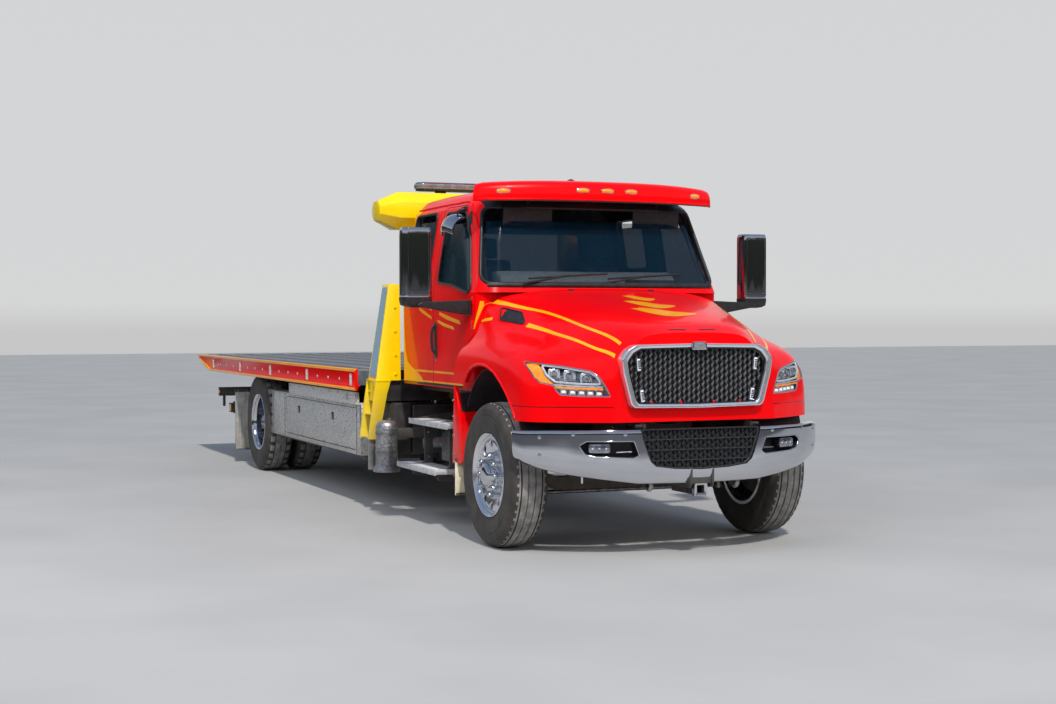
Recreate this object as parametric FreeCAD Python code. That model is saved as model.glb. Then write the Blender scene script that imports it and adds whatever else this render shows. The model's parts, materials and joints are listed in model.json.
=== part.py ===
import FreeCAD, Part
import os
from math import sin, cos, radians, pi
from FreeCAD import Vector as V

# Rollback tow truck (flatbed car carrier) on a two-axle conventional chassis.
# Millimetres, +Z up. The truck faces -Y; its left side is +X.
# All y values below are measured from the front axle; put() shifts them to the row frame.

# ---------------------------------------------------------------- driving dimensions
FRONT_END = -1040.0        # foremost point of the bumper
TAIL_END = 9340.0          # rearmost point of the deck
FRONT_AXLE_Y = -(FRONT_END + TAIL_END) / 2      # origin in the middle of the length
WHEELBASE = 6500.0
TYRE_R, TYRE_W = 510.0, 275.0
RIM_R, RIM_FLANGE_R = 285.0, 296.0
FRONT_TYRE_X = 1018.0      # centre plane of a front tyre
DUAL_IN_X, DUAL_OUT_X = 758.0, 1087.0
KINGPIN_X = 900.0
AXLE_Z = TYRE_R
RAIL_X0, RAIL_X1 = 355.0, 432.0                 # rail flange, inside and outside
RAIL_Z0, RAIL_Z1 = 660.0, 915.0
CAB_X, CAB_Z0, CAB_Z1, CAB_BACK = 1020.0, 1070.0, 2600.0, 2285.0
BELT_Z = 1800.0
WALL = 52.0                # thickness of a cab wall or door
DOOR_HINGE = (1005.0, 600.0)                    # |x|, y of the door hinge line
HOOD_HINGE = (-960.0, 890.0)                    # y, z
DECK_X, DECK_Y0, DECK_Y1 = 1270.0, 2790.0, TAIL_END
DECK_TOP, DECK_RAIL_BOTTOM = 1165.0, 990.0
TILT_PIVOT = (7900.0, 870.0)                    # y, z
LIFT_PIVOT = (8150.0, 530.0)
TILT_X = 252.0            # |x| of the tilt cylinders
TILT_B, TILT_E = (4300.0, 740.0), (5350.0, 980.0)   # tilt cylinder: fixed eye, rod eye
LIFT_B, LIFT_E = (7400.0, 420.0), (8500.0, 378.0)
MIRROR_X, MIRROR_Y = 1420.0, 730.0

os.makedirs("parts", exist_ok=True)
NODES = {}


# ---------------------------------------------------------------- helpers
def box(x0, x1, y0, y1, z0, z1):
    return Part.makeBox(x1 - x0, y1 - y0, z1 - z0, V(x0, y0, z0))


def cyl(r, h, p, d):
    return Part.makeCylinder(r, h, V(*p), V(*d))


def face(points):
    pts = [V(*p) for p in points]
    return Part.Face(Part.makePolygon(pts + [pts[0]]))


def prism_x(yz, x0, x1):
    return face([(x0, y, z) for y, z in yz]).extrude(V(x1 - x0, 0, 0))


def prism_y(xz, y0, y1):
    return face([(x, y0, z) for x, z in xz]).extrude(V(0, y1 - y0, 0))


def prism_z(xy, z0, z1):
    return face([(x, y, z0) for x, y in xy]).extrude(V(0, 0, z1 - z0))


def fuse(*shapes):
    s = shapes[0]
    if len(shapes) > 1:
        s = s.fuse(list(shapes[1:]))
    return s.removeSplitter()


def mirror(s):
    return s.mirror(V(0, 0, 0), V(1, 0, 0))


def both(s):
    return [s, mirror(s)]


def sym(points):
    """Close a half outline, given from the centre line outward, by its mirror."""
    right = [(-a, b) for a, b in reversed(points) if abs(a) > 1e-6]
    return points + right


def loft(sections):
    wires = []
    for pts in sections:
        vs = [V(*p) for p in pts]
        wires.append(Part.makePolygon(vs + [vs[0]]))
    return Part.makeLoft(wires, True, True)


def solids(s):
    out = []
    for one in (s if isinstance(s, (list, tuple)) else [s]):
        out += one.Solids
    return out


def put(name, shape):
    parts = solids(shape)
    c = Part.makeCompound(parts) if len(parts) > 1 else parts[0]
    c = c.copy()
    c.translate(V(0, FRONT_AXLE_Y, 0))
    if not c.isValid():
        print("INVALID", name)
    c.exportStep("parts/%s.step" % name)
    NODES[name] = c


def revolve_x(profile):
    """profile: (x, r) pairs round the x axis through the origin."""
    return face([(x, 0, r) for x, r in profile]).revolve(V(0, 0, 0), V(1, 0, 0), 360)


def at(s, x, y, z):
    s = s.copy()
    s.translate(V(x, y, z))
    return s


def plate_tube(sec, t):
    """Inset a half section (x, y): sides, front and back move in by t."""
    mid = (min(p[1] for p in sec) + max(p[1] for p in sec)) / 2
    return [(max(x - t, 0) if x > 0 else 0, y + t if y < mid else y - t) for x, y in sec]


# ---------------------------------------------------------------- chassis frame
def rail():
    web = box(RAIL_X1 - 9, RAIL_X1, -760, 8100, RAIL_Z0, RAIL_Z1)
    low = box(RAIL_X0, RAIL_X1, -760, 8100, RAIL_Z0, RAIL_Z0 + 10)
    top = box(RAIL_X0, RAIL_X1, -760, 8100, RAIL_Z1 - 10, RAIL_Z1)
    return fuse(web, low, top)


# crossmembers: y0, y1, z0, z1
CROSS = [(-740, -660, 690, 850), (1340, 1410, 745, 900), (2500, 2600, 745, 900),
         (4200, 4260, 672, 900), (5880, 5960, 672, 900), (7240, 7330, 672, 900),
         (8020, 8095, 640, 860)]
frame_parts = [rail(), mirror(rail())]
for y0, y1, z0, z1 in CROSS:
    frame_parts.append(box(-RAIL_X1 + 5, RAIL_X1 - 5, y0, y1, z0, z1))
# tilt pivot shaft, wheel-lift hinge cheeks, cylinder lugs
frame_parts.append(cyl(30, 2 * RAIL_X1 - 4, (-RAIL_X1 + 2, TILT_PIVOT[0], TILT_PIVOT[1]), (1, 0, 0)))
for sx in (-1, 1):
    x0, x1 = sorted((sx * 78, sx * 98))
    frame_parts.append(prism_x([(8030, 480), (8195, 480), (8195, 590), (8095, 700), (8030, 700)], x0, x1))
    for xc in (211, 293):
        a, b = sorted((sx * (xc - 6), sx * (xc + 6)))
        frame_parts.append(box(a, b, 4255, 4330, 705, 775))
frame_parts.append(cyl(28, 200, (-100, LIFT_PIVOT[0], LIFT_PIVOT[1]), (1, 0, 0)))
for sx in (-1, 1):
    frame_parts.append(cyl(20, 90, (sx * TILT_X - 45, TILT_B[0], TILT_B[1]), (1, 0, 0)))
    a, b = sorted((sx * 48, sx * 60))
    frame_parts.append(prism_x([(7240, 680), (7330, 680), (7440, 500), (7440, 388), (7360, 388)], a, b))
frame_parts.append(cyl(20, 120, (-60, LIFT_B[0], LIFT_B[1]), (1, 0, 0)))
# front tow eyes and hood hinge brackets
for sx in (-1, 1):
    # tow eye: a flat tongue with an upright hole, on a web under the rail's front end
    a, b = sorted((sx * 345, sx * 425))
    eye = prism_z([(a, -700), (a, -905), (a + 20, -925), (b - 20, -925), (b, -905), (b, -700)], 545, 570)
    web = prism_x([(-820, 568), (-700, 568), (-670, 664), (-758, 664)], sx * 385 - 14, sx * 385 + 14)
    eye = eye.cut(cyl(24, 60, (sx * 385, -870, 530), (0, 0, 1)))
    frame_parts += [eye, web]
    a, b = sorted((sx * 398, sx * 418))
    frame_parts.append(prism_x([(-760, 700), (-660, 700), (-660, 860), (-900, 905), (-978, 905), (-978, 876), (-940, 866)], a, b))
    frame_parts.append(cyl(11, 60, (sx * 440 - 30 if sx > 0 else sx * 440 - 30, HOOD_HINGE[0], HOOD_HINGE[1]), (1, 0, 0)))
    a, b = sorted((sx * 398, sx * 432))
# receiver tube under the bumper
recv = box(-38, 38, -1000, -660, 420, 496).cut(box(-26, 26, -1001, -659, 432, 484))
frame_parts.append(recv)
for sx in (-1, 1):
    a, b = sorted((sx * 38, sx * 50))
    frame_parts.append(prism_x([(-900, 430), (-700, 430), (-660, 690), (-660, 720), (-740, 720), (-760, 560), (-900, 490)], a, b))
frame = fuse(*frame_parts)
put("frame_rails", frame)

# ---------------------------------------------------------------- axles and springs
beam = loft([[(-860, -45, 460), (-860, 45, 460), (-860, 45, 560), (-860, -45, 560)],
             [(-620, -45, 385), (-620, 45, 385), (-620, 45, 480), (-620, -45, 480)]])
mid = box(-620, 620, -45, 45, 385, 480)
boss = cyl(42, 100, (-KINGPIN_X, 0, 460), (0, 0, 1))
axle = fuse(mid, beam, mirror(beam), boss, mirror(boss))
for sx in (-1, 1):
    axle = axle.cut(cyl(18.4, 140, (sx * KINGPIN_X, 0, 440), (0, 0, 1)))
put("front_axle", axle)


def spring(x0, x1, yc, half, zc, ze, t):
    """Arched leaf pack: arcs through the seat and both eyes."""
    def arc(dz):
        return Part.Arc(V(x0, yc - half, ze + dz), V(x0, yc, zc + dz), V(x0, yc + half, ze + dz)).toShape()
    lo, hi = arc(0), arc(t)
    e1 = Part.makeLine(V(x0, yc - half, ze), V(x0, yc - half, ze + t))
    e2 = Part.makeLine(V(x0, yc + half, ze), V(x0, yc + half, ze + t))
    f = Part.Face(Part.Wire(Part.__sortEdges__([lo, e2, hi, e1])))
    return f.extrude(V(x1 - x0, 0, 0))


springs = []
for s in both(spring(362, 425, 0, 640, 481, 600, 45)):
    springs.append(s)
for s in both(spring(446, 522, WHEELBASE, 640, 580, 640, 60)):
    springs.append(s)
put("leaf_springs", springs)

dy = WHEELBASE
tube = cyl(60, 1800, (-900, dy, AXLE_Z), (1, 0, 0))
bowl = Part.makeSphere(205, V(0, dy, AXLE_Z)).common(box(-170, 170, dy - 220, dy + 220, 280, 740))
nose = Part.makeCone(70, 130, 230, V(-0, dy - 380, AXLE_Z + 10), V(0, 1, 0))
pads = [box(446, 522, dy - 60, dy + 60, 560, 580), box(-522, -446, dy - 60, dy + 60, 560, 580),
        box(450, 518, dy - 45, dy + 45, 500, 565), box(-518, -450, dy - 45, dy + 45, 500, 565)]
put("rear_axle", fuse(tube, bowl, nose, *pads))
shaft = cyl(45, dy - 385 - 1305, (0, 1300, 690), (0, 1, 0))
shaft.rotate(V(0, 1300, 690), V(1, 0, 0), -2.05)
put("drive_shaft", shaft)
put("engine_block", fuse(box(-300, 300, -330, 520, 560, 1330), box(-190, 190, 500, 1290, 560, 860)))

# ---------------------------------------------------------------- steering
def knuckle():
    k = [box(948, 978, -48, 48, 415, 605), box(862, 978, -38, 38, 568, 600), box(862, 978, -38, 38, 418, 450),
         cyl(18, 185, (KINGPIN_X, 0, 417), (0, 0, 1)), cyl(30, 100, (970, 0, AXLE_Z), (1, 0, 0)),
         prism_z([(905, 20), (945, 20), (960, 38), (830, 190), (778, 190), (778, 150), (815, 150)], 385, 420)]
    return fuse(*k)


# the left steering arm carries the tie rod's pin; on the right the rod's own stud ends just under the arm
put("knuckle_left", fuse(knuckle(), cyl(12, 68, (KINGPIN_X - 100, 170, 325), (0, 0, 1))))
put("knuckle_right", mirror(knuckle()))
rod = cyl(16, 1600 - 52, (-774, 170, 350), (1, 0, 0))
ends = [cyl(27, 44, (s * (KINGPIN_X - 100), 170, 328), (0, 0, 1)) for s in (-1, 1)]
stud = cyl(12, 40, (-(KINGPIN_X - 100), 170, 342), (0, 0, 1))
rod = fuse(rod, stud, *ends)
rod = rod.cut(cyl(12.6, 70, (KINGPIN_X - 100, 170, 315), (0, 0, 1)))
put("tie_rod", rod)

# ---------------------------------------------------------------- wheels
W2 = TYRE_W / 2
# tyre half section: offset from the tyre centre, radius
TYRE = [(-117.5, 285.4), (-117.5, 297), (-127, 301), (-137.5, 400), (-132, 455), (-112, 492), (-90, 504), (-45, TYRE_R),
        (45, TYRE_R), (90, 504), (112, 492), (132, 455), (137.5, 400), (127, 301), (117.5, 297), (117.5, 285.4)]


def tyre(xc, yc):
    return at(revolve_x([(o, r) for o, r in TYRE]), xc, yc, AXLE_Z)


def front_wheel():
    # (x from the tyre centre, radius): barrel, disc, hub and brake drum
    barrel = revolve_x([(-127, 272), (-127, 296), (-119, 296), (-119, 285), (119, 285), (119, 296), (127, 296),
                        (127, 272)])
    disc = revolve_x([(60, 118), (60, 180), (72, 240), (84, 262), (84, 280), (104, 280), (100, 236), (88, 178),
                      (88, 118)])
    hub = revolve_x([(-30, 31), (-30, 70), (60, 95), (60, 120), (92, 120), (92, 84), (150, 80), (160, 60),
                     (165, 0), (60, 0), (60, 31)])
    drum = revolve_x([(-28, 196), (-28, 208), (62, 208), (62, 60), (50, 60), (50, 196)])
    w = fuse(barrel, disc, hub, drum)
    for k in range(10):
        a = radians(36 * k + 18)
        w = w.cut(cyl(26, 60, (58, 222 * cos(a), 222 * sin(a)), (1, 0, 0)))
    return at(w, FRONT_TYRE_X, 0, AXLE_Z)


def rear_wheels():
    parts = []
    for xc in (DUAL_IN_X, DUAL_OUT_X):
        parts.append(at(revolve_x([(-127, 272), (-127, 296), (-119, 296), (-119, 285), (119, 285), (119, 296),
                                   (127, 296), (127, 272)]), xc, 0, 0))
    xm = (DUAL_IN_X + DUAL_OUT_X) / 2
    parts.append(at(revolve_x([(-9, 100), (-9, 180), (-40, 250), (-44, 274), (44, 274), (40, 250), (9, 180), (9, 100)]),
                    xm, 0, 0))
    parts.append(at(revolve_x([(-20, 61), (-20, 120), (60, 118), (60, 105), (128, 92), (136, 0), (6, 0), (6, 61)]),
                    xm, 0, 0))
    parts.append(at(revolve_x([(-190, 196), (-190, 208), (-6, 208), (-6, 100), (-18, 100), (-18, 196)]), xm, 0, 0))
    w = fuse(*parts)
    for k in range(10):
        a = radians(36 * k + 18)
        w = w.cut(cyl(26, 110, (xm - 55, 226 * cos(a), 226 * sin(a)), (1, 0, 0)))
    return at(w, 0, WHEELBASE, AXLE_Z)


fw, rw = front_wheel(), rear_wheels()
put("wheel_front_left", fw)
put("wheel_front_right", mirror(fw))
put("tyre_front_left", tyre(FRONT_TYRE_X, 0))
put("tyre_front_right", mirror(tyre(FRONT_TYRE_X, 0)))
put("wheels_rear_left", rw)
put("wheels_rear_right", mirror(rw))
rt = [tyre(DUAL_IN_X, WHEELBASE), tyre(DUAL_OUT_X, WHEELBASE)]
put("tyres_rear_left", rt)
put("tyres_rear_right", [mirror(t) for t in rt])

# ---------------------------------------------------------------- cab
# horizontal half sections: height, then (x, y) from the front centre to the back centre
CAB_LOW = [(CAB_Z0, [(0, 560), (700, 560), (960, 565), (1005, 600), (1020, 760), (1020, 2225), (965, 2268), (0, 2268)]),
           (BELT_Z, [(0, 560), (700, 560), (960, 565), (1005, 600), (1020, 760), (1020, 2240), (965, 2285), (0, 2285)])]
CAB_TOP = [(BELT_Z, [(0, 440), (500, 452), (900, 500), (1000, 565), (1020, 760), (1020, 2240), (965, 2285), (0, 2285)]),
           (2460, [(0, 690), (480, 705), (800, 760), (885, 850), (915, 1000), (920, 2200), (865, 2255), (0, 2255)]),
           (2560, [(0, 780), (450, 795), (720, 850), (800, 930), (830, 1050), (835, 2150), (790, 2200), (0, 2200)]),
           (CAB_Z1, [(0, 900), (400, 910), (600, 950), (670, 1010), (700, 1100), (705, 2080), (670, 2130), (0, 2130)])]


def cab_loft(table, t=0.0, z0=None, z1=None):
    secs = []
    for i, (z, sec) in enumerate(table):
        s = plate_tube(sec, t) if t else sec
        zz = z
        if i == 0 and z0 is not None:
            zz = z0
        if i == len(table) - 1 and z1 is not None:
            zz = z1
        secs.append([(x, y, zz) for x, y in sym(s)])
    return loft(secs)


outer = cab_loft(CAB_LOW).fuse(cab_loft(CAB_TOP))
inner = cab_loft(CAB_LOW, WALL, z0=CAB_Z0 + 60).fuse(cab_loft(CAB_TOP[:3], WALL, z1=2545)).removeSplitter()
shell = outer.cut(inner)

# door outline (y, z); the front edge steps back below the fender line
DOOR = [(805, 1100), (1480, 1100), (1480, 2470), (990, 2470), (800, 2235), (622, 1880), (622, 1500), (700, 1440),
        (805, 1340)]
DOOR_WINDOW = [(672, 1790), (1060, 1862), (1400, 1890), (1400, 2425), (1010, 2425), (860, 2235)]
QUARTER = [(1640, 2030), (2120, 2030), (2120, 2440), (1640, 2440)]
GAP = 6.0


door_space = face([(600, y, z) for y, z in DOOR]).makeOffset2D(GAP, 2).extrude(V(500, 0, 0))
door_space = door_space.cut(box(590, 962, 500, 1600, 1000, 1500))
door_solid = prism_x(DOOR, 600, 1100).cut(box(590, 967, 500, 1600, 1000, 1500))
window_cut = prism_x(DOOR_WINDOW, 700, 1100)
quarter_cut = prism_x(QUARTER, 700, 1100)
wind_cut = prism_y([(-962, 1868), (962, 1868), (858, 2440), (-858, 2440)], 300, 860)
back_cut = prism_y([(-620, 1850), (620, 1850), (590, 2330), (-590, 2330)], 2150, 2400)
cab = shell
for s in both(door_space) + both(quarter_cut):
    cab = cab.cut(s)
cab = cab.cut(wind_cut).cut(back_cut)
cab = fuse(cab, box(-420, 420, 1100, 1180, 905, 1075).cut(box(-500, 500, 1090, 1190, 900, 915)),
           box(-420, 420, 2080, 2160, 915, 1075))
put("cab_shell", cab)

for side, f in (("left", lambda s: s), ("right", mirror)):
    d = shell.common(door_solid).cut(window_cut)
    door_body = d
    put("door_%s" % side, f(d))
    g = cab_loft(CAB_TOP[:2], 20).cut(cab_loft(CAB_TOP[:2], 27)).common(window_cut)
    g = fuse(g) if g.Solids else g
    put("door_glass_%s" % side, f(g))

glass_band = cab_loft(CAB_TOP[:2], 18).cut(cab_loft(CAB_TOP[:2], 25))
wind = glass_band.common(wind_cut)
for q in both(door_space):
    wind = wind.cut(q)
put("windshield", max(wind.Solids, key=lambda q: q.Volume))
cw = [glass_band.common(q) for q in both(quarter_cut)] + [glass_band.common(back_cut)]
put("cab_windows", cw)

# sun visor: plan curve (x, y) of its front edge
VISOR = [(0, 440), (400, 462), (740, 530), (930, 610), (1000, 700), (1000, 860)]
vo = prism_z(sym(VISOR), 2476, 2612)
vi = prism_z(sym([(0, 468), (392, 490), (725, 557), (905, 632), (970, 712), (970, 870)]), 2470, 2584)
visor = vo.cut(vi)
visor = visor.cut(cab_loft(CAB_TOP))
visor = max(visor.Solids, key=lambda s: s.Volume)
put("sun_visor", visor)

dash = prism_x([(615, 1500), (900, 1500), (960, 1600), (940, 1760), (860, 1850), (560, 1850), (540, 1806), (615, 1806)], -915, 915)
dash = dash.common(cab_loft(CAB_LOW, WALL + 6).fuse(cab_loft(CAB_TOP[:2], WALL + 6)))
dash = dash.cut(box(-2000, 2000, 400, 2000, 1798, 1802)) if False else dash
put("dashboard", max(dash.Solids, key=lambda s: s.Volume))
SW = (520.0, 1060.0, 1790.0)
ring = Part.makeTorus(215, 16, V(0, 0, 0), V(0, 0, 1))
spokes = [box(-205, 205, -18, 18, -9, 9), box(-18, 18, -205, 0, -9, 9), cyl(60, 34, (0, 0, -22), (0, 0, 1)),
          cyl(26, 150, (0, 0, -160), (0, 0, 1))]
wheel = fuse(ring, *spokes)
wheel.rotate(V(0, 0, 0), V(1, 0, 0), -38 + 0)
wheel = at(wheel, SW[0], SW[1], SW[2])
wheel = wheel.cut(dash)
put("steering_wheel", max(wheel.Solids, key=lambda s: s.Volume))


def seat(xc):
    return fuse(box(xc - 200, xc + 200, 1150, 1500, 1130, 1340),
                prism_x([(1090, 1340), (1590, 1340), (1590, 1450), (1110, 1480), (1090, 1450)], xc - 250, xc + 250),
                prism_x([(1500, 1450), (1620, 1450), (1740, 2080), (1660, 2090)], xc - 240, xc + 240),
                prism_x([(1675, 2080), (1735, 2080), (1755, 2260), (1700, 2260)], xc - 130, xc + 130))


put("seats", [seat(520), seat(-520)])

# ---------------------------------------------------------------- hood with fenders
# cross sections: y, then (x, z) from the top centre outward and down the fender side
HOOD = [(740, [(0, 1860), (430, 1850), (800, 1815), (935, 1740), (985, 1620), (1035, 1440), (1105, 1360), (1130, 1240), (1130, 900)]),
        (430, [(0, 1826), (430, 1815), (790, 1775), (920, 1700), (975, 1590), (1035, 1465), (1105, 1380), (1135, 1250), (1135, 900)]),
        (100, [(0, 1762), (420, 1750), (735, 1695), (870, 1610), (940, 1530), (1020, 1465), (1100, 1380), (1135, 1250), (1135, 900)]),
        (-300, [(0, 1685), (400, 1670), (670, 1600), (800, 1520), (900, 1462), (1000, 1415), (1088, 1335), (1125, 1210), (1130, 900)]),
        (-600, [(0, 1620), (390, 1605), (600, 1525), (740, 1445), (860, 1395), (960, 1335), (1035, 1240), (1065, 1120), (1075, 900)]),
        (-790, [(0, 1570), (370, 1555), (530, 1468), (640, 1395), (720, 1340), (780, 1270), (815, 1180), (830, 1080), (840, 900)]),
        (-925, [(0, 1512), (340, 1495), (470, 1410), (540, 1340), (570, 1270), (585, 1190), (592, 1110), (600, 1020), (610, 900)])]
HOOD_T = 34.0
HOOD_BACK = [(434, 2000), (434, 1790), (505, 1700), (520, 1600), (535, 1500), (640, 1385), (690, 1300), (718, 1220),
             (730, 1140), (730, 800), (1200, 800), (1200, 2000)]
ARCH = [(-470, 700), (-455, 855), (-300, 1085), (-80, 1225), (195, 1272), (400, 1215), (520, 1060), (545, 700)]


def hood_loft(t=0.0):
    secs = []
    for i, (y, sec) in enumerate(HOOD):
        if i == 0 and t:
            y = y + 60
        if i == len(HOOD) - 1 and t:
            y = y + t
        pts = [(max(x - t, 0) if x > 0 else 0, z - t if z > 950 else z - 60) for x, z in sec] if t else sec
        pts = sym(pts)
        secs.append([(x, y, z) for x, z in pts])
    return loft(secs)


hood_out = hood_loft()
hood_in = hood_loft(HOOD_T)
hood = hood_out.cut(hood_in)
hood = hood.cut(prism_x(HOOD_BACK, -1300, 1300))
hood = hood.cut(prism_x(ARCH, -1300, 1300))
hood = hood.cut(box(-1028, 1028, 552, 900, 900, 1850))
hood = hood.cut(box(-1300, 1300, -2000, 2000, 0, 915))
hood = hood.cut(box(-1300, 1300, 300, 2000, 0, 1140))
hood = hood.cut(prism_x([(500, 1000), (760, 1000), (760, 1140), (500, 1140)], -1300, 1300))
# grille opening
GRILLE = [(0, 1440), (470, 1432), (528, 1400), (573, 1340), (560, 1240), (505, 1035), (480, 1012), (0, 1004)]
gopen = [(x * 0.93, 1225 + (z - 1225) * 0.93) for x, z in GRILLE]
hood = hood.cut(prism_y(sym(gopen), -1200, -700))
# headlight pockets, outline seen from the front (x, z)
LAMP = [(1085, 1318), (980, 1322), (700, 1262), (604, 1075), (800, 1085), (880, 1135), (1000, 1165), (1075, 1230)]
lamp_cut = prism_y(LAMP, -1100, -480)
for s in both(lamp_cut):
    hood = hood.cut(s)
# two hinge ears inside the valance
for sx in (-1, 1):
    a, b = sorted((sx * 424, sx * 446))
    ear = prism_x([(-978, 872), (-942, 872), (-905, 915), (-893, 1000), (-915, 1000), (-926, 925), (-978, 908)], a, b)
    ear = ear.cut(cyl(11.4, 100, (a - 20, HOOD_HINGE[0], HOOD_HINGE[1]), (1, 0, 0)))
    hood = hood.fuse(ear)
hood = hood.removeSplitter()
hood = max(hood.Solids, key=lambda s: s.Volume)
put("hood", hood)

lamp_body = hood_loft(3).cut(hood_loft(95))
lamp_body = lamp_body.common(prism_y([(x * 0.997 + (2 if x < 840 else -3), z * 0.998 + (5 if z < 1200 else -2)) for x, z in LAMP], -1100, -480))
lamp = lamp_body.cut(hood)
lamp = max(lamp.Solids, key=lambda s: s.Volume)
put("headlights", both(lamp))

sur_o = prism_y(sym(GRILLE), -985, -880)
sur_i = prism_y(sym([(x * 0.935, 1225 + (z - 1225) * 0.9) for x, z in GRILLE]), -1100, -800)
surround = sur_o.cut(sur_i).cut(hood)
put("grille_surround", max(surround.Solids, key=lambda s: s.Volume))
mesh = prism_y(sym([(x * 0.925, 1225 + (z - 1225) * 0.89) for x, z in GRILLE]), -955, -930)
put("grille_mesh", mesh)

# ---------------------------------------------------------------- bumper and front pieces
BUMP = [(0, -1040), (460, -1024), (760, -930), (1000, -780), (1130, -650), (1176, -575), (1184, -540)]
bo = prism_z(sym(BUMP), 510, 860)
bi = prism_z(sym([(0, -998), (450, -984), (735, -892), (968, -745), (1092, -622), (1136, -552), (1144, -500)]), 500, 880)
bumper = bo.cut(bi)
bumper = bumper.cut(prism_y(sym([(0, 840), (440, 840), (350, 600), (0, 600)]), -1200, -800))
fog_cut = prism_y([(560, 800), (820, 800), (880, 740), (860, 660), (600, 650), (540, 700)], -1100, -600)
for s in both(fog_cut):
    bumper = bumper.cut(s)
brk = [box(s * 400 - 30, s * 400 + 30, -960, -760, 600, 690) for s in (-1, 1)]
bumper = fuse(bumper, *brk)
bumper = bumper.cut(frame)
put("bumper", max(bumper.Solids, key=lambda s: s.Volume))
put("bumper_grille", prism_y(sym([(0, 836), (434, 836), (345, 604), (0, 604)]), -1020, -1003))

# splash panels behind the front wheels, fixed to the cab, with their mud flaps apart
def splash():
    skin = prism_x([(548, 1128), (728, 1128), (745, 705), (765, 300), (560, 300), (548, 705)], 1098, 1130)
    back = box(640, 1130, 640, 668, 330, 1060)
    brace = box(440, 660, 644, 664, 800, 860)
    return fuse(skin, back, brace)


put("splash_panels", both(splash()))

# steps: y0, y1, z0, z1, x0, x1 of each tread
TREADS = [(900, 1800, 775, 810, 900, 1120), (1060, 1980, 415, 450, 930, 1160)]


def steps():
    p = [box(x0, x1, y0, y1, z0, z1) for y0, y1, z0, z1, x0, x1 in TREADS]
    for y in (1140, 1720):
        p.append(prism_y([(434, 700), (434, 900), (1090, 812), (1090, 770), (1010, 740), (1010, 452), (1110, 452), (1110, 360),
                          (940, 360), (940, 660)], y, y + 22))
    return fuse(*p)


put("cab_steps", both(steps()))

tank = cyl(275, 740, (785, 2030, 590), (0, 1, 0))
straps = [cyl(283, 45, (785, y, 590), (0, 1, 0)) for y in (2140, 2610)]
arms = [box(434, 560, y, y + 45, 640, 880) for y in (2140, 2610)]
put("fuel_tank", fuse(tank, *straps, *arms))
CAN = (-1168, 2225)
can = cyl(90, 370, (CAN[0], CAN[1], 360), (0, 0, 1))
dome = Part.makeCone(90, 58, 40, V(CAN[0], CAN[1], 730), V(0, 0, 1))
base = Part.makeCone(112, 90, 50, V(CAN[0], CAN[1], 345), V(0, 0, 1))
canb = box(-1100, -434, 2185, 2265, 620, 700)
put("exhaust_canister", fuse(can, dome, base, canb))
put("hydraulic_tank", fuse(box(-900, -470, 2330, 2780, 470, 880), box(-480, -434, 2480, 2620, 700, 860)))

# ---------------------------------------------------------------- pylon behind the cab
def leg():
    up = loft([[(985, 2400, 1085), (1200, 2400, 1085), (1190, 2660, 1085), (985, 2660, 1085)],
               [(985, 2420, 1895), (1082, 2420, 1895), (1072, 2620, 1895), (985, 2620, 1895)]])
    bars = []
    for y0, w in ((2400, 16), (2640, 16)):
        bars.append(prism_y([(1072, 1090), (1204, 1090), (1216, 1010), (1272, 600), (1180, 600), (1104, 980)], y0, y0 + w))
    gus = [prism_y([(1120 + k, 1000 - 190 * i), (1196 + k, 1000 - 190 * i), (1197 + k, 988 - 190 * i), (1121 + k, 988 - 190 * i)], 2412, 2644)
           for i, k in enumerate((0, 28, 56))]
    return fuse(up, *bars, *gus)


head_secs = []
# half length, then y0, y1, z0, z1 and corner cut of each octagon
for x, y0, y1, z0, z1, c in ((-1120, 2540, 2760, 2440, 2600, 50), (-960, 2450, 2850, 2365, 2675, 90),
                             (960, 2450, 2850, 2365, 2675, 90), (1120, 2540, 2760, 2440, 2600, 50)):
    head_secs.append([(x, y0, z0 + c), (x, y0, z1 - c), (x, y0 + c, z1), (x, y1 - c, z1), (x, y1, z1 - c),
                      (x, y1, z0 + c), (x, y1 - c, z0), (x, y0 + c, z0)])
head = loft(head_secs)
pyl = [head, leg(), mirror(leg()), box(-1190, 1190, 2430, 2630, 915, 1088), box(-1000, 1000, 2450, 2600, 1730, 1860)]
for sx in (-1, 1):
    a, b = sorted((sx * 560, sx * 740))
    pyl.append(box(a, b, 2430, 2650, 1080, 2400))
put("pylon", fuse(*pyl))
lb = [box(-620, 620, 2650, 2810, 2705, 2780)]
for s in (-1, 1):
    lb.append(prism_z([(s * 620, 2650), (s * 700, 2650), (s * 745, 2700), (s * 745, 2760), (s * 700, 2810), (s * 620, 2810)], 2705, 2780))
    a, b = sorted((s * 480, s * 540))
    lb.append(box(a, b, 2690, 2740, 2675, 2710))
put("light_bar", fuse(*lb))

# ---------------------------------------------------------------- toolboxes with drop-down doors
TB = dict(y0=2820, y1=5930, z0=430, z1=868, x0=640, x1=1200)
TBD = dict(y0=3000, y1=5380, z0=470, z1=830)


def toolbox():
    b = box(TB["x0"], TB["x1"], TB["y0"], TB["y1"], TB["z0"], TB["z1"])
    b = b.cut(box(TB["x0"] + 12, TB["x1"] - 12, TB["y0"] + 12, 5480, TB["z0"] + 12, TB["z1"] - 12))
    b = b.cut(box(TB["x1"] - 30, TB["x1"] + 10, TBD["y0"] - 6, TBD["y1"] + 6, TBD["z0"] - 6, TBD["z1"] + 6))
    b = b.cut(prism_y([(TB["x0"] - 5, TB["z0"] - 5), (TB["x0"] + 60, TB["z0"] - 5), (TB["x0"] - 5, TB["z0"] + 60)], 2000, 2001))
    skirt = box(1205, 1240, 2870, 5110, 874, 975)
    shelf = box(1140, 1240, 2870, 5110, 868, 880)
    arms = [box(432, 645, y, y + 60, 780, 860) for y in (2900, 4300, 5700)]
    return fuse(b, skirt, shelf, *arms)


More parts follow.
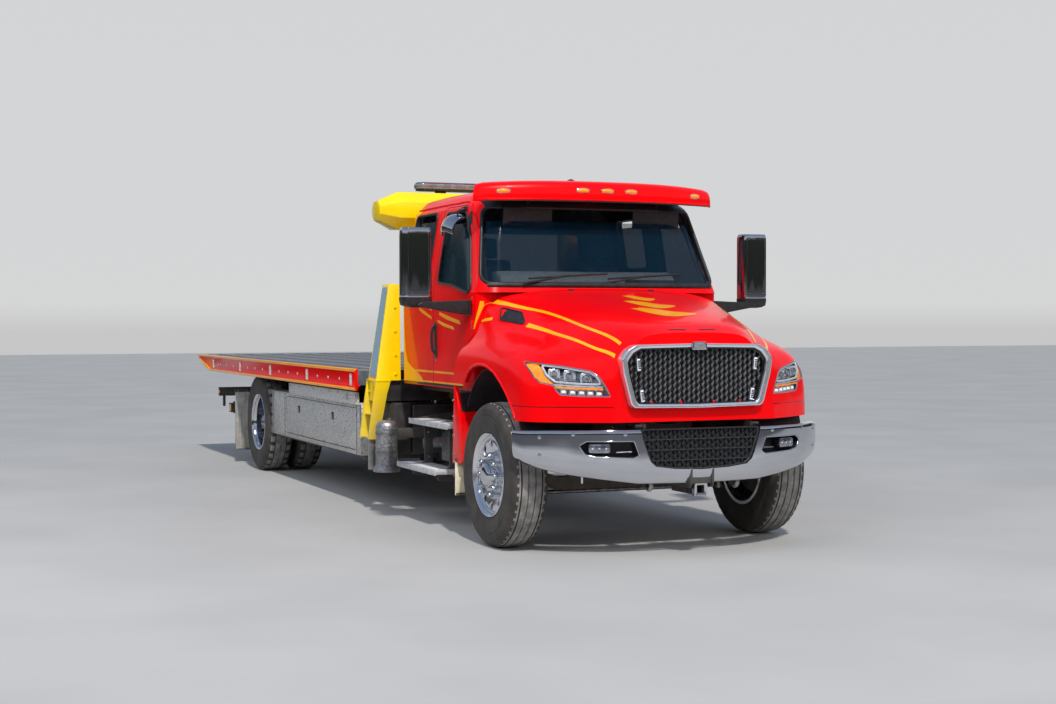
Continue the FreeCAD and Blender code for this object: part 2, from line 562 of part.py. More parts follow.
put("toolboxes", both(toolbox()))
td = box(TB["x1"] - 26, TB["x1"] - 4, TBD["y0"], TBD["y1"], TBD["z0"], TBD["z1"])
put("toolbox_door_left", td)
put("toolbox_door_right", mirror(td))

# ---------------------------------------------------------------- rear mud flaps and lights
flaps = []
for s in (1,):
    f = fuse(box(650, 1235, 7500, 7512, 130, 830), box(432, 1235, 7512, 7540, 790, 830))
    flaps += both(f)
    ff = box(820, 1096, 668, 680, 290, 560)
    flaps += both(ff)
put("mudflaps", flaps)
lights = fuse(box(-1200, 1200, 8450, 8520, 700, 800),
              *[box(*sorted((s * 330, s * 420)), 8095, 8452, 705, 790) for s in (-1, 1)])
put("rear_light_bar", lights)

# ---------------------------------------------------------------- tilting subframe
sub = []
for sx in (-1, 1):
    a, b = sorted((sx * 300, sx * 420))
    tubeo = box(a, b, 2950, 7930, 932, 1030)
    sub.append(tubeo)
    a, b = sorted((sx * 300, sx * 328))
    sub.append(prism_x([(7845, 935), (7930, 935), (7945, 870), (7930, 825), (7870, 825), (7855, 870)], a, b))
    for xc in (211, 294):
        c, d = sorted((sx * (xc - 7), sx * (xc + 7)))
        sub.append(box(c, d, 5310, 5460, 945, 1022))
for y in (2950, 3900, 5450, 6820):
    sub.append(box(-310, 310, y, y + 80, 940, 1024))
sub = fuse(*sub)
sub = sub.cut(cyl(30.5, 900, (-450, TILT_PIVOT[0], TILT_PIVOT[1]), (1, 0, 0)))
bar = cyl(52, 3900, (0, 3030, 972), (0, 1, 0)).cut(cyl(41, 3900, (0, 3060, 972), (0, 1, 0)))
sub = sub.fuse(bar).cut(cyl(41, 4000, (0, 3060, 972), (0, 1, 0))).removeSplitter()
put("tilt_subframe", sub)


def cylinder(xs, B, E, r, closed, eye=24):
    """Barrel with its fixed eye at B and rod with its eye at E, in the x = const planes xs.
    eye: bore radius of the rod's eye, 0 where the eye carries its own pin."""
    import math
    L = math.hypot(E[0] - B[0], E[1] - B[1])
    u = ((E[0] - B[0]) / L, (E[1] - B[1]) / L)
    barrels, rods = [], []
    for x in xs:
        p = lambda s: (x, B[0] + u[0] * s, B[1] + u[1] * s)
        d = (0, u[0], u[1])
        b = cyl(r, L - closed - 52, p(52), d)
        b = b.fuse([cyl(34, 56, (x - 28, B[0], B[1]), (1, 0, 0)), cyl(26, 40, p(20), d)])
        b = b.cut(cyl(20.5, 80, (x - 40, B[0], B[1]), (1, 0, 0))).cut(cyl(r - 10, L, p(75), d))
        cap = cyl(r, 40, p(L - closed - 40), d).cut(cyl(r * 0.56 + 0.4, 200, p(L - closed - 60), d))
        barrels.append(fuse(b, cap))
        q = cyl(r * 0.56, L - 30 - 110, p(110), d)
        q = q.fuse([cyl(32, 56, (x - 28, E[0], E[1]), (1, 0, 0)), cyl(r - 10.5, 40, p(110), d)])
        if eye:
            q = q.cut(cyl(eye, 80, (x - 40, E[0], E[1]), (1, 0, 0)))
        rods.append(fuse(q))
    return barrels, rods


tb, tr = cylinder((-TILT_X, TILT_X), TILT_B, TILT_E, 37, 110, 0)
put("tilt_cylinder_barrels", tb)
put("tilt_cylinder_rods", tr)

# ---------------------------------------------------------------- deck
# the winch stands on a front plate 3 mm lower than the floor
floor = fuse(box(-1240, 1240, 3200, 9200, 1140, DECK_TOP), box(-1240, 1240, DECK_Y0, 3200, 1140, DECK_TOP - 3))
lip = prism_x([(9200, 1140), (9200, DECK_TOP), (TAIL_END, DECK_TOP), (TAIL_END, 1135), (9260, 1110), (9000, 1062), (8950, 1062), (8950, 1140)], -1240, 1240)
parts = [floor, lip]
for sx in (-1, 1):
    a, b = sorted((sx * 330, sx * 410))
    parts.append(box(a, b, 2900, 9000, 1036, 1141))
for i in range(10):
    y = 3100 + 640 * i
    parts.append(box(-1240, 1240, y, y + 60, 1062, 1141))
parts.append(box(-1240, 1240, DECK_Y0, DECK_Y0 + 30, 1036, 1145))
# rod of the slide cylinder, held by a cross plate under the floor
parts.append(box(-70, 70, 7030, 7060, 925, 1141).cut(box(-80, 80, 7000, 7100, 900, 925)))
parts.append(cyl(24, 3850, (0, 3190, 972), (0, 1, 0)))
parts.append(cyl(40, 50, (0, 3190, 972), (0, 1, 0)))
deck = fuse(*parts)
put("deck", max(deck.Solids, key=lambda s: s.Volume))
rail_side = prism_x([(DECK_Y0, DECK_RAIL_BOTTOM), (8710, DECK_RAIL_BOTTOM), (9290, 1120), (TAIL_END, 1135), (TAIL_END, DECK_TOP + 12), (DECK_Y0, DECK_TOP + 12)], 1240, DECK_X)
put("deck_side_rails", both(rail_side))

wz = 1300
winch = [box(-260, -235, 2880, 3120, DECK_TOP - 3, 1440), box(235, 260, 2880, 3120, DECK_TOP - 3, 1440),
         cyl(55, 480, (-240, 3000, wz), (1, 0, 0)), cyl(80, 330, (-165, 3000, wz), (1, 0, 0)),
         cyl(60, 120, (258, 3000, wz), (1, 0, 0)), box(-240, 240, 2885, 2900, 1170, 1250),
         box(-240, 240, 3100, 3115, 1170, 1215)]
put("winch", fuse(*winch))

# ---------------------------------------------------------------- wheel lift
ly, lz = LIFT_PIVOT
boom = box(-65, 65, ly + 40, 8850, lz - 65, lz + 65).cut(box(-53, 53, ly + 60, 8900, lz - 53, lz + 53))
ears = prism_x([(ly - 45, lz - 30), (ly - 45, lz + 30), (ly - 20, lz + 50), (ly + 60, lz + 65), (ly + 60, lz - 65), (ly - 20, lz - 50)], -70, 70)
ears = ears.cut(box(-100, 100, ly + 60, 9000, 300, 800))
lug = prism_x([(8440, lz - 60), (8560, lz - 60), (8530, LIFT_E[1] - 28), (8470, LIFT_E[1] - 28)], 34, 46)
lug2 = mirror(lug)
pinl = cyl(18, 92, (-46, LIFT_E[0], LIFT_E[1]), (1, 0, 0))
boom = fuse(boom, ears, lug, lug2, pinl)
boom = boom.cut(cyl(28.5, 400, (-200, ly, lz), (1, 0, 0)))
put("lift_boom", boom)
st = [box(-47, 47, 8260, 8985, lz - 47, lz + 47), box(-950, 950, 8970, 9080, lz - 55, lz + 55)]
for s in (-1, 1):
    a, b = sorted((s * 760, s * 900))
    st.append(box(a, b, 8955, 9095, lz - 72, lz + 72))
put("lift_crossbar", fuse(*st))
lbb, lrr = cylinder((0,), LIFT_B, LIFT_E, 36, 130)
put("lift_cylinder_barrel", lbb)
put("lift_cylinder_rod", lrr)

# ---------------------------------------------------------------- mirrors on the doors
def mirror_head():
    h = prism_z([(MIRROR_X - 118, MIRROR_Y - 20), (MIRROR_X - 95, MIRROR_Y - 60), (MIRROR_X + 95, MIRROR_Y - 60),
                 (MIRROR_X + 118, MIRROR_Y - 20), (MIRROR_X + 118, MIRROR_Y + 55), (MIRROR_X - 118, MIRROR_Y + 55)],
                1684, 2277)
    arm = prism_y([(1024, 1747), (1024, 1629), (1120, 1640), (MIRROR_X, 1684), (MIRROR_X + 60, 1700), (1200, 1738)], 670, 740)
    foot = box(1018, 1030, 655, 760, 1629, 1747)
    return fuse(h, arm, foot).cut(door_body)


mh = mirror_head()
put("mirror_left", mh)
put("mirror_right", mirror(mh))

# ---------------------------------------------------------------- report
bb = Part.makeCompound(list(NODES.values())).BoundBox
print("nodes", len(NODES), "box x %.0f %.0f y %.0f %.0f z %.0f %.0f" % (bb.XMin, bb.XMax, bb.YMin, bb.YMax, bb.ZMin, bb.ZMax))
tot = 0
for n, s in NODES.items():
    ok = s.isValid() and len(s.Solids) >= 1
    tot += s.Volume
    if not ok or s.Volume < 1e4:
        print("CHECK", n, s.isValid(), len(s.Solids), s.Volume)
print("volume m3 %.3f" % (tot / 1e9))
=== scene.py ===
import bpy, bmesh, math, json, random
import numpy as np
from mathutils import Vector, Matrix
from mathutils.bvhtree import BVHTree

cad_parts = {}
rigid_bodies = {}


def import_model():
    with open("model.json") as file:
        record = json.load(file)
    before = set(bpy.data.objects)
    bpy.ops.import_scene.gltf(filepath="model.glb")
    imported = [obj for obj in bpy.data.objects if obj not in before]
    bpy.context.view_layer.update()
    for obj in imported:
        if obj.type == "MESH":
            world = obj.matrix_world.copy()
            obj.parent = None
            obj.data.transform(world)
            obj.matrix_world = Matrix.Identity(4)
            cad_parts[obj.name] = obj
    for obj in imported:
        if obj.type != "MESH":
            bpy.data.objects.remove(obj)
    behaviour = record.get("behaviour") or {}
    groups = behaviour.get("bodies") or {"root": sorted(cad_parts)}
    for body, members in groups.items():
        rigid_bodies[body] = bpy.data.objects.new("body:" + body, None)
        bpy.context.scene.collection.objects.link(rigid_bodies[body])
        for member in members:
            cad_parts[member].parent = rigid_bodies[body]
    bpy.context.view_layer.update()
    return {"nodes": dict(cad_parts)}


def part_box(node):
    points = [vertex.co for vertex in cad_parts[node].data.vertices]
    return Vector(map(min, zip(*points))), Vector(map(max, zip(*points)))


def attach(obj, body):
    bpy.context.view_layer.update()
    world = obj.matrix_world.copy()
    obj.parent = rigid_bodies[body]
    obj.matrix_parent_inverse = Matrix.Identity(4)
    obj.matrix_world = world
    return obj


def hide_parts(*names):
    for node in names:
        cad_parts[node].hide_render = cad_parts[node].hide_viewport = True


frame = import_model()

random.seed(7)
sin, cos, pi, rad = math.sin, math.cos, math.pi, math.radians
C = bpy.context
SC = C.scene

# ------------------------------------------------------------------ frame references
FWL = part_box("wheel_front_left")
FA = (FWL[0][1] + FWL[1][1]) / 2            # y of the front axle
AZ = (FWL[0][2] + FWL[1][2]) / 2            # height of the axles
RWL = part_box("wheels_rear_left")
RA = (RWL[0][1] + RWL[1][1]) / 2
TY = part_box("tyre_front_left")
TX = (TY[0][0] + TY[1][0]) / 2              # |x| of a front tyre's middle plane
TR = (TY[1][2] - TY[0][2]) / 2
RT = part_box("tyres_rear_left")

# ------------------------------------------------------------------ materials
MATS = {}


def mat(name, color, rough=0.5, metal=0.0, var=0.12, vscale=6.0, rvar=0.08, bump=0.0, bscale=60.0, coat=0.0,
        color2=None, ramp=(0.35, 0.65), stretch=(1, 1, 1), detail=4.0, spec=0.5, emis=None, emis_s=0.0, alpha=1.0,
        trans=0.0, ior=1.45, coat_r=0.03, kind="noise", dirt=None, dirt_h=None, bdist=0.002):
    """Procedural principled material: two tones mixed by noise, noisy roughness, fine bump, optional dirt by height."""
    if name in MATS:
        return MATS[name]
    m = bpy.data.materials.new(name)
    m.use_nodes = True
    nt = m.node_tree
    N, L = nt.nodes, nt.links
    N.clear()
    out = N.new("ShaderNodeOutputMaterial")
    p = N.new("ShaderNodeBsdfPrincipled")
    L.new(p.outputs[0], out.inputs[0])
    tc = N.new("ShaderNodeTexCoord")
    mp = N.new("ShaderNodeMapping")
    mp.inputs["Scale"].default_value = stretch
    L.new(tc.outputs["Object"], mp.inputs[0])
    if kind == "noise":
        n = N.new("ShaderNodeTexNoise")
        n.inputs["Scale"].default_value = vscale
        n.inputs["Detail"].default_value = detail
        L.new(mp.outputs[0], n.inputs["Vector"])
        fac = n.outputs[0]
    elif kind == "voronoi":
        n = N.new("ShaderNodeTexVoronoi")
        n.inputs["Scale"].default_value = vscale
        L.new(mp.outputs[0], n.inputs["Vector"])
        fac = n.outputs[0]
    else:
        n = N.new("ShaderNodeTexWave")
        n.inputs["Scale"].default_value = vscale
        n.inputs["Distortion"].default_value = 2.0
        n.inputs["Detail"].default_value = detail
        L.new(mp.outputs[0], n.inputs["Vector"])
        fac = n.outputs[0]
    cr = N.new("ShaderNodeValToRGB")
    c = tuple(color) + (1,) if len(color) == 3 else tuple(color)
    if color2 is None:
        c2 = tuple(max(0, min(1, v * (1 - var))) for v in c[:3]) + (1,)
    else:
        c2 = tuple(color2) + (1,)
    cr.color_ramp.elements[0].position, cr.color_ramp.elements[1].position = ramp
    cr.color_ramp.elements[0].color = c2
    cr.color_ramp.elements[1].color = c
    L.new(fac, cr.inputs[0])
    col = cr.outputs[0]
    if dirt is not None:
        # dust that thickens towards the ground, broken up by noise
        geo = N.new("ShaderNodeSeparateXYZ")
        L.new(tc.outputs["Object"], geo.inputs[0])
        mr = N.new("ShaderNodeMapRange")
        mr.inputs[1].default_value, mr.inputs[2].default_value = dirt_h
        mr.inputs[3].default_value, mr.inputs[4].default_value = 1.0, 0.0
        L.new(geo.outputs[2], mr.inputs[0])
        dn = N.new("ShaderNodeTexNoise")
        dn.inputs["Scale"].default_value = 14
        dn.inputs["Detail"].default_value = 6
        L.new(tc.outputs["Object"], dn.inputs["Vector"])
        mu = N.new("ShaderNodeMath")
        mu.operation = "MULTIPLY"
        L.new(mr.outputs[0], mu.inputs[0])
        L.new(dn.outputs[0], mu.inputs[1])
        mx = N.new("ShaderNodeMix")
        mx.data_type = "RGBA"
        L.new(mu.outputs[0], mx.inputs[0])
        L.new(col, mx.inputs[6])
        mx.inputs[7].default_value = tuple(dirt) + (1,)
        col = mx.outputs[2]
    L.new(col, p.inputs["Base Color"])
    rn = N.new("ShaderNodeTexNoise")
    rn.inputs["Scale"].default_value = vscale * 2.3
    rn.inputs["Detail"].default_value = 5
    L.new(mp.outputs[0], rn.inputs["Vector"])
    rr = N.new("ShaderNodeMapRange")
    rr.inputs[3].default_value = max(0.01, rough - rvar)
    rr.inputs[4].default_value = min(1.0, rough + rvar)
    L.new(rn.outputs[0], rr.inputs[0])
    L.new(rr.outputs[0], p.inputs["Roughness"])
    p.inputs["Metallic"].default_value = metal
    p.inputs["Specular IOR Level"].default_value = spec
    p.inputs["IOR"].default_value = ior
    p.inputs["Coat Weight"].default_value = coat
    p.inputs["Coat Roughness"].default_value = coat_r
    p.inputs["Transmission Weight"].default_value = trans
    p.inputs["Alpha"].default_value = alpha
    if emis:
        p.inputs["Emission Color"].default_value = tuple(emis) + (1,)
        p.inputs["Emission Strength"].default_value = emis_s
    if bump:
        bn = N.new("ShaderNodeTexNoise")
        bn.inputs["Scale"].default_value = bscale
        bn.inputs["Detail"].default_value = 3
        L.new(mp.outputs[0], bn.inputs["Vector"])
        b = N.new("ShaderNodeBump")
        b.inputs["Strength"].default_value = bump
        b.inputs["Distance"].default_value = bdist
        L.new(bn.outputs[0], b.inputs["Height"])
        L.new(b.outputs[0], p.inputs["Normal"])
    m.diffuse_color = c
    MATS[name] = m
    return m


RED = mat("car_red", (0.93, 0.001, 0.002), 0.30, 0.0, color2=(0.80, 0.0006, 0.003), vscale=1.3, rvar=0.05, coat=0.30, spec=0.12, bump=0.04,
          bscale=260, bdist=0.0006, dirt=(0.42, 0.16, 0.12), dirt_h=(0.25, 0.85))
ORANGE = mat("stripe_orange", (1.0, 0.43, 0.004), 0.30, 0.0, color2=(0.95, 0.34, 0.003), vscale=3, rvar=0.05, coat=0.4)
YELLOW = mat("pylon_yellow", (1.0, 0.72, 0.0), 0.30, 0.0, color2=(0.92, 0.60, 0.0), vscale=2.2, rvar=0.08, coat=0.6,
             bump=0.10, bscale=160, bdist=0.0008, dirt=(0.45, 0.36, 0.16), dirt_h=(0.55, 1.1))
CHROME = mat("chrome", (0.62, 0.63, 0.67), 0.05, 1.0, var=0.05, vscale=2, rvar=0.03)
BRIGHT = mat("bright_trim", (0.90, 0.92, 0.98), 0.20, 0.86, var=0.04, vscale=4, rvar=0.05)
DISCM = mat("wheel_disc", (0.78, 0.79, 0.82), 0.24, 1.0, var=0.08, vscale=6, rvar=0.05)
POLISH = mat("polished_aluminium", (0.74, 0.75, 0.78), 0.11, 1.0, var=0.08, vscale=5, rvar=0.04)
ALU = mat("aluminium_plate", (0.60, 0.60, 0.61), 0.42, 0.85, color2=(0.33, 0.33, 0.34), vscale=55, ramp=(0.42, 0.62),
          rvar=0.12, bump=0.25, bscale=120, bdist=0.001, dirt=(0.34, 0.30, 0.25), dirt_h=(0.25, 0.75))
ALU2 = mat("aluminium_brushed", (0.68, 0.68, 0.69), 0.33, 0.95, var=0.25, vscale=20, stretch=(1, 12, 1), rvar=0.1, bump=0.1,
           bscale=70, dirt=(0.33, 0.30, 0.26), dirt_h=(0.2, 0.9))
BLACKM = mat("chassis_black", (0.020, 0.020, 0.022), 0.48, 0.0, color2=(0.045, 0.042, 0.040), vscale=9, rvar=0.14, bump=0.3,
             bscale=90, dirt=(0.16, 0.14, 0.12), dirt_h=(0.1, 1.0))
BLACKP = mat("black_plastic", (0.016, 0.016, 0.018), 0.42, 0.0, color2=(0.026, 0.026, 0.028), vscale=25, rvar=0.1, bump=0.35,
             bscale=420, bdist=0.0006)
GLOSSB = mat("black_gloss", (0.008, 0.008, 0.010), 0.10, 0.0, var=0.4, vscale=5, rvar=0.04, coat=0.6)
IRON = mat("cast_iron", (0.09, 0.085, 0.08), 0.68, 0.35, color2=(0.15, 0.11, 0.08), vscale=16, rvar=0.15, bump=0.6, bscale=70)
STEEL = mat("plain_steel", (0.42, 0.42, 0.43), 0.36, 0.9, color2=(0.24, 0.22, 0.20), vscale=22, rvar=0.14, bump=0.25, bscale=90)
RODC = mat("rod_chrome", (0.85, 0.85, 0.87), 0.09, 1.0, var=0.06, vscale=12, rvar=0.04)
DECKM = mat("deck_steel", (0.20, 0.235, 0.29), 0.42, 0.35, color2=(0.105, 0.12, 0.145), vscale=5.5, stretch=(3.0, 0.5, 1), rvar=0.16,
            bump=0.35, bscale=150, bdist=0.001, detail=9)
GLASS = mat("glass_tint", (0.002, 0.020, 0.042), 0.03, 0.0, var=0.3, vscale=2, rvar=0.015, alpha=0.42, spec=0.35)
GLASSD = mat("glass_dark", (0.014, 0.040, 0.058), 0.03, 0.0, var=0.3, vscale=2, rvar=0.015, alpha=0.72, spec=0.7)
LENS = mat("lamp_lens", (0.03, 0.035, 0.05), 0.03, 0.0, color2=(0.06, 0.065, 0.08), vscale=8, rvar=0.015, alpha=0.10, spec=0.8)
SILVER = mat("lamp_silver", (0.88, 0.89, 0.95), 0.22, 0.55, color2=(0.74, 0.75, 0.82), vscale=50, rvar=0.08)
MODULE = mat("lamp_module", (0.10, 0.13, 0.17), 0.18, 0.2, color2=(0.50, 0.54, 0.58), vscale=46, ramp=(0.50, 0.62), rvar=0.08)
AMBER = mat("amber_lens", (1.0, 0.36, 0.02), 0.16, 0.0, color2=(0.95, 0.22, 0.01), vscale=60, rvar=0.06, coat=1.0,
            emis=(1.0, 0.30, 0.02), emis_s=0.28)
REDLENS = mat("red_lens", (0.62, 0.010, 0.010), 0.14, 0.0, color2=(0.38, 0.004, 0.004), vscale=70, rvar=0.05, coat=1.0)
WHITEL = mat("led_white", (0.92, 0.94, 1.0), 0.2, 0.0, var=0.1, vscale=40, rvar=0.05, emis=(0.95, 0.97, 1.0), emis_s=0.25, coat=0.6)
FABRIC = mat("seat_fabric", (0.050, 0.050, 0.055), 0.9, 0.0, color2=(0.085, 0.085, 0.09), vscale=180, rvar=0.06, bump=0.7,
             bscale=600, bdist=0.001)
VINYL = mat("cab_vinyl", (0.10, 0.105, 0.11), 0.62, 0.0, color2=(0.065, 0.068, 0.072), vscale=30, rvar=0.1, bump=0.4, bscale=300, bdist=0.0008)
FLAP = mat("flap_white", (0.52, 0.51, 0.47), 0.62, 0.0, color2=(0.34, 0.33, 0.30), vscale=12, rvar=0.12, bump=0.3, bscale=60,
           dirt=(0.20, 0.18, 0.15), dirt_h=(0.05, 0.7))
CREAM = mat("flap_cream", (0.95, 0.86, 0.64), 0.6, 0.0, color2=(0.62, 0.55, 0.37), vscale=12, rvar=0.12, bump=0.25, bscale=60)
REFL = mat("reflector_blue_grey", (0.25, 0.40, 0.52), 0.35, 0.2, color2=(0.34, 0.50, 0.62), vscale=80, kind="voronoi", rvar=0.08)
ROPE = mat("wire_rope", (0.34, 0.33, 0.31), 0.45, 0.8, color2=(0.14, 0.13, 0.12), vscale=240, stretch=(1, 1, 1), rvar=0.1, bump=0.5,
           bscale=500)


def rubber():
    m = mat("tyre_rubber", (0.070, 0.060, 0.052), 0.70, 0.0, color2=(0.042, 0.038, 0.035), vscale=7, rvar=0.1, bump=0.35, bscale=220,
            bdist=0.0008)
    return m


TYRE = rubber()
TREAD = mat("tyre_tread", (0.30, 0.285, 0.27), 0.85, 0.0, color2=(0.17, 0.16, 0.15), vscale=18, rvar=0.08, bump=0.5, bscale=260, bdist=0.001)

# ------------------------------------------------------------------ mesh helpers
def link(o):
    SC.collection.objects.link(o)
    return o


def finish_mesh(me, angle=32.0):
    """Smooth shading with sharp edges above the angle."""
    bm = bmesh.new()
    bm.from_mesh(me)
    bmesh.ops.recalc_face_normals(bm, faces=bm.faces)
    lim = rad(angle)
    for e in bm.edges:
        e.smooth = not (len(e.link_faces) == 2 and e.calc_face_angle(0) > lim) and len(e.link_faces) == 2
    for f in bm.faces:
        f.smooth = True
    bm.to_mesh(me)
    bm.free()


def obj(name, verts, faces, material, angle=32.0):
    me = bpy.data.meshes.new(name)
    me.from_pydata([tuple(v) for v in verts], [], faces)
    me.materials.append(material)
    finish_mesh(me, angle)
    return link(bpy.data.objects.new(name, me))


def from_bm(name, bm, material, angle=32.0):
    me = bpy.data.meshes.new(name)
    bm.to_mesh(me)
    bm.free()
    me.materials.append(material)
    finish_mesh(me, angle)
    return link(bpy.data.objects.new(name, me))


def apply_all(o):
    dg = C.evaluated_depsgraph_get()
    me = bpy.data.meshes.new_from_object(o.evaluated_get(dg))
    old = o.data
    o.modifiers.clear()
    o.data = me
    if old.users == 0:
        bpy.data.meshes.remove(old)
    return o


def bevel(o, w=0.004, seg=2, angle=30):
    md = o.modifiers.new("b", "BEVEL")
    md.width, md.segments, md.limit_method, md.angle_limit = w, seg, "ANGLE", rad(angle)
    md.harden_normals = False
    apply_all(o)
    finish_mesh(o.data, 40)
    return o


def subsurf(o, n=2):
    md = o.modifiers.new("s", "SUBSURF")
    md.levels = md.render_levels = n
    apply_all(o)
    return o


def solidify(o, t, offset=-1):
    md = o.modifiers.new("t", "SOLIDIFY")
    md.thickness, md.offset, md.use_even_offset = t, offset, True
    apply_all(o)
    return o


def boolean(o, cutter, op="DIFFERENCE", keep=False, solver="EXACT"):
    md = o.modifiers.new("c", "BOOLEAN")
    md.operation, md.solver, md.object = op, solver, cutter
    md.material_mode = "TRANSFER"
    apply_all(o)
    if not keep:
        bpy.data.objects.remove(cutter, do_unlink=True)
    return o


def join(objs, name=None):
    objs = [o for o in objs if o is not None]
    base = objs[0]
    mats = []
    bm = bmesh.new()
    for o in objs:
        idx = []
        for m in o.data.materials:
            if m not in mats:
                mats.append(m)
            idx.append(mats.index(m))
        me = o.data
        me.transform(o.matrix_world)
        n0 = len(bm.faces)
        bm.from_mesh(me)
        bm.faces.ensure_lookup_table()
        for f in bm.faces[n0:]:
            f.material_index = idx[min(f.material_index, len(idx) - 1)] if idx else 0
    me = bpy.data.meshes.new(name or base.name)
    bm.to_mesh(me)
    bm.free()
    for m in mats:
        me.materials.append(m)
    for o in objs:
        bpy.data.objects.remove(o, do_unlink=True)
    return link(bpy.data.objects.new(name or me.name, me))


def mirrored(o, name):
    me = o.data.copy()
    me.transform(Matrix.Scale(-1, 4, (1, 0, 0)))
    me.flip_normals()
    return link(bpy.data.objects.new(name, me))


def prism(name, pts, axis, a0, a1, material, bev=0.0, seg=2, angle=32):
    """pts: 2-D outline in the plane across axis. axis x: (y, z); y: (x, z); z: (x, y)."""
    def p3(p, a):
        return {"x": (a, p[0], p[1]), "y": (p[0], a, p[1]), "z": (p[0], p[1], a)}[axis]
    n = len(pts)
    v = [p3(p, a0) for p in pts] + [p3(p, a1) for p in pts]
    f = [list(range(n)), list(range(2 * n - 1, n - 1, -1))] + [[i, (i + 1) % n, n + (i + 1) % n, n + i] for i in range(n)]
    o = obj(name, v, f, material, angle)
    if bev:
        bevel(o, bev, seg)
    return o


def bx(name, x0, x1, y0, y1, z0, z1, material, bev=0.004, seg=2):
    x0, x1 = min(x0, x1), max(x0, x1)
    v = [(x, y, z) for x in (x0, x1) for y in (y0, y1) for z in (z0, z1)]
    f = [(0, 1, 3, 2), (4, 6, 7, 5), (0, 4, 5, 1), (2, 3, 7, 6), (0, 2, 6, 4), (1, 5, 7, 3)]
    o = obj(name, v, f, material)
    if bev:
        bevel(o, bev, seg)
    return o


def lathe(name, prof, center, material, axis="x", seg=64, angle=32, close=False):
    """prof: (a, r) along the axis; r 0 closes the end."""
    v, f = [], []
    rings = []
    for a, r in prof:
        if r < 1e-6:
            rings.append([len(v)])
            v.append((a, 0.0, 0.0))
        else:
            rings.append(list(range(len(v), len(v) + seg)))
            v += [(a, r * cos(2 * pi * k / seg), r * sin(2 * pi * k / seg)) for k in range(seg)]
    pairs = list(zip(rings, rings[1:] + ([rings[0]] if close else [])))
    if not close:
        pairs = pairs[:len(rings) - 1]
    for A, B in pairs:
        if len(A) == 1 and len(B) == 1:
            continue
        for k in range(seg):
            k2 = (k + 1) % seg
            if len(A) == 1:
                f.append((A[0], B[k], B[k2]))
            elif len(B) == 1:
                f.append((A[k], B[0], A[k2]))
            else:
                f.append((A[k], B[k], B[k2], A[k2]))
    T = {"x": lambda p: p, "y": lambda p: (p[1], p[0], p[2]), "z": lambda p: (p[1], p[2], p[0])}[axis]
    v = [tuple(np.add(T(p), center)) for p in v]
    return obj(name, v, f, material, angle)


def cylo(name, r, a0, a1, center, material, axis="x", seg=32, ch=0.0):
    """Closed cylinder with chamfered ends, from a0 to a1 along the axis, relative to center."""
    ch = ch or min(r * 0.15, abs(a1 - a0) * 0.2, 0.004)
    prof = [(a0, 0), (a0, r - ch), (a0 + ch, r), (a1 - ch, r), (a1, r - ch), (a1, 0)]
    return lathe(name, prof, center, material, axis, seg)


def tube(name, pts, r, material, seg=10, cyclic=False, smooth=True):
    cu = bpy.data.curves.new(name, "CURVE")
    cu.dimensions = "3D"
    cu.bevel_depth = r
    cu.bevel_resolution = max(1, seg // 4)
    cu.use_fill_caps = True
    if smooth:
        sp = cu.splines.new("NURBS")
        sp.points.add(len(pts) - 1)
        for q, p in zip(sp.points, pts):
            q.co = tuple(p) + (1,)
        sp.use_cyclic_u = cyclic
        sp.order_u = 3
        sp.use_endpoint_u = not cyclic
        sp.resolution_u = 6
    else:
        sp = cu.splines.new("POLY")
        sp.points.add(len(pts) - 1)
        for q, p in zip(sp.points, pts):
            q.co = tuple(p) + (1,)
        sp.use_cyclic_u = cyclic
    o = link(bpy.data.objects.new(name, cu))
    dg = C.evaluated_depsgraph_get()
    me = bpy.data.meshes.new_from_object(o.evaluated_get(dg))
    bpy.data.objects.remove(o, do_unlink=True)
    me.materials.clear()
    me.materials.append(material)
    finish_mesh(me, 50)
    return link(bpy.data.objects.new(name, me))


def rot(o, angle, axis, center):
    c = Vector(center)
    M = Matrix.Translation(c) @ Matrix.Rotation(angle, 4, Vector(axis)) @ Matrix.Translation(-c)
    o.data.transform(M)
    return o


def move(o, d):
    o.data.transform(Matrix.Translation(Vector(d)))
    return o


def copy(o, name=None):
    return link(bpy.data.objects.new(name or o.name, o.data.copy()))


def array(o, offs, name=None):
    """Joined copies of o at the given offsets; o itself is removed."""
    bm = bmesh.new()
    for d in offs:
        me = o.data.copy()
        me.transform(Matrix.Translation(Vector(d)))
        bm.from_mesh(me)
        bpy.data.meshes.remove(me)
    me = bpy.data.meshes.new(name or o.name)
    bm.to_mesh(me)
    bm.free()
    for m in o.data.materials:
        me.materials.append(m)
    bpy.data.objects.remove(o, do_unlink=True)
    return link(bpy.data.objects.new(name or me.name, me))


def both(o, body_l, body_r, base):
    """Name o base_left, add its mirror base_right, and let each ride its body."""
    o.name = base + "_left"
    r = mirrored(o, base + "_right")
    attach(o, body_l)
    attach(r, body_r)
    return o, r


def rounded(pts, r, n=5):
    """Round the corners of a 2-D outline. r: one radius or one per corner."""
    out = []
    m = len(pts)
    for i in range(m):
        p0, p1, p2 = Vector(pts[i - 1]), Vector(pts[i]), Vector(pts[(i + 1) % m])
        a, b = (p0 - p1), (p2 - p1)
        la, lb = a.length, b.length
        a.normalize(); b.normalize()
        rr = r[i] if isinstance(r, (list, tuple)) else r
        ang = a.angle(b)
        if rr < 1e-6 or ang > pi - 0.02:
            out.append(tuple(p1))
            continue
        d = min(rr / math.tan(ang / 2), la * 0.48, lb * 0.48)
        q0, q2 = p1 + a * d, p1 + b * d
        for k in range(n + 1):
            t = k / n
            out.append(tuple((1 - t) ** 2 * q0 + 2 * t * (1 - t) * p1 + t * t * q2))
    return out


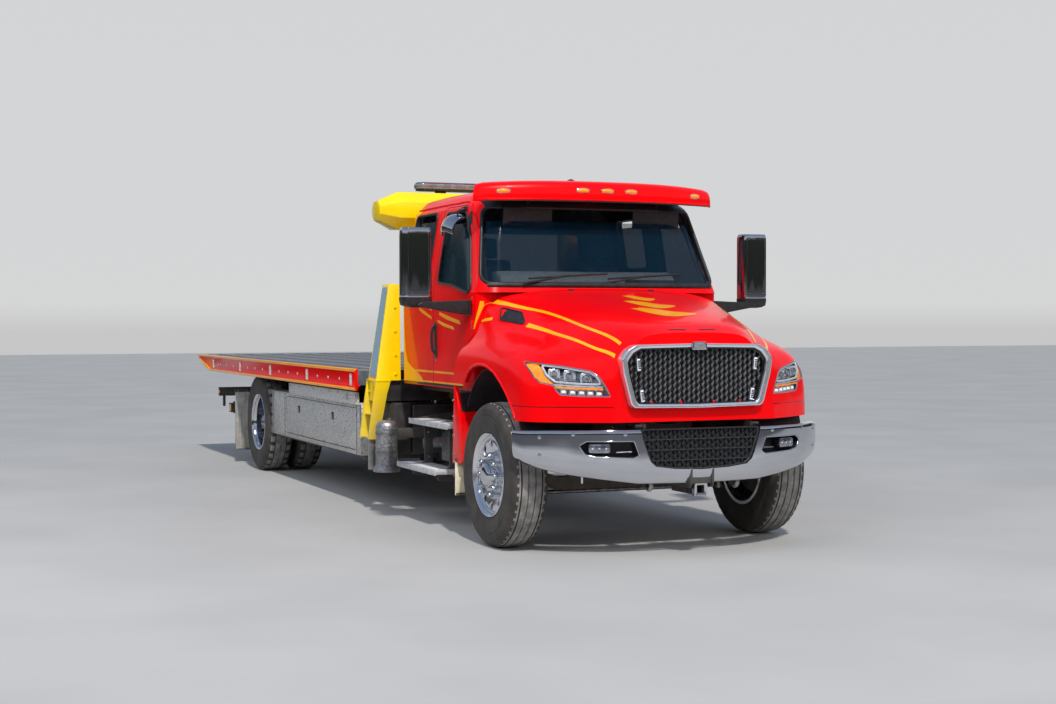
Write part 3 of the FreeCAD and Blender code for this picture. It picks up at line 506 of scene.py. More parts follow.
def smesh(name, rows, material, close_u=False, angle=40):
    """Grid surface from rows of equal length."""
    n = len(rows[0])
    v = [p for row in rows for p in row]
    f = []
    for i in range(len(rows) - 1):
        for j in range(n if close_u else n - 1):
            j2 = (j + 1) % n
            f.append((i * n + j, i * n + j2, (i + 1) * n + j2, (i + 1) * n + j))
    return obj(name, v, f, material, angle)


def crom(t, P):
    """Catmull-Rom through the rows of P (k x d array) at parameters t in 0..k-1."""
    P = np.asarray(P, float)
    k = len(P)
    Q = np.vstack([2 * P[0] - P[1], P, 2 * P[-1] - P[-2]])
    out = []
    for s in np.atleast_1d(t):
        i = min(int(s), k - 2)
        u = s - i
        p0, p1, p2, p3 = Q[i], Q[i + 1], Q[i + 2], Q[i + 3]
        out.append(0.5 * (2 * p1 + (p2 - p0) * u + (2 * p0 - 5 * p1 + 4 * p2 - p3) * u * u + (3 * p1 - p0 - 3 * p2 + p3) * u ** 3))
    return np.array(out)


def hide(*nodes):
    return nodes


def node_mat(node, m):
    o = frame["nodes"][node]
    o.data.materials.clear() if not o.material_slots else None
    for s in o.material_slots:
        s.material = m
    if not o.material_slots:
        o.data.materials.append(m)


# ------------------------------------------------------------------ tyres
def Y(y):
    """Row y of a place given from the front axle."""
    return y + FA


def tyre_obj(name, xc, yc, drive=False):
    """Tyre with circumferential grooves, shoulder blocks and a moulded sidewall. The outer face is towards +x."""
    seg = 150
    R = TR
    rows = []
    side = [(0.1175, 0.2858, 0), (0.1178, 0.2970, 0), (0.1262, 0.3015, 0), (0.1285, 0.3065, 0), (0.1262, 0.3110, 0),
            (0.1300, 0.3300, 0), (0.1345, 0.3620, 0), (0.1372, 0.3950, 0), (0.1374, 0.4100, 0), (0.1352, 0.4130, 0),
            (0.1350, 0.4200, 0), (0.1366, 0.4240, 0), (0.1352, 0.4420, 0), (0.1325, 0.4560, 0), (0.1342, 0.4600, 0),
            (0.1300, 0.4720, 1), (0.1220, 0.4850, 1), (0.1130, 0.4935, 1), (0.1060, 0.4985, 1), (0.0920, 0.5040, 1)]
    for a, r, k in side:
        rows.append((a, r, k))
    g = 0.011
    grooves = [0.076, 0.026] if not drive else [0.058, 0.0]
    crown = lambda a: R - 0.0060 * (a / 0.092) ** 2
    pts = []
    edges = sorted(grooves + [-x for x in grooves if x > 0], reverse=True)
    for c in edges:
        w = 0.0052
        pts += [(c + w, crown(c + w), 2 if drive else 0), (c + w * 0.6, crown(c) - g, 0), (c - w * 0.6, crown(c) - g, 0),
                (c - w, crown(c - w), 2 if drive else 0)]
    rows += pts
    rows += [(-a, r, k) for a, r, k in reversed(side)]
    v, f = [], []
    n = len(rows)
    for j in range(seg):
        t = 2 * pi * j / seg
        notch = (j % 5 == 0) if drive else (j % 3 == 0)
        for a, r, k in rows:
            rr = r
            if k == 1 and notch:
                rr = r - (0.010 if drive else 0.0035) * (1 if abs(a) < 0.128 else 0.4)
            if k == 2 and notch:
                rr = r - 0.009
            v.append((xc + a, yc + rr * cos(t), AZ + rr * sin(t)))
    for j in range(seg):
        j2 = (j + 1) % seg
        for i in range(n - 1):
            f.append((j * n + i, j * n + i + 1, j2 * n + i + 1, j2 * n + i))
        f.append((j * n + n - 1, j * n, j2 * n, j2 * n + n - 1))
    o = obj(name, v, f, TYRE, 28)
    o.data.materials.append(TREAD)
    for q in o.data.polygons:
        rr = [math.hypot(o.data.vertices[k].co.y - yc, o.data.vertices[k].co.z - AZ) for k in q.vertices]
        if min(rr) > .4975:
            q.material_index = 1
    return o


def lug(xc, yc, r, k, a0, a1, rad_=0.0165):
    t = 2 * pi * k / 10
    prof = [(a0, 0.0215), (a0 + 0.003, 0.0215), (a0 + 0.006, rad_ + 0.001), (a1 - 0.010, rad_ * 0.92), (a1 - 0.004, rad_ * 0.72), (a1, 0)]
    return lathe("lug", prof, (xc, yc + r * cos(t), AZ + r * sin(t)), CHROME, "x", 18)


def holes(o, xc, yc, r, rh, a0, a1, slot=1.0):
    for k in range(10):
        t = 2 * pi * k / 10 + pi / 10
        c = lathe("hole", [(a0, 0), (a0, rh), (a1, rh), (a1, 0)], (0, 0, 0), POLISH, "x", 26)
        c.data.transform(Matrix.Diagonal((1, 1, slot, 1)))
        c.data.transform(Matrix.Rotation(t, 4, "X"))
        c.data.transform(Matrix.Translation((xc, yc + r * cos(t), AZ + r * sin(t))))
        boolean(o, c)
    return o


def front_wheel():
    x = TX
    c = (x, FA, AZ)
    prof = [(-0.127, 0.272), (-0.127, 0.2955), (-0.119, 0.2955), (-0.116, 0.285), (-0.06, 0.280), (0.06, 0.280), (0.116, 0.285),
            (0.119, 0.2955), (0.124, 0.2965), (0.1275, 0.294), (0.1275, 0.289), (0.122, 0.2835), (0.116, 0.2760), (0.108, 0.2700),
            (0.098, 0.2665), (0.094, 0.2600), (0.0975, 0.2520), (0.1010, 0.2400), (0.1000, 0.2200), (0.0955, 0.1980),
            (0.0900, 0.1820), (0.0880, 0.1740), (0.0880, 0.1100), (0.062, 0.1100), (0.062, 0.182), (0.074, 0.235), (0.080, 0.262),
            (0.05, 0.268), (-0.10, 0.268)]
    w = lathe("wheel", prof, c, DISCM, "x", 96, 30, close=True)
    holes(w, x, FA, 0.2215, 0.0245, 0.05, 0.125, 1.12)
    parts = [w, lathe("backing", [(0.034, 0.165), (0.040, 0.165), (0.054, 0.245), (0.058, 0.2620), (0.050, 0.2620), (0.046, 0.245)], c, BLACKM, "x", 64, 30, close=True)]
    # hub cover, domed, with a stepped skirt
    parts.append(lathe("hubcap", [(0.080, 0.1130), (0.0910, 0.1130), (0.0935, 0.1105), (0.0940, 0.1000), (0.0980, 0.0950), (0.1280, 0.0900),
                                  (0.1340, 0.0870), (0.1360, 0.0800), (0.1440, 0.0770), (0.1560, 0.0680), (0.1610, 0.0540),
                                  (0.1640, 0.0300), (0.1650, 0)], c, CHROME, "x", 48, 40))
    for k in range(10):
        parts.append(lug(x, FA, 0.1430, k, 0.086, 0.148))
        t = 2 * pi * k / 10 + 0.3
    parts.append(lathe("drum", [(-0.028, 0.060), (-0.028, 0.196), (-0.026, 0.207), (0.052, 0.207), (0.062, 0.196), (0.062, 0.06)], c, IRON, "x", 48))
    # valve stem
    parts.append(tube("valve", [(x + 0.094, FA + 0.245, AZ + 0.03), (x + 0.112, FA + 0.238, AZ + 0.03), (x + 0.122, FA + 0.232, AZ + 0.03)],
                      0.0035, CHROME, 8))
    o = join(parts, "visual_wheel_front")
    return o


def rear_wheel():
    xi, xo = 0.758, 1.087
    xm = (xi + xo) / 2
    y = RA
    parts = []
    for xc, s in ((xi, -1), (xo, 1)):
        prof = [(-0.127 * s, 0.272), (-0.127 * s, 0.2955), (-0.119 * s, 0.2955), (-0.116 * s, 0.285), (0.116 * s, 0.285),
                (0.119 * s, 0.2955), (0.124 * s, 0.2965), (0.1275 * s, 0.294), (0.1275 * s, 0.289), (0.122 * s, 0.2835),
                (0.112 * s, 0.2755), (0.085 * s, 0.2725), (0.080 * s, 0.2690), (0.02 * s, 0.2685), (-0.06 * s, 0.2660), (-0.12 * s, 0.2660)]
        parts.append(lathe("rim", prof, (xc, y, AZ), POLISH, "x", 96, 30, close=True))
    disc = lathe("disc", [(0.010, 0.1000), (0.010, 0.1760), (0.014, 0.1860), (0.027, 0.2150), (0.036, 0.2450), (0.039, 0.2690),
                          (-0.039, 0.2690), (-0.036, 0.2450), (-0.010, 0.1760), (-0.010, 0.1000)], (xm, y, AZ), POLISH, "x", 96, 30, close=True)
    holes(disc, xm, y, 0.2215, 0.0250, -0.06, 0.06, 1.1)
    parts.append(disc)
    parts.append(lathe("hub", [(0.006, 0.1180), (0.0160, 0.1180), (0.0190, 0.1150), (0.0200, 0.1050), (0.0620, 0.1000), (0.0640, 0.0860),
                               (0.1020, 0.0820), (0.1240, 0.0740), (0.1300, 0.0600), (0.1340, 0.0300), (0.1350, 0)],
                       (xm, y, AZ), CHROME, "x", 48, 40))
    for k in range(10):
        parts.append(lug(xm, y, 0.1430, k, 0.008, 0.074))
    parts.append(lathe("drum", [(-0.190, 0.10), (-0.190, 0.196), (-0.188, 0.207), (-0.012, 0.207), (-0.008, 0.196), (-0.008, 0.10)],
                       (xm, y, AZ), IRON, "x", 48))
    return join(parts, "visual_wheels_rear")


tf = tyre_obj("visual_tyre_front", TX, FA)
a, b = both(tf, "wheel_front_left", "wheel_front_right", "visual_tyre_front")
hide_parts("tyre_front_left"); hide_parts("tyre_front_right")
tr = join([tyre_obj("t1", 0.758, RA, True), tyre_obj("t2", 1.087, RA, True)], "visual_tyres_rear")
a, b = both(tr, "wheels_rear_left", "wheels_rear_right", "visual_tyres_rear")
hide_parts("tyres_rear_left"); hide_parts("tyres_rear_right")
a, b = both(front_wheel(), "wheel_front_left", "wheel_front_right", "visual_wheel_front")
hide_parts("wheel_front_left"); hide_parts("wheel_front_right")
a, b = both(rear_wheel(), "wheels_rear_left", "wheels_rear_right", "visual_wheels_rear")
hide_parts("wheels_rear_left"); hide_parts("wheels_rear_right")

# ------------------------------------------------------------------ finish of the CAD nodes that stay
for n_, m_ in (("frame_rails", BLACKM), ("front_axle", IRON), ("rear_axle", IRON), ("leaf_springs", IRON), ("drive_shaft", STEEL),
               ("engine_block", IRON), ("cab_shell", RED), ("windshield", GLASSD), ("cab_windows", GLASSD), ("sun_visor", RED),
               ("dashboard", VINYL), ("steering_wheel", BLACKP), ("seats", FABRIC), ("bumper", CHROME), ("bumper_grille", BLACKP),
               ("splash_panels", RED), ("cab_steps", ALU2), ("fuel_tank", POLISH), ("exhaust_canister", ALU2),
               ("hydraulic_tank", BLACKM), ("pylon", YELLOW), ("light_bar", CHROME), ("toolboxes", ALU), ("mudflaps", FLAP),
               ("rear_light_bar", BLACKM), ("hood", RED), ("headlights", LENS), ("grille_surround", CHROME), ("grille_mesh", BLACKP),
               ("door_left", RED), ("door_right", RED), ("door_glass_left", GLASS), ("door_glass_right", GLASS), ("mirror_left", CHROME),
               ("mirror_right", CHROME), ("knuckle_left", IRON), ("knuckle_right", IRON), ("tie_rod", STEEL),
               ("toolbox_door_left", ALU), ("toolbox_door_right", ALU), ("tilt_subframe", BLACKM), ("tilt_cylinder_barrels", BLACKM),
               ("tilt_cylinder_rods", RODC), ("deck", DECKM), ("deck_side_rails", RED), ("winch", BLACKM), ("lift_boom", BLACKM),
               ("lift_crossbar", BLACKM), ("lift_cylinder_barrel", BLACKM), ("lift_cylinder_rod", RODC)):
    node_mat(n_, m_)

# ------------------------------------------------------------------ hood with fenders
# cross sections: y from the front axle, then (x, z) from the centre line outward and down the fender side
HOOD = [(0.740, [(0, 1.860), (.430, 1.852), (.800, 1.815), (.935, 1.740), (.985, 1.620), (1.035, 1.440), (1.105, 1.360), (1.130, 1.240), (1.130, .900)]),
        (0.430, [(0, 1.826), (.430, 1.817), (.790, 1.775), (.920, 1.700), (.975, 1.590), (1.035, 1.465), (1.105, 1.380), (1.135, 1.250), (1.135, .900)]),
        (0.100, [(0, 1.762), (.420, 1.752), (.735, 1.695), (.870, 1.610), (.940, 1.530), (1.020, 1.465), (1.100, 1.380), (1.135, 1.250), (1.135, .900)]),
        (-.300, [(0, 1.685), (.400, 1.672), (.670, 1.600), (.800, 1.520), (.900, 1.462), (1.000, 1.415), (1.088, 1.335), (1.125, 1.210), (1.130, .900)]),
        (-.600, [(0, 1.620), (.390, 1.605), (.600, 1.525), (.740, 1.445), (.860, 1.395), (.960, 1.335), (1.035, 1.240), (1.065, 1.120), (1.075, .900)]),
        (-.790, [(0, 1.570), (.370, 1.555), (.530, 1.468), (.640, 1.395), (.720, 1.340), (.780, 1.270), (.815, 1.180), (.830, 1.080), (.840, .900)]),
        (-.925, [(0, 1.512), (.340, 1.495), (.470, 1.410), (.540, 1.340), (.570, 1.270), (.585, 1.190), (.592, 1.110), (.600, 1.020), (.610, .900)])]
HOOD_BACK = [(.434, 2.05), (.434, 1.79), (.505, 1.70), (.520, 1.60), (.535, 1.50), (.640, 1.385), (.690, 1.30), (.718, 1.22),
             (.730, 1.14), (.730, .80), (1.20, .80), (1.20, 2.05)]
ARCH = [(-.470, .60), (-.455, .855), (-.405, .965), (-.300, 1.085), (-.195, 1.165), (-.080, 1.225), (.060, 1.262), (.195, 1.272), (.310, 1.255), (.400, 1.215),
        (.470, 1.145), (.520, 1.060), (.545, .90), (.545, .60)]
GRILLE = [(0, 1.440), (.470, 1.432), (.528, 1.400), (.573, 1.340), (.560, 1.240), (.505, 1.035), (.480, 1.012), (0, 1.004)]
LAMP = [(1.085, 1.318), (.980, 1.322), (.700, 1.262), (.604, 1.075), (.800, 1.085), (.880, 1.135), (1.000, 1.165), (1.075, 1.230)]


LAMP2_ = [(1.066, 1.327), (.997, 1.309), (.895, 1.295), (.734, 1.262), (.691, 1.232), (.648, 1.156), (.618, 1.086), (.783, 1.086),
          (.912, 1.095), (.937, 1.123), (.952, 1.160), (1.022, 1.176), (1.051, 1.213), (1.064, 1.280)]


def sym2(p):
    return list(p) + [(-a, b) for a, b in reversed(p) if abs(a) > 1e-6]


def hood_grid(t=0.0, ny=56, nx=40, nose=0.012):
    """Half grid of the hood's skin as an array [row][col] of (x, y, z); t is not used."""
    k = len(HOOD)
    P = np.array([[(x, y, z) for x, z in sec] for y, sec in HOOD])       # k x 9 x 3
    rows = crom(np.linspace(0, k - 1, ny), P.reshape(k, -1)).reshape(ny, 9, 3)
    grid = []
    for r in rows:
        # the side view stays monotonic and the flank below the bulge is straight
        m = r.copy()
        m0 = m[1] * np.array([-1, 1, 1])
        q = np.vstack([m0, m])
        pts = crom(np.linspace(1, 9, nx), q)
        pts[0][0] = 0.0
        pts[:, 0] = np.maximum(pts[:, 0], 0)
        grid.append(pts)
    return np.array(grid)


def hood_skin(t, back, nose):
    """Closed solid below the hood's skin; t insets it."""
    g = hood_grid()
    ny, nx = g.shape[:2]
    # normals by finite difference for the inset
    if t:
        du = np.gradient(g, axis=0)
        dv = np.gradient(g, axis=1)
        nrm = np.cross(dv, du)
        nrm /= np.linalg.norm(nrm, axis=2, keepdims=True) + 1e-9
        s = np.sign(nrm[..., 2:3])
        c = g[ny // 2, nx // 2]
        if nrm[ny // 2, nx // 4][2] < 0:
            nrm = -nrm
        nrm[:, 0, 0] = 0
        g = g - nrm * t
        g[:, 0, 0] = 0
        g[..., 0] = np.maximum(g[..., 0], 0)
        g[0, :, 1] += back
        g[-1, :, 1] += nose
    # full width rows: right side mirrored
    v, f = [], []
    W = 2 * nx - 1
    for i in range(ny):
        row = [(-p[0], p[1], p[2]) for p in g[i][::-1]] + [tuple(p) for p in g[i][1:]]
        v += row
    for i in range(ny - 1):
        for j in range(W - 1):
            f.append((i * W + j, i * W + j + 1, (i + 1) * W + j + 1, (i + 1) * W + j))
    f.append([j for j in range(W)][::-1])
    f.append([(ny - 1) * W + j for j in range(W)])
    # closed underneath along the flanks' lower edges
    f.append([i * W for i in range(ny)] + [i * W + W - 1 for i in range(ny - 1, -1, -1)])
    v = [(x, Y(y), z) for x, y, z in v]
    return v, f


def hood_cut(o):
    for pts, a0, a1 in ((HOOD_BACK, -1.4, 1.4), (ARCH, -1.4, 1.4)):
        boolean(o, prism("cut", [(Y(y), z) for y, z in pts], "x", a0, a1, RED))
    boolean(o, bx("cut", -1.028, 1.028, Y(.552), Y(.95), .80, 1.852, RED, 0))
    boolean(o, bx("cut", -1.4, 1.4, Y(-2), Y(2), 0, .915, RED, 0))
    boolean(o, bx("cut", -1.4, 1.4, Y(.3), Y(2), 0, 1.14, RED, 0))
    g = [(x * 0.93, 1.225 + (z - 1.225) * 0.93) for x, z in GRILLE]
    boolean(o, prism("cut", rounded(sym2(g), .045), "y", Y(-1.2), Y(-.7), RED))
    lp = rounded(LAMP2_, .012, 3)
    for s in (1, -1):
        boolean(o, prism("cut", [(s * x, z) for x, z in lp], "y", Y(-1.1), Y(-.48), RED))
    return o


def build_hood():
    v, f = hood_skin(0, 0, 0)
    o = obj("visual_hood", v, f, RED, 30)
    v, f = hood_skin(0.030, 0.08, 0.028)
    # lower the inner solid so it is open underneath
    inner = obj("inner", v, f, RED, 30)
    for q in inner.data.vertices:
        if q.co.z < 0.96:
            q.co.z = 0.80
    boolean(o, inner)
    hood_cut(o)
    bpy.ops.object.select_all(action="DESELECT")
    finish_mesh(o.data, 38)
    return o


hood = build_hood()
HB = BVHTree.FromObject(hood, C.evaluated_depsgraph_get())


def hit(bvh, origin, direction):
    loc, nrm, i, d = bvh.ray_cast(Vector(origin), Vector(direction).normalized())
    if loc is None:
        return None
    if nrm.dot(Vector(direction)) > 0:
        nrm = -nrm
    return loc, nrm


def densify(pts, step):
    P = [Vector(p) for p in pts]
    out = [P[0]]
    for a_, b_ in zip(P, P[1:]):
        n = max(1, int((b_ - a_).length / step))
        out += [a_ + (b_ - a_) * (k / n) for k in range(1, n + 1)]
    return out


def smooth2(pts, n=8):
    """Catmull-Rom through 2-D points."""
    P = np.array(pts, float)
    return [tuple(p) for p in crom(np.linspace(0, len(P) - 1, (len(P) - 1) * n + 1), P)]


def ribbon(name, pts, width, bvh, plane, side, material, lift=0.0012, cols=4, step=0.02, taper=0.0):
    """Painted stripe: pts in the projecting plane. plane "x": (y, z) cast along x from side; "y": (x, z) cast along +y; "z": (x, y) cast down."""
    P = densify(pts, step)
    rows = []
    n = len(P)
    for i, p in enumerate(P):
        a_ = P[max(0, i - 1)]
        b_ = P[min(n - 1, i + 1)]
        t = (b_ - a_).normalized()
        nn = Vector((-t[1], t[0]))
        w = width if not isinstance(width, (list, tuple)) else width[0] + (width[1] - width[0]) * i / (n - 1)
        row = []
        for c_ in range(cols + 1):
            q = p + nn * (c_ / cols - 0.5) * w
            if plane == "x":
                h = hit(bvh, (side * 3, Y(q[0]), q[1]), (-side, 0, 0))
            elif plane == "y":
                h = hit(bvh, (q[0], -12, q[1]), (0, 1, 0))
            else:
                h = hit(bvh, (q[0], Y(q[1]), 4), (0, 0, -1))
            row.append(h)
        rows.append(row)
    v, f, idx = [], [], {}
    for i, row in enumerate(rows):
        for j, h in enumerate(row):
            if h:
                idx[(i, j)] = len(v)
                v.append(h[0] + h[1] * lift)
    for i in range(n - 1):
        for j in range(cols):
            k4 = [(i, j), (i, j + 1), (i + 1, j + 1), (i + 1, j)]
            if all(k in idx for k in k4):
                q = [v[idx[k]] for k in k4]
                if max((q[a1] - q[b1]).length for a1 in range(4) for b1 in range(a1)) < 0.12:
                    f.append([idx[k] for k in k4])
    if not f:
        return None
    o = obj(name, v, f, material, 60)
    return o


def area_decal(name, poly, bvh, plane, side, material, lift=0.0012, step=0.02):
    """Painted area: a polygon in the projecting plane filled by a grid and projected on the surface."""
    P = [Vector(p) for p in poly]
    x0, x1 = min(p[0] for p in P), max(p[0] for p in P)
    y0, y1 = min(p[1] for p in P), max(p[1] for p in P)
    bm = bmesh.new()
    vs = [bm.verts.new((p[0], p[1], 0)) for p in P]
    bm.faces.new(vs)
    for ax, lo, hi in (((1, 0, 0), x0, x1), ((0, 1, 0), y0, y1)):
        t = lo + step
        while t < hi:
            geom = bm.verts[:] + bm.edges[:] + bm.faces[:]
            bmesh.ops.bisect_plane(bm, geom=geom, plane_co=(t, 0, 0) if ax[0] else (0, t, 0), plane_no=ax)
            t += step
    for q in bm.verts:
        a_, b_ = q.co.x, q.co.y
        if plane == "x":
            h = hit(bvh, (side * 3, Y(a_), b_), (-side, 0, 0))
        elif plane == "y":
            h = hit(bvh, (a_, -12, b_), (0, 1, 0))
        else:
            h = hit(bvh, (a_, Y(b_), 4), (0, 0, -1))
        if h:
            q.co = h[0] + h[1] * lift
        else:
            q.tag = True
    bmesh.ops.delete(bm, geom=[q for q in bm.verts if q.tag], context="VERTS")
    if not bm.faces:
        bm.free()
        return None
    return from_bm(name, bm, material, 60)


def trim_vent(s, vent):
    P = densify(rounded(vent, .018) + [rounded(vent, .018)[0]], .03)[:-1]
    pts = [hit(HB, (p[0], Y(p[1]), 4), (0, 0, -1)) for p in P]
    return tube("ventrim", [h[0] + h[1] * .003 for h in pts if h], .006, BLACKP, 8, True, False)


hood_parts = [hood]
for s in (-1, 1):
    # twin stripes running down the flank of the hood to the grille, seen in (x, y) from above
    up = smooth2([(s * .912, .560), (s * .900, .470), (s * .880, .380), (s * .832, .233), (s * .719, -.086), (s * .626, -.506), (s * .544, -.763), (s * .520, -.845)])
    hood_parts.append(ribbon("stripe", up, [0.032, 0.019], HB, "z", 1, ORANGE))
    # short thin piece ahead of the cab, laid on the flank from the side
    hood_parts.append(ribbon("stripe", [(.560, 1.588), (.519, 1.592), (.440, 1.600), (.372, 1.606)], 0.022, HB, "x", s, ORANGE))
    lo = smooth2([(s * .862, -.050), (s * .815, -.255), (s * .775, -.422), (s * .683, -.711), (s * .578, -.879)])
    hood_parts.append(ribbon("stripe", lo, [0.030, 0.016], HB, "z", 1, ORANGE))
    # side air vent: louvred black opening between the stripes
    vent = [(s * .908, .361), (s * .829, .115), (s * .850, -.040), (s * .872, -.045), (s * .938, .262)]
    vent = [(s * .905, .350), (s * .833, .120), (s * .868, -.040), (s * .938, .262)]
    hood_parts.append(area_decal("vent", rounded(vent, .018), HB, "z", 1, BLACKP, lift=0.003, step=0.03))
    hood_parts.append(trim_vent(s, vent))
# three swept blades painted on the hood's top
for b in ([(-.215, -.200), (-.120, -.285), (.020, -.320), (.240, -.285), (.085, -.262), (-.050, -.222)],
          [(-.130, -.110), (-.050, -.190), (.070, -.222), (.215, -.185), (.105, -.165), (.010, -.128)],
          [(-.040, -.020), (.020, -.092), (.100, -.118), (.185, -.085), (.120, -.070), (.060, -.040)]):
    hood_parts.append(area_decal("blade", smooth2([(p, -.20 + (q + .17) * 2.7) for p, q in b + [b[0]]], 5)[:-1], HB, "z", 1, ORANGE, lift=0.002, step=0.03))
    for k in range(7):
        u = (k + .7) / 7.6
        p0 = Vector(vent[0]).lerp(Vector(vent[3]), u)
        p1 = Vector(vent[1]).lerp(Vector(vent[2]), u)
        hood_parts.append(ribbon("louvre", [tuple(p0.lerp(p1, .06)), tuple(p0.lerp(p1, .94))], .006, HB, "z", 1, GLOSSB, lift=0.010, step=.03, cols=2))
# two narrow slots in the lip above the grille and washer nozzles
for s in (-1, 1):
    hood_parts.append(ribbon("slot", [(s * .050, -.885), (s * .180, -.880)], .014, HB, "z", 1, GLOSSB, lift=0.002, step=.03, cols=2))
    h = hit(HB, (s * .33, Y(.38), 4), (0, 0, -1))
    n_ = bx("nozzle", -.018, .018, -.014, .014, -.004, .012, BLACKP, .004)
    move(n_, h[0])
    hood_parts.append(n_)
# generic badge plate above the grille: a plain chrome lozenge
# fender lip: a rolled edge round the wheel arch
for s in (-1, 1):
    pts = []
    for y_, z_ in smooth2(ARCH[1:-1], 3):
        cy, cz = .03, .80
        d = Vector((y_ - cy, z_ - cz)).normalized() * .012
        h = hit(HB, (s * 3, Y(y_ + d[0]), z_ + d[1]), (-s, 0, 0))
        if h:
            pts.append(h[0] - Vector((s * .002, 0, 0)))
    hood_parts.append(tube("lip", pts, .009, RED, 8))
    # points round a black inner fender behind the opening; nothing is built from them
    liner = []
    for k in range(19):
        t = rad(-12 + k * 11.3)
        liner.append((0.03 + .545 * cos(t), .70 + .555 * sin(t)))
hv = join(hood_parts, "visual_hood")
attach(hv, "hood")
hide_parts("hood")

# ------------------------------------------------------------------ cab shell, doors and glass
CAB_LOW = [(1.070, [(0, .560), (.700, .560), (.960, .565), (1.005, .600), (1.020, .760), (1.020, 2.225), (.965, 2.268), (0, 2.268)]),
           (1.800, [(0, .560), (.700, .560), (.960, .565), (1.005, .600), (1.020, .760), (1.020, 2.240), (.965, 2.285), (0, 2.285)])]
CAB_TOP = [(1.800, [(0, .440), (.500, .452), (.900, .500), (1.000, .565), (1.020, .760), (1.020, 2.240), (.965, 2.285), (0, 2.285)]),
           (2.460, [(0, .690), (.480, .705), (.800, .760), (.885, .850), (.915, 1.000), (.920, 2.200), (.865, 2.255), (0, 2.255)]),
           (2.560, [(0, .780), (.450, .795), (.720, .850), (.800, .930), (.830, 1.050), (.835, 2.150), (.790, 2.200), (0, 2.200)]),
           (2.600, [(0, .900), (.400, .910), (.600, .950), (.670, 1.010), (.700, 1.100), (.705, 2.080), (.670, 2.130), (0, 2.130)])]
DOOR = [(.805, 1.100), (1.480, 1.100), (1.480, 2.470), (.990, 2.470), (.800, 2.235), (.622, 1.880), (.622, 1.500), (.700, 1.440), (.805, 1.340)]
DOOR_R = [.03, .05, .06, .08, .25, .12, .05, .06, .10]
DOOR_WINDOW = [(.672, 1.790), (1.060, 1.862), (1.400, 1.890), (1.400, 2.425), (1.010, 2.425), (.860, 2.235)]
QUARTER = [(1.640, 2.030), (2.120, 2.030), (2.120, 2.440), (1.640, 2.440)]


def half_round(sec, t=0.0, n=5):
    """Closed plan outline with rounded corners from a half section, inset by t. Always the same number of points."""
    mid = (min(p[1] for p in sec) + max(p[1] for p in sec)) / 2
    s = [(max(x - t, 0) if x > 0 else 0, y + t if y < mid else y - t) for x, y in sec]
    full = s + [(-a, b) for a, b in reversed(s) if abs(a) > 1e-6]
    out = []
    m = len(full)
    for i in range(m):
        p0, p1, p2 = Vector(full[i - 1]), Vector(full[i]), Vector(full[(i + 1) % m])
        a, b = p0 - p1, p2 - p1
        d = min(0.075, a.length * 0.46, b.length * 0.46)
        a.normalize(); b.normalize()
        for k in range(n + 1):
            u = k / n
            out.append(tuple((1 - u) ** 2 * (p1 + a * d) + 2 * u * (1 - u) * p1 + u * u * (p1 + b * d)))
    return out


def cab_sections(table, zs, t=0.0, smooth=False):
    """Rows of points at the heights zs, interpolated between the table's sections."""
    Z = [z for z, _ in table]
    S = [np.array([p for p in sec]) for _, sec in table]
    rows = []
    for z in zs:
        zc = min(max(z, Z[0]), Z[-1])
        i = max(j for j in range(len(Z)) if Z[j] <= zc + 1e-9)
        i = min(i, len(Z) - 2)
        u = (zc - Z[i]) / (Z[i + 1] - Z[i])
        if smooth and i >= 1:
            P = np.array([s.flatten() for s in S])
            q = crom([i + u], P)[0].reshape(-1, 2)
            lin = (S[i] * (1 - u) + S[i + 1] * u)
            q = 0.5 * q + 0.5 * lin
        else:
            q = S[i] * (1 - u) + S[i + 1] * u
        rows.append((z, half_round([tuple(p) for p in q], t)))
    return rows


def loft_rows(name, rows, material):
    v, f = [], []
    n = len(rows[0][1])
    for z, r in rows:
        v += [(x, Y(y), z) for x, y in r]
    for i in range(len(rows) - 1):
        for j in range(n):
            f.append((i * n + j, i * n + (j + 1) % n, (i + 1) * n + (j + 1) % n, (i + 1) * n + j))
    f.append(list(range(n))[::-1])
    f.append([(len(rows) - 1) * n + j for j in range(n)])
    o = obj(name, v, f, material, 34)
    bm = bmesh.new()
    bm.from_mesh(o.data)
    bmesh.ops.remove_doubles(bm, verts=bm.verts, dist=1e-5)
    bm.to_mesh(o.data)
    bm.free()
    return o


LOWZ = [1.070, 1.076, 1.090, 1.30, 1.50, 1.70, 1.800]
TOPZ = [1.800, 1.95, 2.10, 2.25, 2.40, 2.44, 2.46, 2.485, 2.51, 2.535, 2.555, 2.57, 2.583, 2.592, 2.598, 2.600]


def cab_solid(t=0.0):
    low = loft_rows("low", cab_sections(CAB_LOW, LOWZ if not t else [1.13, 1.5, 1.801], t), RED)
    top = loft_rows("top", cab_sections(CAB_TOP, TOPZ if not t else [1.799, 2.1, 2.40, 2.46, 2.51, 2.545], t, smooth=True), RED)
    if not t:
        for q in low.data.vertices:
            if q.co.z < 1.071:
                q.co.x *= 0.992
    return boolean(low, top, "UNION")


outer = cab_solid()
inner = cab_solid(0.050)
inner.data.materials[0] = VINYL
shell = boolean(outer, inner)
full_shell = copy(shell)
CB = BVHTree.FromObject(full_shell, C.evaluated_depsgraph_get())


def px(pts, x0=.60, x1=1.2, s=1, r=0.0, m=RED):
    p = [(Y(y), z) for y, z in (rounded(pts, r, 6) if r else pts)]
    return prism("cut", p, "x", min(s * x0, s * x1), max(s * x0, s * x1), m)


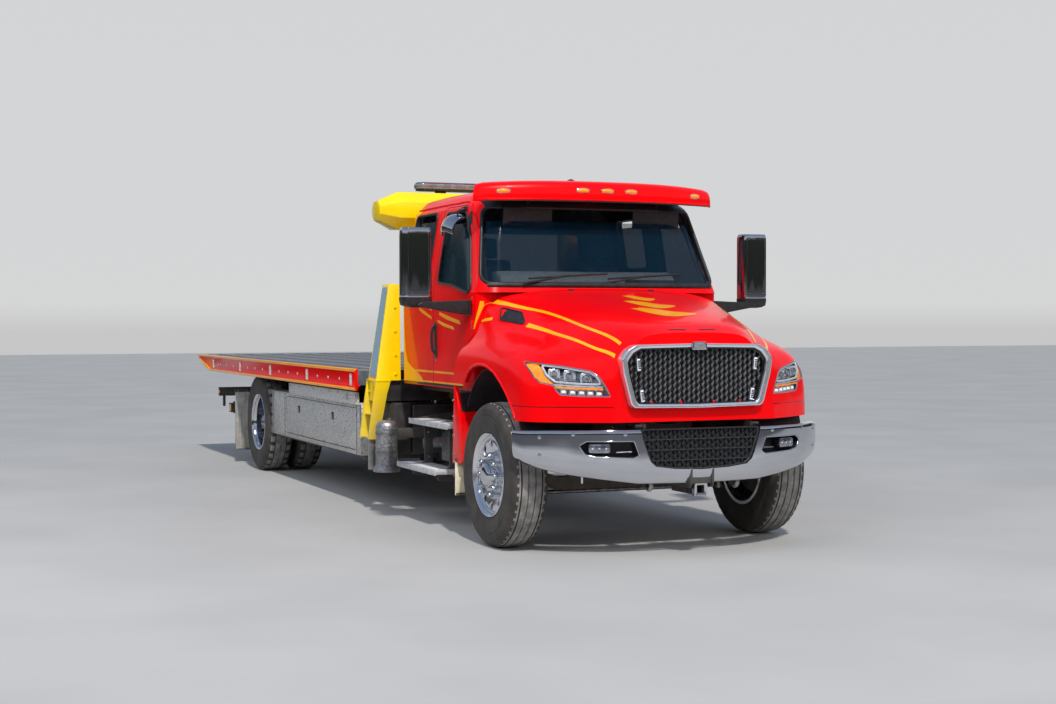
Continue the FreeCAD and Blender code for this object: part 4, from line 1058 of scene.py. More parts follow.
def offset2(pts, d):
    """Outline moved outward by d (inward when negative)."""
    m = len(pts)
    A = sum(pts[i - 1][0] * pts[i][1] - pts[i][0] * pts[i - 1][1] for i in range(m))
    sg = 1 if A > 0 else -1
    out = []
    for i in range(m):
        p0, p1, p2 = Vector(pts[i - 1]), Vector(pts[i]), Vector(pts[(i + 1) % m])
        a, b = (p1 - p0).normalized(), (p2 - p1).normalized()
        na, nb = Vector((a[1], -a[0])) * sg, Vector((b[1], -b[0])) * sg
        k = (na + nb)
        k = k / max(0.3, (1 + na.dot(nb)))
        out.append(tuple(p1 + k * d))
    return out


DW = rounded(DOOR_WINDOW, [.05, .03, .035, .035, .10, .14], 8)
QW = rounded(QUARTER, .05, 8)
DO = rounded(DOOR, DOOR_R, 6)
WIND = [(-.966, 1.868), (.966, 1.868), (.862, 2.440), (-.862, 2.440)]
BACKW = [(-.620, 1.850), (.620, 1.850), (.590, 2.330), (-.590, 2.330)]


def door_outer(s):
    """The door: the shell's side inside the door outline, less its window."""
    d = copy(full_shell, "door")
    lo = px(DO, .60, 1.2, s)
    boolean(d, lo, "INTERSECT")
    c = bx("cut", s * .55, s * .967, Y(.4), Y(1.65), .95, 1.5, BLACKP, 0)
    boolean(d, c)
    boolean(d, px(DW, .60, 1.2, s, m=BLACKP))
    return d


doors = {s: door_outer(s) for s in (-1, 1)}
for s in (-1, 1):
    cutter = px(offset2(DO, .0055), .60, 1.2, s, m=BLACKP)
    keep = bx("k", s * .55, s * .962, Y(.4), Y(1.65), .95, 1.5, BLACKP, 0)
    boolean(cutter, keep)
    boolean(shell, cutter)
    boolean(shell, px(QW, .60, 1.2, s, m=BLACKP))
boolean(shell, prism("cut", rounded(WIND, .07, 6), "y", Y(.3), Y(.86), BLACKP))
boolean(shell, prism("cut", rounded(BACKW, .06, 6), "y", Y(2.15), Y(2.4), BLACKP))
finish_mesh(shell.data, 36)
for s in doors:
    finish_mesh(doors[s].data, 36)
for o in (shell, doors[-1], doors[1]):
    # faces that look into the cab are trimmed in dark vinyl
    o.data.materials.append(VINYL)
    mid = Vector((0, Y(1.30), 1.80))
    for q in o.data.polygons:
        inward = q.normal.dot((mid - q.center).normalized()) > .25
        edge = o is not shell and q.center.z > 1.80 and q.normal.y < -.5 and q.center.y < Y(1.00)
        if 1.16 < q.center.z < 2.50 and (inward or edge):
            q.material_index = len(o.data.materials) - 1


def trim_on(name, pts, plane, side, r, material, bvh=CB, lift=0.002, closed=True, step=.03, seg=8):
    P = densify(list(pts) + ([pts[0]] if closed else []), step)
    out = []
    for p in P:
        if plane == "x":
            h = hit(bvh, (side * 3, Y(p[0]), p[1]), (-side, 0, 0))
        elif plane == "y":
            h = hit(bvh, (p[0], -12, p[1]), (0, 1, 0))
        elif plane == "yb":
            h = hit(bvh, (p[0], 12, p[1]), (0, -1, 0))
        else:
            h = hit(bvh, (p[0], Y(p[1]), 4), (0, 0, -1))
        if h:
            out.append(h[0] + h[1] * lift)
    if closed:
        out = out[:-1]
    return tube(name, out, r, material, seg, cyclic=closed, smooth=False)


cab_parts = [shell]
door_parts = {1: [doors[1]], -1: [doors[-1]]}
# swoosh on the rear quarter and two thin stripes along the bottom of the cab
for s in (-1, 1):
    # band down the rear edge of the cab, opening into a filled sweep at the bottom corner, and two thin lines
    sw = smooth2([(2.080, 2.490), (2.180, 2.420), (2.200, 2.200), (2.212, 1.900), (2.216, 1.600)], 8)
    cab_parts.append(ribbon("swoosh", sw, [.055, .045], CB, "x", s, ORANGE, cols=4))
    cab_parts.append(area_decal("sweep", [(2.232, 1.640), (2.196, 1.620), (2.185, 1.480), (2.160, 1.350), (2.112, 1.255), (2.010, 1.214), (1.906, 1.190),
                                          (1.780, 1.144), (1.667, 1.084), (2.222, 1.084)], CB, "x", s, ORANGE))
    cab_parts.append(ribbon("line", [(1.492, 1.188), (1.900, 1.188)], .016, CB, "x", s, ORANGE))
    cab_parts.append(ribbon("joint", smooth2([(.570, 1.735), (.576, 1.690), (.586, 1.640), (.602, 1.585), (.622, 1.530)], 5), .016, CB, "x", s, ORANGE))
    cab_parts.append(ribbon("line", [(1.492, 1.108), (1.700, 1.108)], .014, CB, "x", s, ORANGE))
    for z_, w_ in ((1.188, .016), (1.108, .014)):
        door_parts[s].append(ribbon("line", [(.812, z_), (1.474, z_)], w_, CB, "x", s, ORANGE))
    # generic accent on the door: two slim blades, bare of lettering
    door_parts[s].append(area_decal("blade", [(.860, 1.560), (1.180, 1.600), (1.430, 1.655), (1.400, 1.668), (1.150, 1.628), (.900, 1.592)], CB, "x", s, ORANGE))
    door_parts[s].append(area_decal("blade", [(1.000, 1.520), (1.250, 1.548), (1.430, 1.590), (1.405, 1.602), (1.220, 1.570), (1.030, 1.545)], CB, "x", s, ORANGE))
    cab_parts.append(area_decal("blade", [(1.520, 1.665), (1.760, 1.735), (1.940, 1.810), (1.900, 1.812), (1.700, 1.752), (1.520, 1.688)], CB, "x", s, ORANGE))
    cab_parts.append(area_decal("blade", [(1.520, 1.600), (1.740, 1.650), (1.900, 1.705), (1.870, 1.712), (1.700, 1.670), (1.520, 1.620)], CB, "x", s, ORANGE))
    # window rubbers and drip rail
    door_parts[s].append(trim_on("rubber", offset2(DW, .003), "x", s, .010, BLACKP))
    cab_parts.append(trim_on("rubber", offset2(QW, .003), "x", s, .010, BLACKP))
    cab_parts.append(trim_on("drip", smooth2([(.720, 2.200), (.860, 2.390), (1.000, 2.492), (1.300, 2.500), (1.700, 2.500), (2.150, 2.492)]), "x", s, .008, RED,
                             closed=False, lift=.003))
    # door edge: a dark gasket seen in the gap
    cab_parts.append(trim_on("gasket", offset2(DO, .0075), "x", s, .0035, BLACKP, lift=-.014))
    # vertical pull handle at the rear edge, on a plain black plate
    xh = 1.021
    hp = prism("handle", rounded([(Y(1.385), 1.300), (Y(1.455), 1.300), (Y(1.462), 1.575), (Y(1.400), 1.575)], .02), "x",
               min(s * (xh - .002), s * (xh + .006)), max(s * (xh - .002), s * (xh + .006)), BLACKP, .002)
    door_parts[s].append(hp)
    door_parts[s].append(tube("pull", [(s * (xh + .004), Y(1.425), 1.330), (s * (xh + .030), Y(1.425), 1.350), (s * (xh + .036), Y(1.427), 1.440),
                                       (s * (xh + .030), Y(1.430), 1.535), (s * (xh + .004), Y(1.430), 1.555)], .0105, BLACKP, 10))
    door_parts[s].append(cylo("lock", .011, -.004, .005, (s * xh, Y(1.425), 1.285), CHROME, "x", 16))
    # hinges at the front edge
    for z_ in (1.56, 1.74):
        door_parts[s].append(bx("hinge", s * .998, s * 1.014, Y(.630), Y(.668), z_ - .03, z_ + .03, RED, .004))
    # rocker moulding
    cab_parts.append(ribbon("rocker", [(.830, 1.090), (2.225, 1.090)], .016, CB, "x", s, GLOSSB, lift=.003))
# windshield rubber and cowl
cab_parts.append(trim_on("rubber", rounded(offset2(WIND, .004), .07, 6), "y", 1, .014, BLACKP, lift=.000))
cab_parts.append(trim_on("rubber", rounded(offset2(BACKW, .004), .06, 6), "yb", 1, .012, BLACKP, lift=.000))
# black band over the windshield: partly a real black band, partly painted shade of the visor
cab_parts.append(area_decal("brow", [(-.845, 2.452), (.845, 2.452), (.815, 2.512), (-.815, 2.512)], CB, "y", 1, BLACKP, lift=.003, step=.04))
cowl = []
for k in range(25):
    x_ = -.93 + 1.86 * k / 24
    cowl.append((x_, 1.855))
cab_parts.append(trim_on("cowl", cowl, "y", 1, .022, BLACKP, closed=False, lift=-.006))
# roof ribs and an air horn behind the visor
for x_ in (-.45, -.15, .15, .45):
    cab_parts.append(ribbon("rib", [(x_, 1.10), (x_, 2.05)], .030, CB, "z", 1, RED, lift=.003, cols=3, step=.06))
cab_parts.append(lathe("horn", [(0, .045), (.012, .050), (.020, .040), (.06, .022), (.20, .016), (.30, .013), (.30, 0)], (-.05, Y(.985), 2.645), CHROME, "y", 20))
cab_parts.append(bx("hornfoot", -.07, -.03, Y(1.03), Y(1.25), 2.592, 2.637, BLACKP, .004))
# wipers parked low on the windshield
for x0, x1 in ((-.62, .02), (.02, .66)):
    P0 = hit(CB, (x0 + .05, -12, 1.852), (0, 1, 0))
    pts, arm = [], []
    for k in range(13):
        u = k / 12
        xx = x0 + (x1 - x0) * u
        zz = 1.905 + .040 * u
        gy = None
        # the glass plane between the base and the top of the opening
        a_, b_ = np.array(CAB_TOP[0][1]), np.array(CAB_TOP[1][1])
        uu = (zz - 1.8) / .66
        q = a_ * (1 - uu) + b_ * uu
        gy = float(np.interp(abs(xx), q[:4, 0], q[:4, 1]))
        pts.append((xx, Y(gy) - .006, zz))
    cab_parts.append(tube("blade", pts, .0075, BLACKP, 8))
    m_ = pts[6]
    cab_parts.append(tube("arm", [(x0 - .06, m_[1] - .030, 1.868), (x0 + .08, m_[1] - .026, 1.888), (m_[0], m_[1] - .012, m_[2] + .004)], .008, BLACKP, 8))
cabv = join(cab_parts, "visual_cab")
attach(cabv, "chassis")
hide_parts("cab_shell")
for s, nm in ((1, "left"), (-1, "right")):
    dv = join(door_parts[s], "visual_door_" + nm)
    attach(dv, "door_" + nm)
    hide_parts("door_" + nm)
bpy.data.objects.remove(full_shell, do_unlink=True)


# curved glass that follows the cab's front, sides and back
def glass_sheet(name, pts, plane, side, material, inset=.020, body="chassis", node=None, thick=.005, step=.06):
    z = [p[1] for p in pts]
    g = cab_solid(inset)
    bv = BVHTree.FromObject(g, C.evaluated_depsgraph_get())
    if plane == "yb":
        P = [Vector(p) for p in pts]
        bm = bmesh.new()
        bm.faces.new([bm.verts.new((p[0], p[1], 0)) for p in P])
        for q in bm.verts:
            h = hit(bv, (q.co.x, 12, q.co.y), (0, -1, 0))
            q.co = h[0]
        o = from_bm(name, bm, material, 60)
    else:
        o = area_decal(name, pts, bv, plane, side, material, lift=0.0, step=step)
    bpy.data.objects.remove(g, do_unlink=True)
    o.name = name
    md = o.modifiers.new("t", "SOLIDIFY")
    md.thickness, md.offset = thick, 0
    apply_all(o)
    finish_mesh(o.data, 50)
    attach(o, body)
    return o


gw = glass_sheet("visual_windshield", rounded(offset2(WIND, .012), .07, 6), "y", 1, GLASS)
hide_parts("windshield")
for s in (-1, 1):
    boolean(gw, px(offset2(DO, .006), .60, 1.2, s, m=GLASS))
gs = []
for s, nm in ((1, "left"), (-1, "right")):
    g = glass_sheet("visual_door_glass_" + nm, offset2(DW, .010), "x", s, GLASSD, body="door_" + nm)
    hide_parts("door_glass_" + nm)
    gs.append(glass_sheet("q", offset2(QW, .010), "x", s, GLASSD))
gs.append(glass_sheet("b", rounded(offset2(BACKW, .012), .06, 6), "yb", 1, GLASSD))
gq = join(gs, "visual_cab_windows")
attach(gq, "chassis")
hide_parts("cab_windows")

# ------------------------------------------------------------------ front: visor, grille, lamps, bumper
LAMP2 = LAMP2_
v_, f_ = hood_skin(0, 0, 0)
uncut = obj("uncut", v_, f_, RED, 30)
UB = BVHTree.FromObject(uncut, C.evaluated_depsgraph_get())
bpy.data.objects.remove(uncut, do_unlink=True)
BOWL = mat("lamp_bowl", (0.62, 0.64, 0.70), 0.12, 0.9, color2=(0.30, 0.31, 0.36), vscale=30, rvar=0.06)
DARKG = mat("grille_dark", (0.34, 0.34, 0.35), 0.30, 0.35, color2=(0.22, 0.22, 0.23), vscale=40, rvar=0.08)
MESHB = mat("mesh_black", (0.060, 0.063, 0.070), 0.35, 0.2, color2=(0.05, 0.052, 0.058), vscale=40, rvar=0.08)
RADI = mat("radiator", (0.045, 0.045, 0.05), 0.6, 0.5, color2=(0.012, 0.012, 0.014), vscale=160, kind="wave", rvar=0.1)


def lathe_dome(name, c, n, w, h, d, material, seg=20, rings=5, up=(0, 0, 1)):
    """Half ellipsoid on a surface: w and h half sizes across, d its height along n."""
    n = Vector(n).normalized()
    u = Vector(up).cross(n).normalized()
    t = n.cross(u)
    v, f = [], []
    for i in range(rings):
        a = (pi / 2) * i / rings
        for k in range(seg):
            b = 2 * pi * k / seg
            v.append(Vector(c) + u * (w * cos(a) * cos(b)) + t * (h * cos(a) * sin(b)) + n * (d * sin(a)))
    v.append(Vector(c) + n * d)
    for i in range(rings - 1):
        for k in range(seg):
            f.append((i * seg + k, i * seg + (k + 1) % seg, (i + 1) * seg + (k + 1) % seg, (i + 1) * seg + k))
    for k in range(seg):
        f.append(((rings - 1) * seg + k, (rings - 1) * seg + (k + 1) % seg, len(v) - 1))
    f.append(list(range(seg))[::-1])
    return obj(name, v, f, material, 50)


def orient(o, c, n, up=(0, 0, 1)):
    """Turn a part modelled towards -y at the origin so that it faces n at c."""
    n = Vector(n).normalized()
    x = n.cross(Vector(up)).normalized()
    z = x.cross(n)
    M = Matrix((tuple(x), tuple(-n), tuple(z))).transposed().to_4x4()
    if M.to_3x3().determinant() < 0:
        M = Matrix((tuple(-x), tuple(-n), tuple(z))).transposed().to_4x4()
    M.translation = Vector(c)
    o.data.transform(M)
    return o


# sun visor ---------------------------------------------------------
VIS = [(0, .4405), (.200, .447), (.400, .464), (.580, .492), (.740, .532), (.860, .572), (.930, .602), (.975, .630), (.998, .662)]


def visor():
    P = np.array(VIS)
    half = crom(np.linspace(0, len(P) - 1, 44), P)
    sec = [(.070, 2.520), (.028, 2.502), (.012, 2.480), (.003, 2.4765), (-.001, 2.486), (-.0005, 2.530), (.003, 2.575), (.010, 2.600),
           (.026, 2.619), (.055, 2.632), (.110, 2.641), (.190, 2.640), (.280, 2.628), (.380, 2.600)]
    full = [(-x, y) for x, y in half[::-1]][:-1] + [tuple(p) for p in half]
    rows = []
    for i, (x, y) in enumerate(full):
        a, b = Vector(full[max(0, i - 1)]), Vector(full[min(len(full) - 1, i + 1)])
        t = (b - a).normalized()
        n = Vector((-t[1], t[0]))
        row = []
        k = abs(x)
        for d, z in sec:
            # the ends of the front face stand a little lower
            dz = -.022 * (min(k, 1.0) / 1.0) ** 3 if z > 2.55 else (-.008 * (k / 1.0) ** 3)
            dd = d * (1.0 if d < .12 else (1.0 - .35 * (k ** 4)))
            row.append((x + n[0] * dd, Y(y + n[1] * dd), max(z + dz, 2.4765) if d < .05 and z < 2.5 else z + dz))
        rows.append(row)
    o = smesh("visual_sun_visor", rows, RED, angle=55)
    md = o.modifiers.new("t", "SOLIDIFY")
    md.thickness, md.offset, md.use_rim = .004, -1, True
    apply_all(o)
    finish_mesh(o.data, 55)
    return o


vis = visor()
# faces under the visor are made black: painted shade under the visor
vis.data.materials.append(BLACKP)
for q in vis.data.polygons:
    if q.normal.z < -.35 and q.center.z < 2.63:
        q.material_index = 1
VB = BVHTree.FromObject(vis, C.evaluated_depsgraph_get())
vparts = [vis]
for x, z in ((-.800, 2.551), (-.200, 2.562), (0, 2.562), (.200, 2.562), (.800, 2.551)):
    h = hit(VB, (x, -12, z), (0, 1, 0))
    n = h[1]
    up = Vector((0, 0, 1))
    vparts.append(lathe_dome("base", h[0] + n * .0005, n, .056, .021, .006, CHROME, 28, 3))
    vparts.append(lathe_dome("lens", h[0] + n * .002, n, .050, .0165, .017, AMBER, 28, 5))
vparts.append(trim_on("edge", [(x, 2.492) for x in np.linspace(-.97, .97, 41)], "y", 1, .005, RED, bvh=VB, closed=False, lift=.0))
for s in (-1, 1):
    vparts.append(tube("stay", [(s * .55, Y(.53), 2.500), (s * .55, Y(.68), 2.495), (s * .54, Y(.72), 2.47)], .012, BLACKP, 8))
# black sheet across the header under the visor: partly a real black band, partly painted shade of the visor
band = []
for z in (2.444, 2.462, 2.480, 2.498, 2.516):
    for k in range(25):
        x = -.852 + 1.704 * k / 24
        h = hit(CB, (x, -12, z), (0, 1, 0))
        band.append((x, h[0].y - .010, z))
visor_shade_band = obj("band", band, [(25 * j + k, 25 * j + k + 1, 25 * j + k + 26, 25 * j + k + 25) for j in range(4) for k in range(24)], BLACKP, 60)
md = visor_shade_band.modifiers.new("t", "SOLIDIFY"); md.thickness = .004; apply_all(visor_shade_band)
vparts.append(visor_shade_band)
vis = join(vparts, "visual_sun_visor")
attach(vis, "chassis")
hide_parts("sun_visor")


# grille -------------------------------------------------------------
def ring(name, outer, inner, y0, y1, material, bev=.008, seg=3):
    """Frame between two outlines with the same number of points, in the x-z plane."""
    n = len(outer)
    v = [(x, Y(y0), z) for x, z in outer] + [(x, Y(y0) + .004, z) for x, z in inner] + \
        [(x, Y(y1), z) for x, z in inner] + [(x, Y(y1), z) for x, z in outer]
    f = []
    for i in range(n):
        j = (i + 1) % n
        for r in range(4):
            r2 = (r + 1) % 4
            f.append((r * n + i, r * n + j, r2 * n + j, r2 * n + i))
    o = obj(name, v, f, material)
    if bev:
        bevel(o, bev, seg, 50)
    return o


def wavy(name, half, z0, z1, y, n, material, amp=.008, per=.060, r=.0042, depth=1.6, step=.015):
    """Vertical wavy bars; neighbours mirror one another so that they form linked cells. half(z): half width at z."""
    out = []
    W = half((z0 + z1) / 2)
    wmax = max(half(z0 + (z1 - z0) * k / 20) for k in range(21))
    pitch = 2 * wmax / n
    vs, fs = [], []
    for i in range(n + 1):
        x0 = -wmax + pitch * i
        pts = []
        nz = int((z1 - z0) / step)
        for k in range(nz + 1):
            z = z0 + (z1 - z0) * k / nz
            x = x0 + (1 if i % 2 else -1) * amp * sin(2 * pi * z / per)
            if abs(x) < half(z) - .004:
                pts.append((x, z))
            else:
                if len(pts) > 2:
                    out.append(pts)
                pts = []
        if len(pts) > 2:
            out.append(pts)
    for pts in out:
        base = len(vs)
        for x, z in pts:
            vs += [(x - r, Y(y), z), (x, Y(y) - r * depth, z), (x + r, Y(y), z), (x, Y(y) + r * depth * 1.5, z)]
        for k in range(len(pts) - 1):
            for q in range(4):
                q2 = (q + 1) % 4
                fs.append((base + k * 4 + q, base + k * 4 + q2, base + (k + 1) * 4 + q2, base + (k + 1) * 4 + q))
    return obj(name, vs, fs, material, 80)


go = rounded(sym2(GRILLE), .055, 6)
gi = rounded([(x * .925, 1.225 + (z - 1.225) * .875) for x, z in sym2(GRILLE)], .045, 6)
gm = rounded([(x * .965, 1.225 + (z - 1.225) * .935) for x, z in sym2(GRILLE)], .050, 6)
gparts = [ring("surround", go, gi, -.983, -.890, BRIGHT, .009, 4)]
gparts.append(ring("inner", [(x * 1.0, z) for x, z in gi], [(x * .965, 1.225 + (z - 1.225) * .955) for x, z in gi], -.958, -.905, GLOSSB, .003, 2))
# a plain blank badge plate, without any motif
badge = prism("badge", rounded([(-.062, 1.395), (.062, 1.395), (.050, 1.452), (-.050, 1.452)], .016, 5), "y", Y(-.993), Y(-.955), CHROME, .005, 3)
gparts.append(badge)
gparts.append(prism("badge_in", rounded([(-.050, 1.404), (.050, 1.404), (.040, 1.443), (-.040, 1.443)], .012, 5), "y", Y(-.9955), Y(-.985), DARKG, .002, 2))
gs_ = join(gparts, "visual_grille_surround")
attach(gs_, "hood")
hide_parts("grille_surround")


def ghalf(z):
    zz = [p[1] for p in GRILLE[::-1]]
    xx = [p[0] for p in GRILLE[::-1]]
    pts = sorted([(z_, x_) for x_, z_ in GRILLE[1:-1]])
    return float(np.interp(1.225 + (z - 1.225) / .875, [p[0] for p in pts], [p[1] for p in pts])) * .915


mparts = [wavy("bars", ghalf, 1.040, 1.408, -.940, 29, DARKG, amp=.0048, per=.044, r=.0050, depth=2.6, step=.0060)]
mparts.append(prism("radiator", [(x * .90, 1.225 + (z - 1.225) * .86) for x, z in sym2(GRILLE)], "y", Y(-.905), Y(-.885), RADI))
for z in (1.13, 1.225, 1.32):
    mparts.append(bx("stay", -ghalf(z) * .99, ghalf(z) * .99, Y(-.928), Y(-.918), z - .004, z + .004, BLACKP, 0))
for s in (-1, 1):
    for x, z, tilt in ((.445, 1.300, 6), (.418, 1.092, 9)):
        b = bx("strobe", -.016, .016, -.012, .010, -.044, .044, BOWL, .006, 3)
        l = bx("lens", -.011, .011, -.016, -.008, -.038, .038, WHITEL, .004, 2)
        cells = array(bx("c", -.0095, .0095, -.0185, -.015, -.0050, .0050, CHROME, .001, 1), [(0, 0, k * .0125 - .025) for k in range(5)])
        st = join([b, l, cells])
        rot(st, rad(tilt) * s, (0, 1, 0), (0, 0, 0))
        move(st, (s * x, Y(-.958), z))
        mparts.append(st)
for x in (-.34, -.12, .13, .33):
    mparts.append(bx("clip", x - .006, x + .006, Y(-.956), Y(-.945), 1.034, 1.054, RED, .002))
gm_ = join(mparts, "visual_grille_mesh")
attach(gm_, "hood")
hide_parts("grille_mesh")


# headlights -----------------------------------------------------------
def on_ub(x, z, lift=0.0):
    h = hit(UB, (x, -12, z), (0, 1, 0))
    return h[0] + h[1] * lift, h[1]


def headlight(s):
    L2 = [(s * x, z) for x, z in rounded(LAMP2, .012, 3)]
    parts = []
    bowl = area_decal("bowl", L2, UB, "y", 1, MODULE, lift=-.062, step=.03)
    parts.append(bowl)
    # side wall of the pocket
    P = densify(L2 + [L2[0]], .02)[:-1]
    v, f = [], []
    for p in P:
        a, n = on_ub(p[0], p[1], .0)
        v += [a - n * .001, a - n * .064]
    m = len(P)
    f = [(2 * i, 2 * ((i + 1) % m), 2 * ((i + 1) % m) + 1, 2 * i + 1) for i in range(m)]
    parts.append(obj("wall", v, f, BLACKP, 60))
    parts.append(trim_on("frame", offset2(L2, -.004), "y", 1, .0055, CHROME, bvh=UB, lift=-.004))
    # amber corner
    am = [(1.064, 1.325), (1.009, 1.308), (.999, 1.262), (.994, 1.222), (.948, 1.169), (.955, 1.161), (1.022, 1.178), (1.050, 1.214), (1.062, 1.280)]
    parts.append(area_decal("amber", rounded([(s * x, z) for x, z in am], .010, 3), UB, "y", 1, AMBER, lift=-.012, step=.012))
    for k in range(7):
        u = k / 6
        p0 = (s * (1.056 - .004 * u), 1.310 - .105 * u)
        p1 = (s * (1.010 - .018 * u), 1.298 - .095 * u)
        parts.append(ribbon("rib", [p0, p1], .003, UB, "y", 1, ORANGE, lift=-.010, cols=1, step=.03))
    # bright inner frame round the three modules
    fr = [(1.000, 1.302), (.900, 1.287), (.740, 1.252), (.705, 1.226), (.672, 1.168), (.800, 1.172), (.940, 1.186), (.982, 1.228)]
    parts.append(trim_on("inner_frame", rounded([(s * x, z) for x, z in fr], .018, 4), "y", 1, .0085, SILVER, bvh=UB, lift=-.012))
    for x, z in ((.944, 1.243), (.856, 1.231), (.764, 1.212)):
        c, n = on_ub(s * x, z, -.030)
        n = (n + Vector((0, -1.1, 0))).normalized()
        cell = prism("cell", rounded([(-.040, -.036), (.040, -.036), (.040, .036), (-.040, .036)], .014, 4), "y", -.004, .026, SILVER, .003, 2)
        dark = prism("dark", rounded([(-.034, -.030), (.034, -.030), (.034, .030), (-.034, .030)], .012, 4), "y", -.006, .0, MODULE, .002, 2)
        eye = lathe_dome("eye", (.004 * s, -.006, -.002), (0, -1, 0), .021, .021, .014, LENS, 24, 5, up=(0, 0, 1))
        eyering = lathe("er", [(-.010, .022), (-.010, .0255), (-.002, .0275), (.0, .022)], (.004 * s, 0, -.002), CHROME, "y", 24, 40, close=True)
        fin = bx("fin", -.034, .034, -.010, -.003, -.031, -.024, CHROME, .002, 1)
        for o in (cell, dark, eye, eyering, fin):
            orient(o, c, n)
            parts.append(o)
    # lower row of five lamps
    for k in range(5):
        u = k / 4
        x, z = .896 - .205 * u, 1.118 - .012 * u
        c, n = on_ub(s * x, z, -.022)
        n = (n + Vector((0, -.9, 0))).normalized()
        cup = prism("cup", rounded([(-.021, -.016), (.021, -.016), (.021, .016), (-.021, .016)], .006, 3), "y", -.001, .016, SILVER, .002, 1)
        led = lathe_dome("led", (0, -.002, 0), (0, -1, 0), .016, .0115, .008, WHITEL, 16, 3)
        for o in (cup, led):
            orient(o, c, n)
            parts.append(o)
    parts.append(ribbon("bar", [(s * .944, 1.150), (s * .800, 1.142), (s * .668, 1.136)], .012, UB, "y", 1, AMBER, lift=-.008, cols=2))
    parts.append(ribbon("bar", [(s * .948, 1.166), (s * .800, 1.156), (s * .668, 1.150)], .010, UB, "y", 1, SILVER, lift=-.009, cols=2))
    lens = area_decal("lens", offset2(L2, -.003), UB, "y", 1, LENS, lift=-.0025, step=.03)
    parts.append(lens)
    return parts


hl = join(headlight(1) + headlight(-1), "visual_headlights")
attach(hl, "hood")
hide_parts("headlights")


# bumper ----------------------------------------------------------------
BUMP = [(0, -1.0385), (.230, -1.035), (.460, -1.020), (.620, -.984), (.760, -.928), (.890, -.862), (1.000, -.780), (1.075, -.710), (1.130, -.650),
        (1.164, -.595), (1.182, -.543)]


def bumper():
    P = np.array(BUMP)
    half = crom(np.linspace(0, len(P) - 1, 46), P)
    full = [(-x, y) for x, y in half[::-1]][:-1] + [tuple(p) for p in half]
    rows = []
    for i, (x, y) in enumerate(full):
        a, b = Vector(full[max(0, i - 1)]), Vector(full[min(len(full) - 1, i + 1)])
        t = (b - a).normalized()
        n = Vector((-t[1], t[0]))
        zb = float(np.interp(abs(x), [0, .46, .72, .95, 1.14, 1.19], [.500, .508, .540, .574, .622, .660]))
        zt = float(np.interp(abs(x), [0, .7, 1.0, 1.19], [.872, .872, .868, .860]))
        H = zt - zb
        sec = [(.075, zt - .010), (.050, zt), (.018, zt), (.006, zt - .003), (.001, zt - .012), (.0, zt - .030), (.0, zb + H * .80), (.0, zb + H * .64),
               (.0, zb + H * .5), (.001, zb + H * .38), (.004, zb + H * .26), (.010, zb + H * .17), (.018, zb + H * .11), (.030, zb + .020),
               (.040, zb + .006), (.052, zb), (.075, zb + .004)]
        rows.append([(x + n[0] * d, Y(y + n[1] * d), z) for d, z in sec])
    o = smesh("bumper", rows, CHROME, angle=50)
    md = o.modifiers.new("t", "SOLIDIFY")
    md.thickness, md.offset = .006, -1
    apply_all(o)
    c = [(0, 1.0), (.462, 1.0), (.458, .874), (.440, .800), (.404, .700), (.385, .655), (.345, .622), (.200, .604), (0, .596)]
    boolean(o, prism("cut", rounded(sym2(c), .02, 4), "y", Y(-1.3), Y(-.85), CHROME))
    fog = rounded([(.500, .797), (.800, .797), (.846, .768), (.806, .706), (.745, .693), (.500, .683), (.463, .701)], .016, 4)
    for s in (-1, 1):
        boolean(o, prism("cut", [(s * x, z) for x, z in fog], "y", Y(-1.3), Y(-.7), CHROME))
    finish_mesh(o.data, 40)
    return o, c, fog


bump, CGO, FOG = bumper()
bpts = np.array(crom(np.linspace(0, len(BUMP) - 1, 60), np.array(BUMP)))


def by(x):
    return float(np.interp(abs(x), bpts[:, 0], bpts[:, 1]))


bparts = [bump]
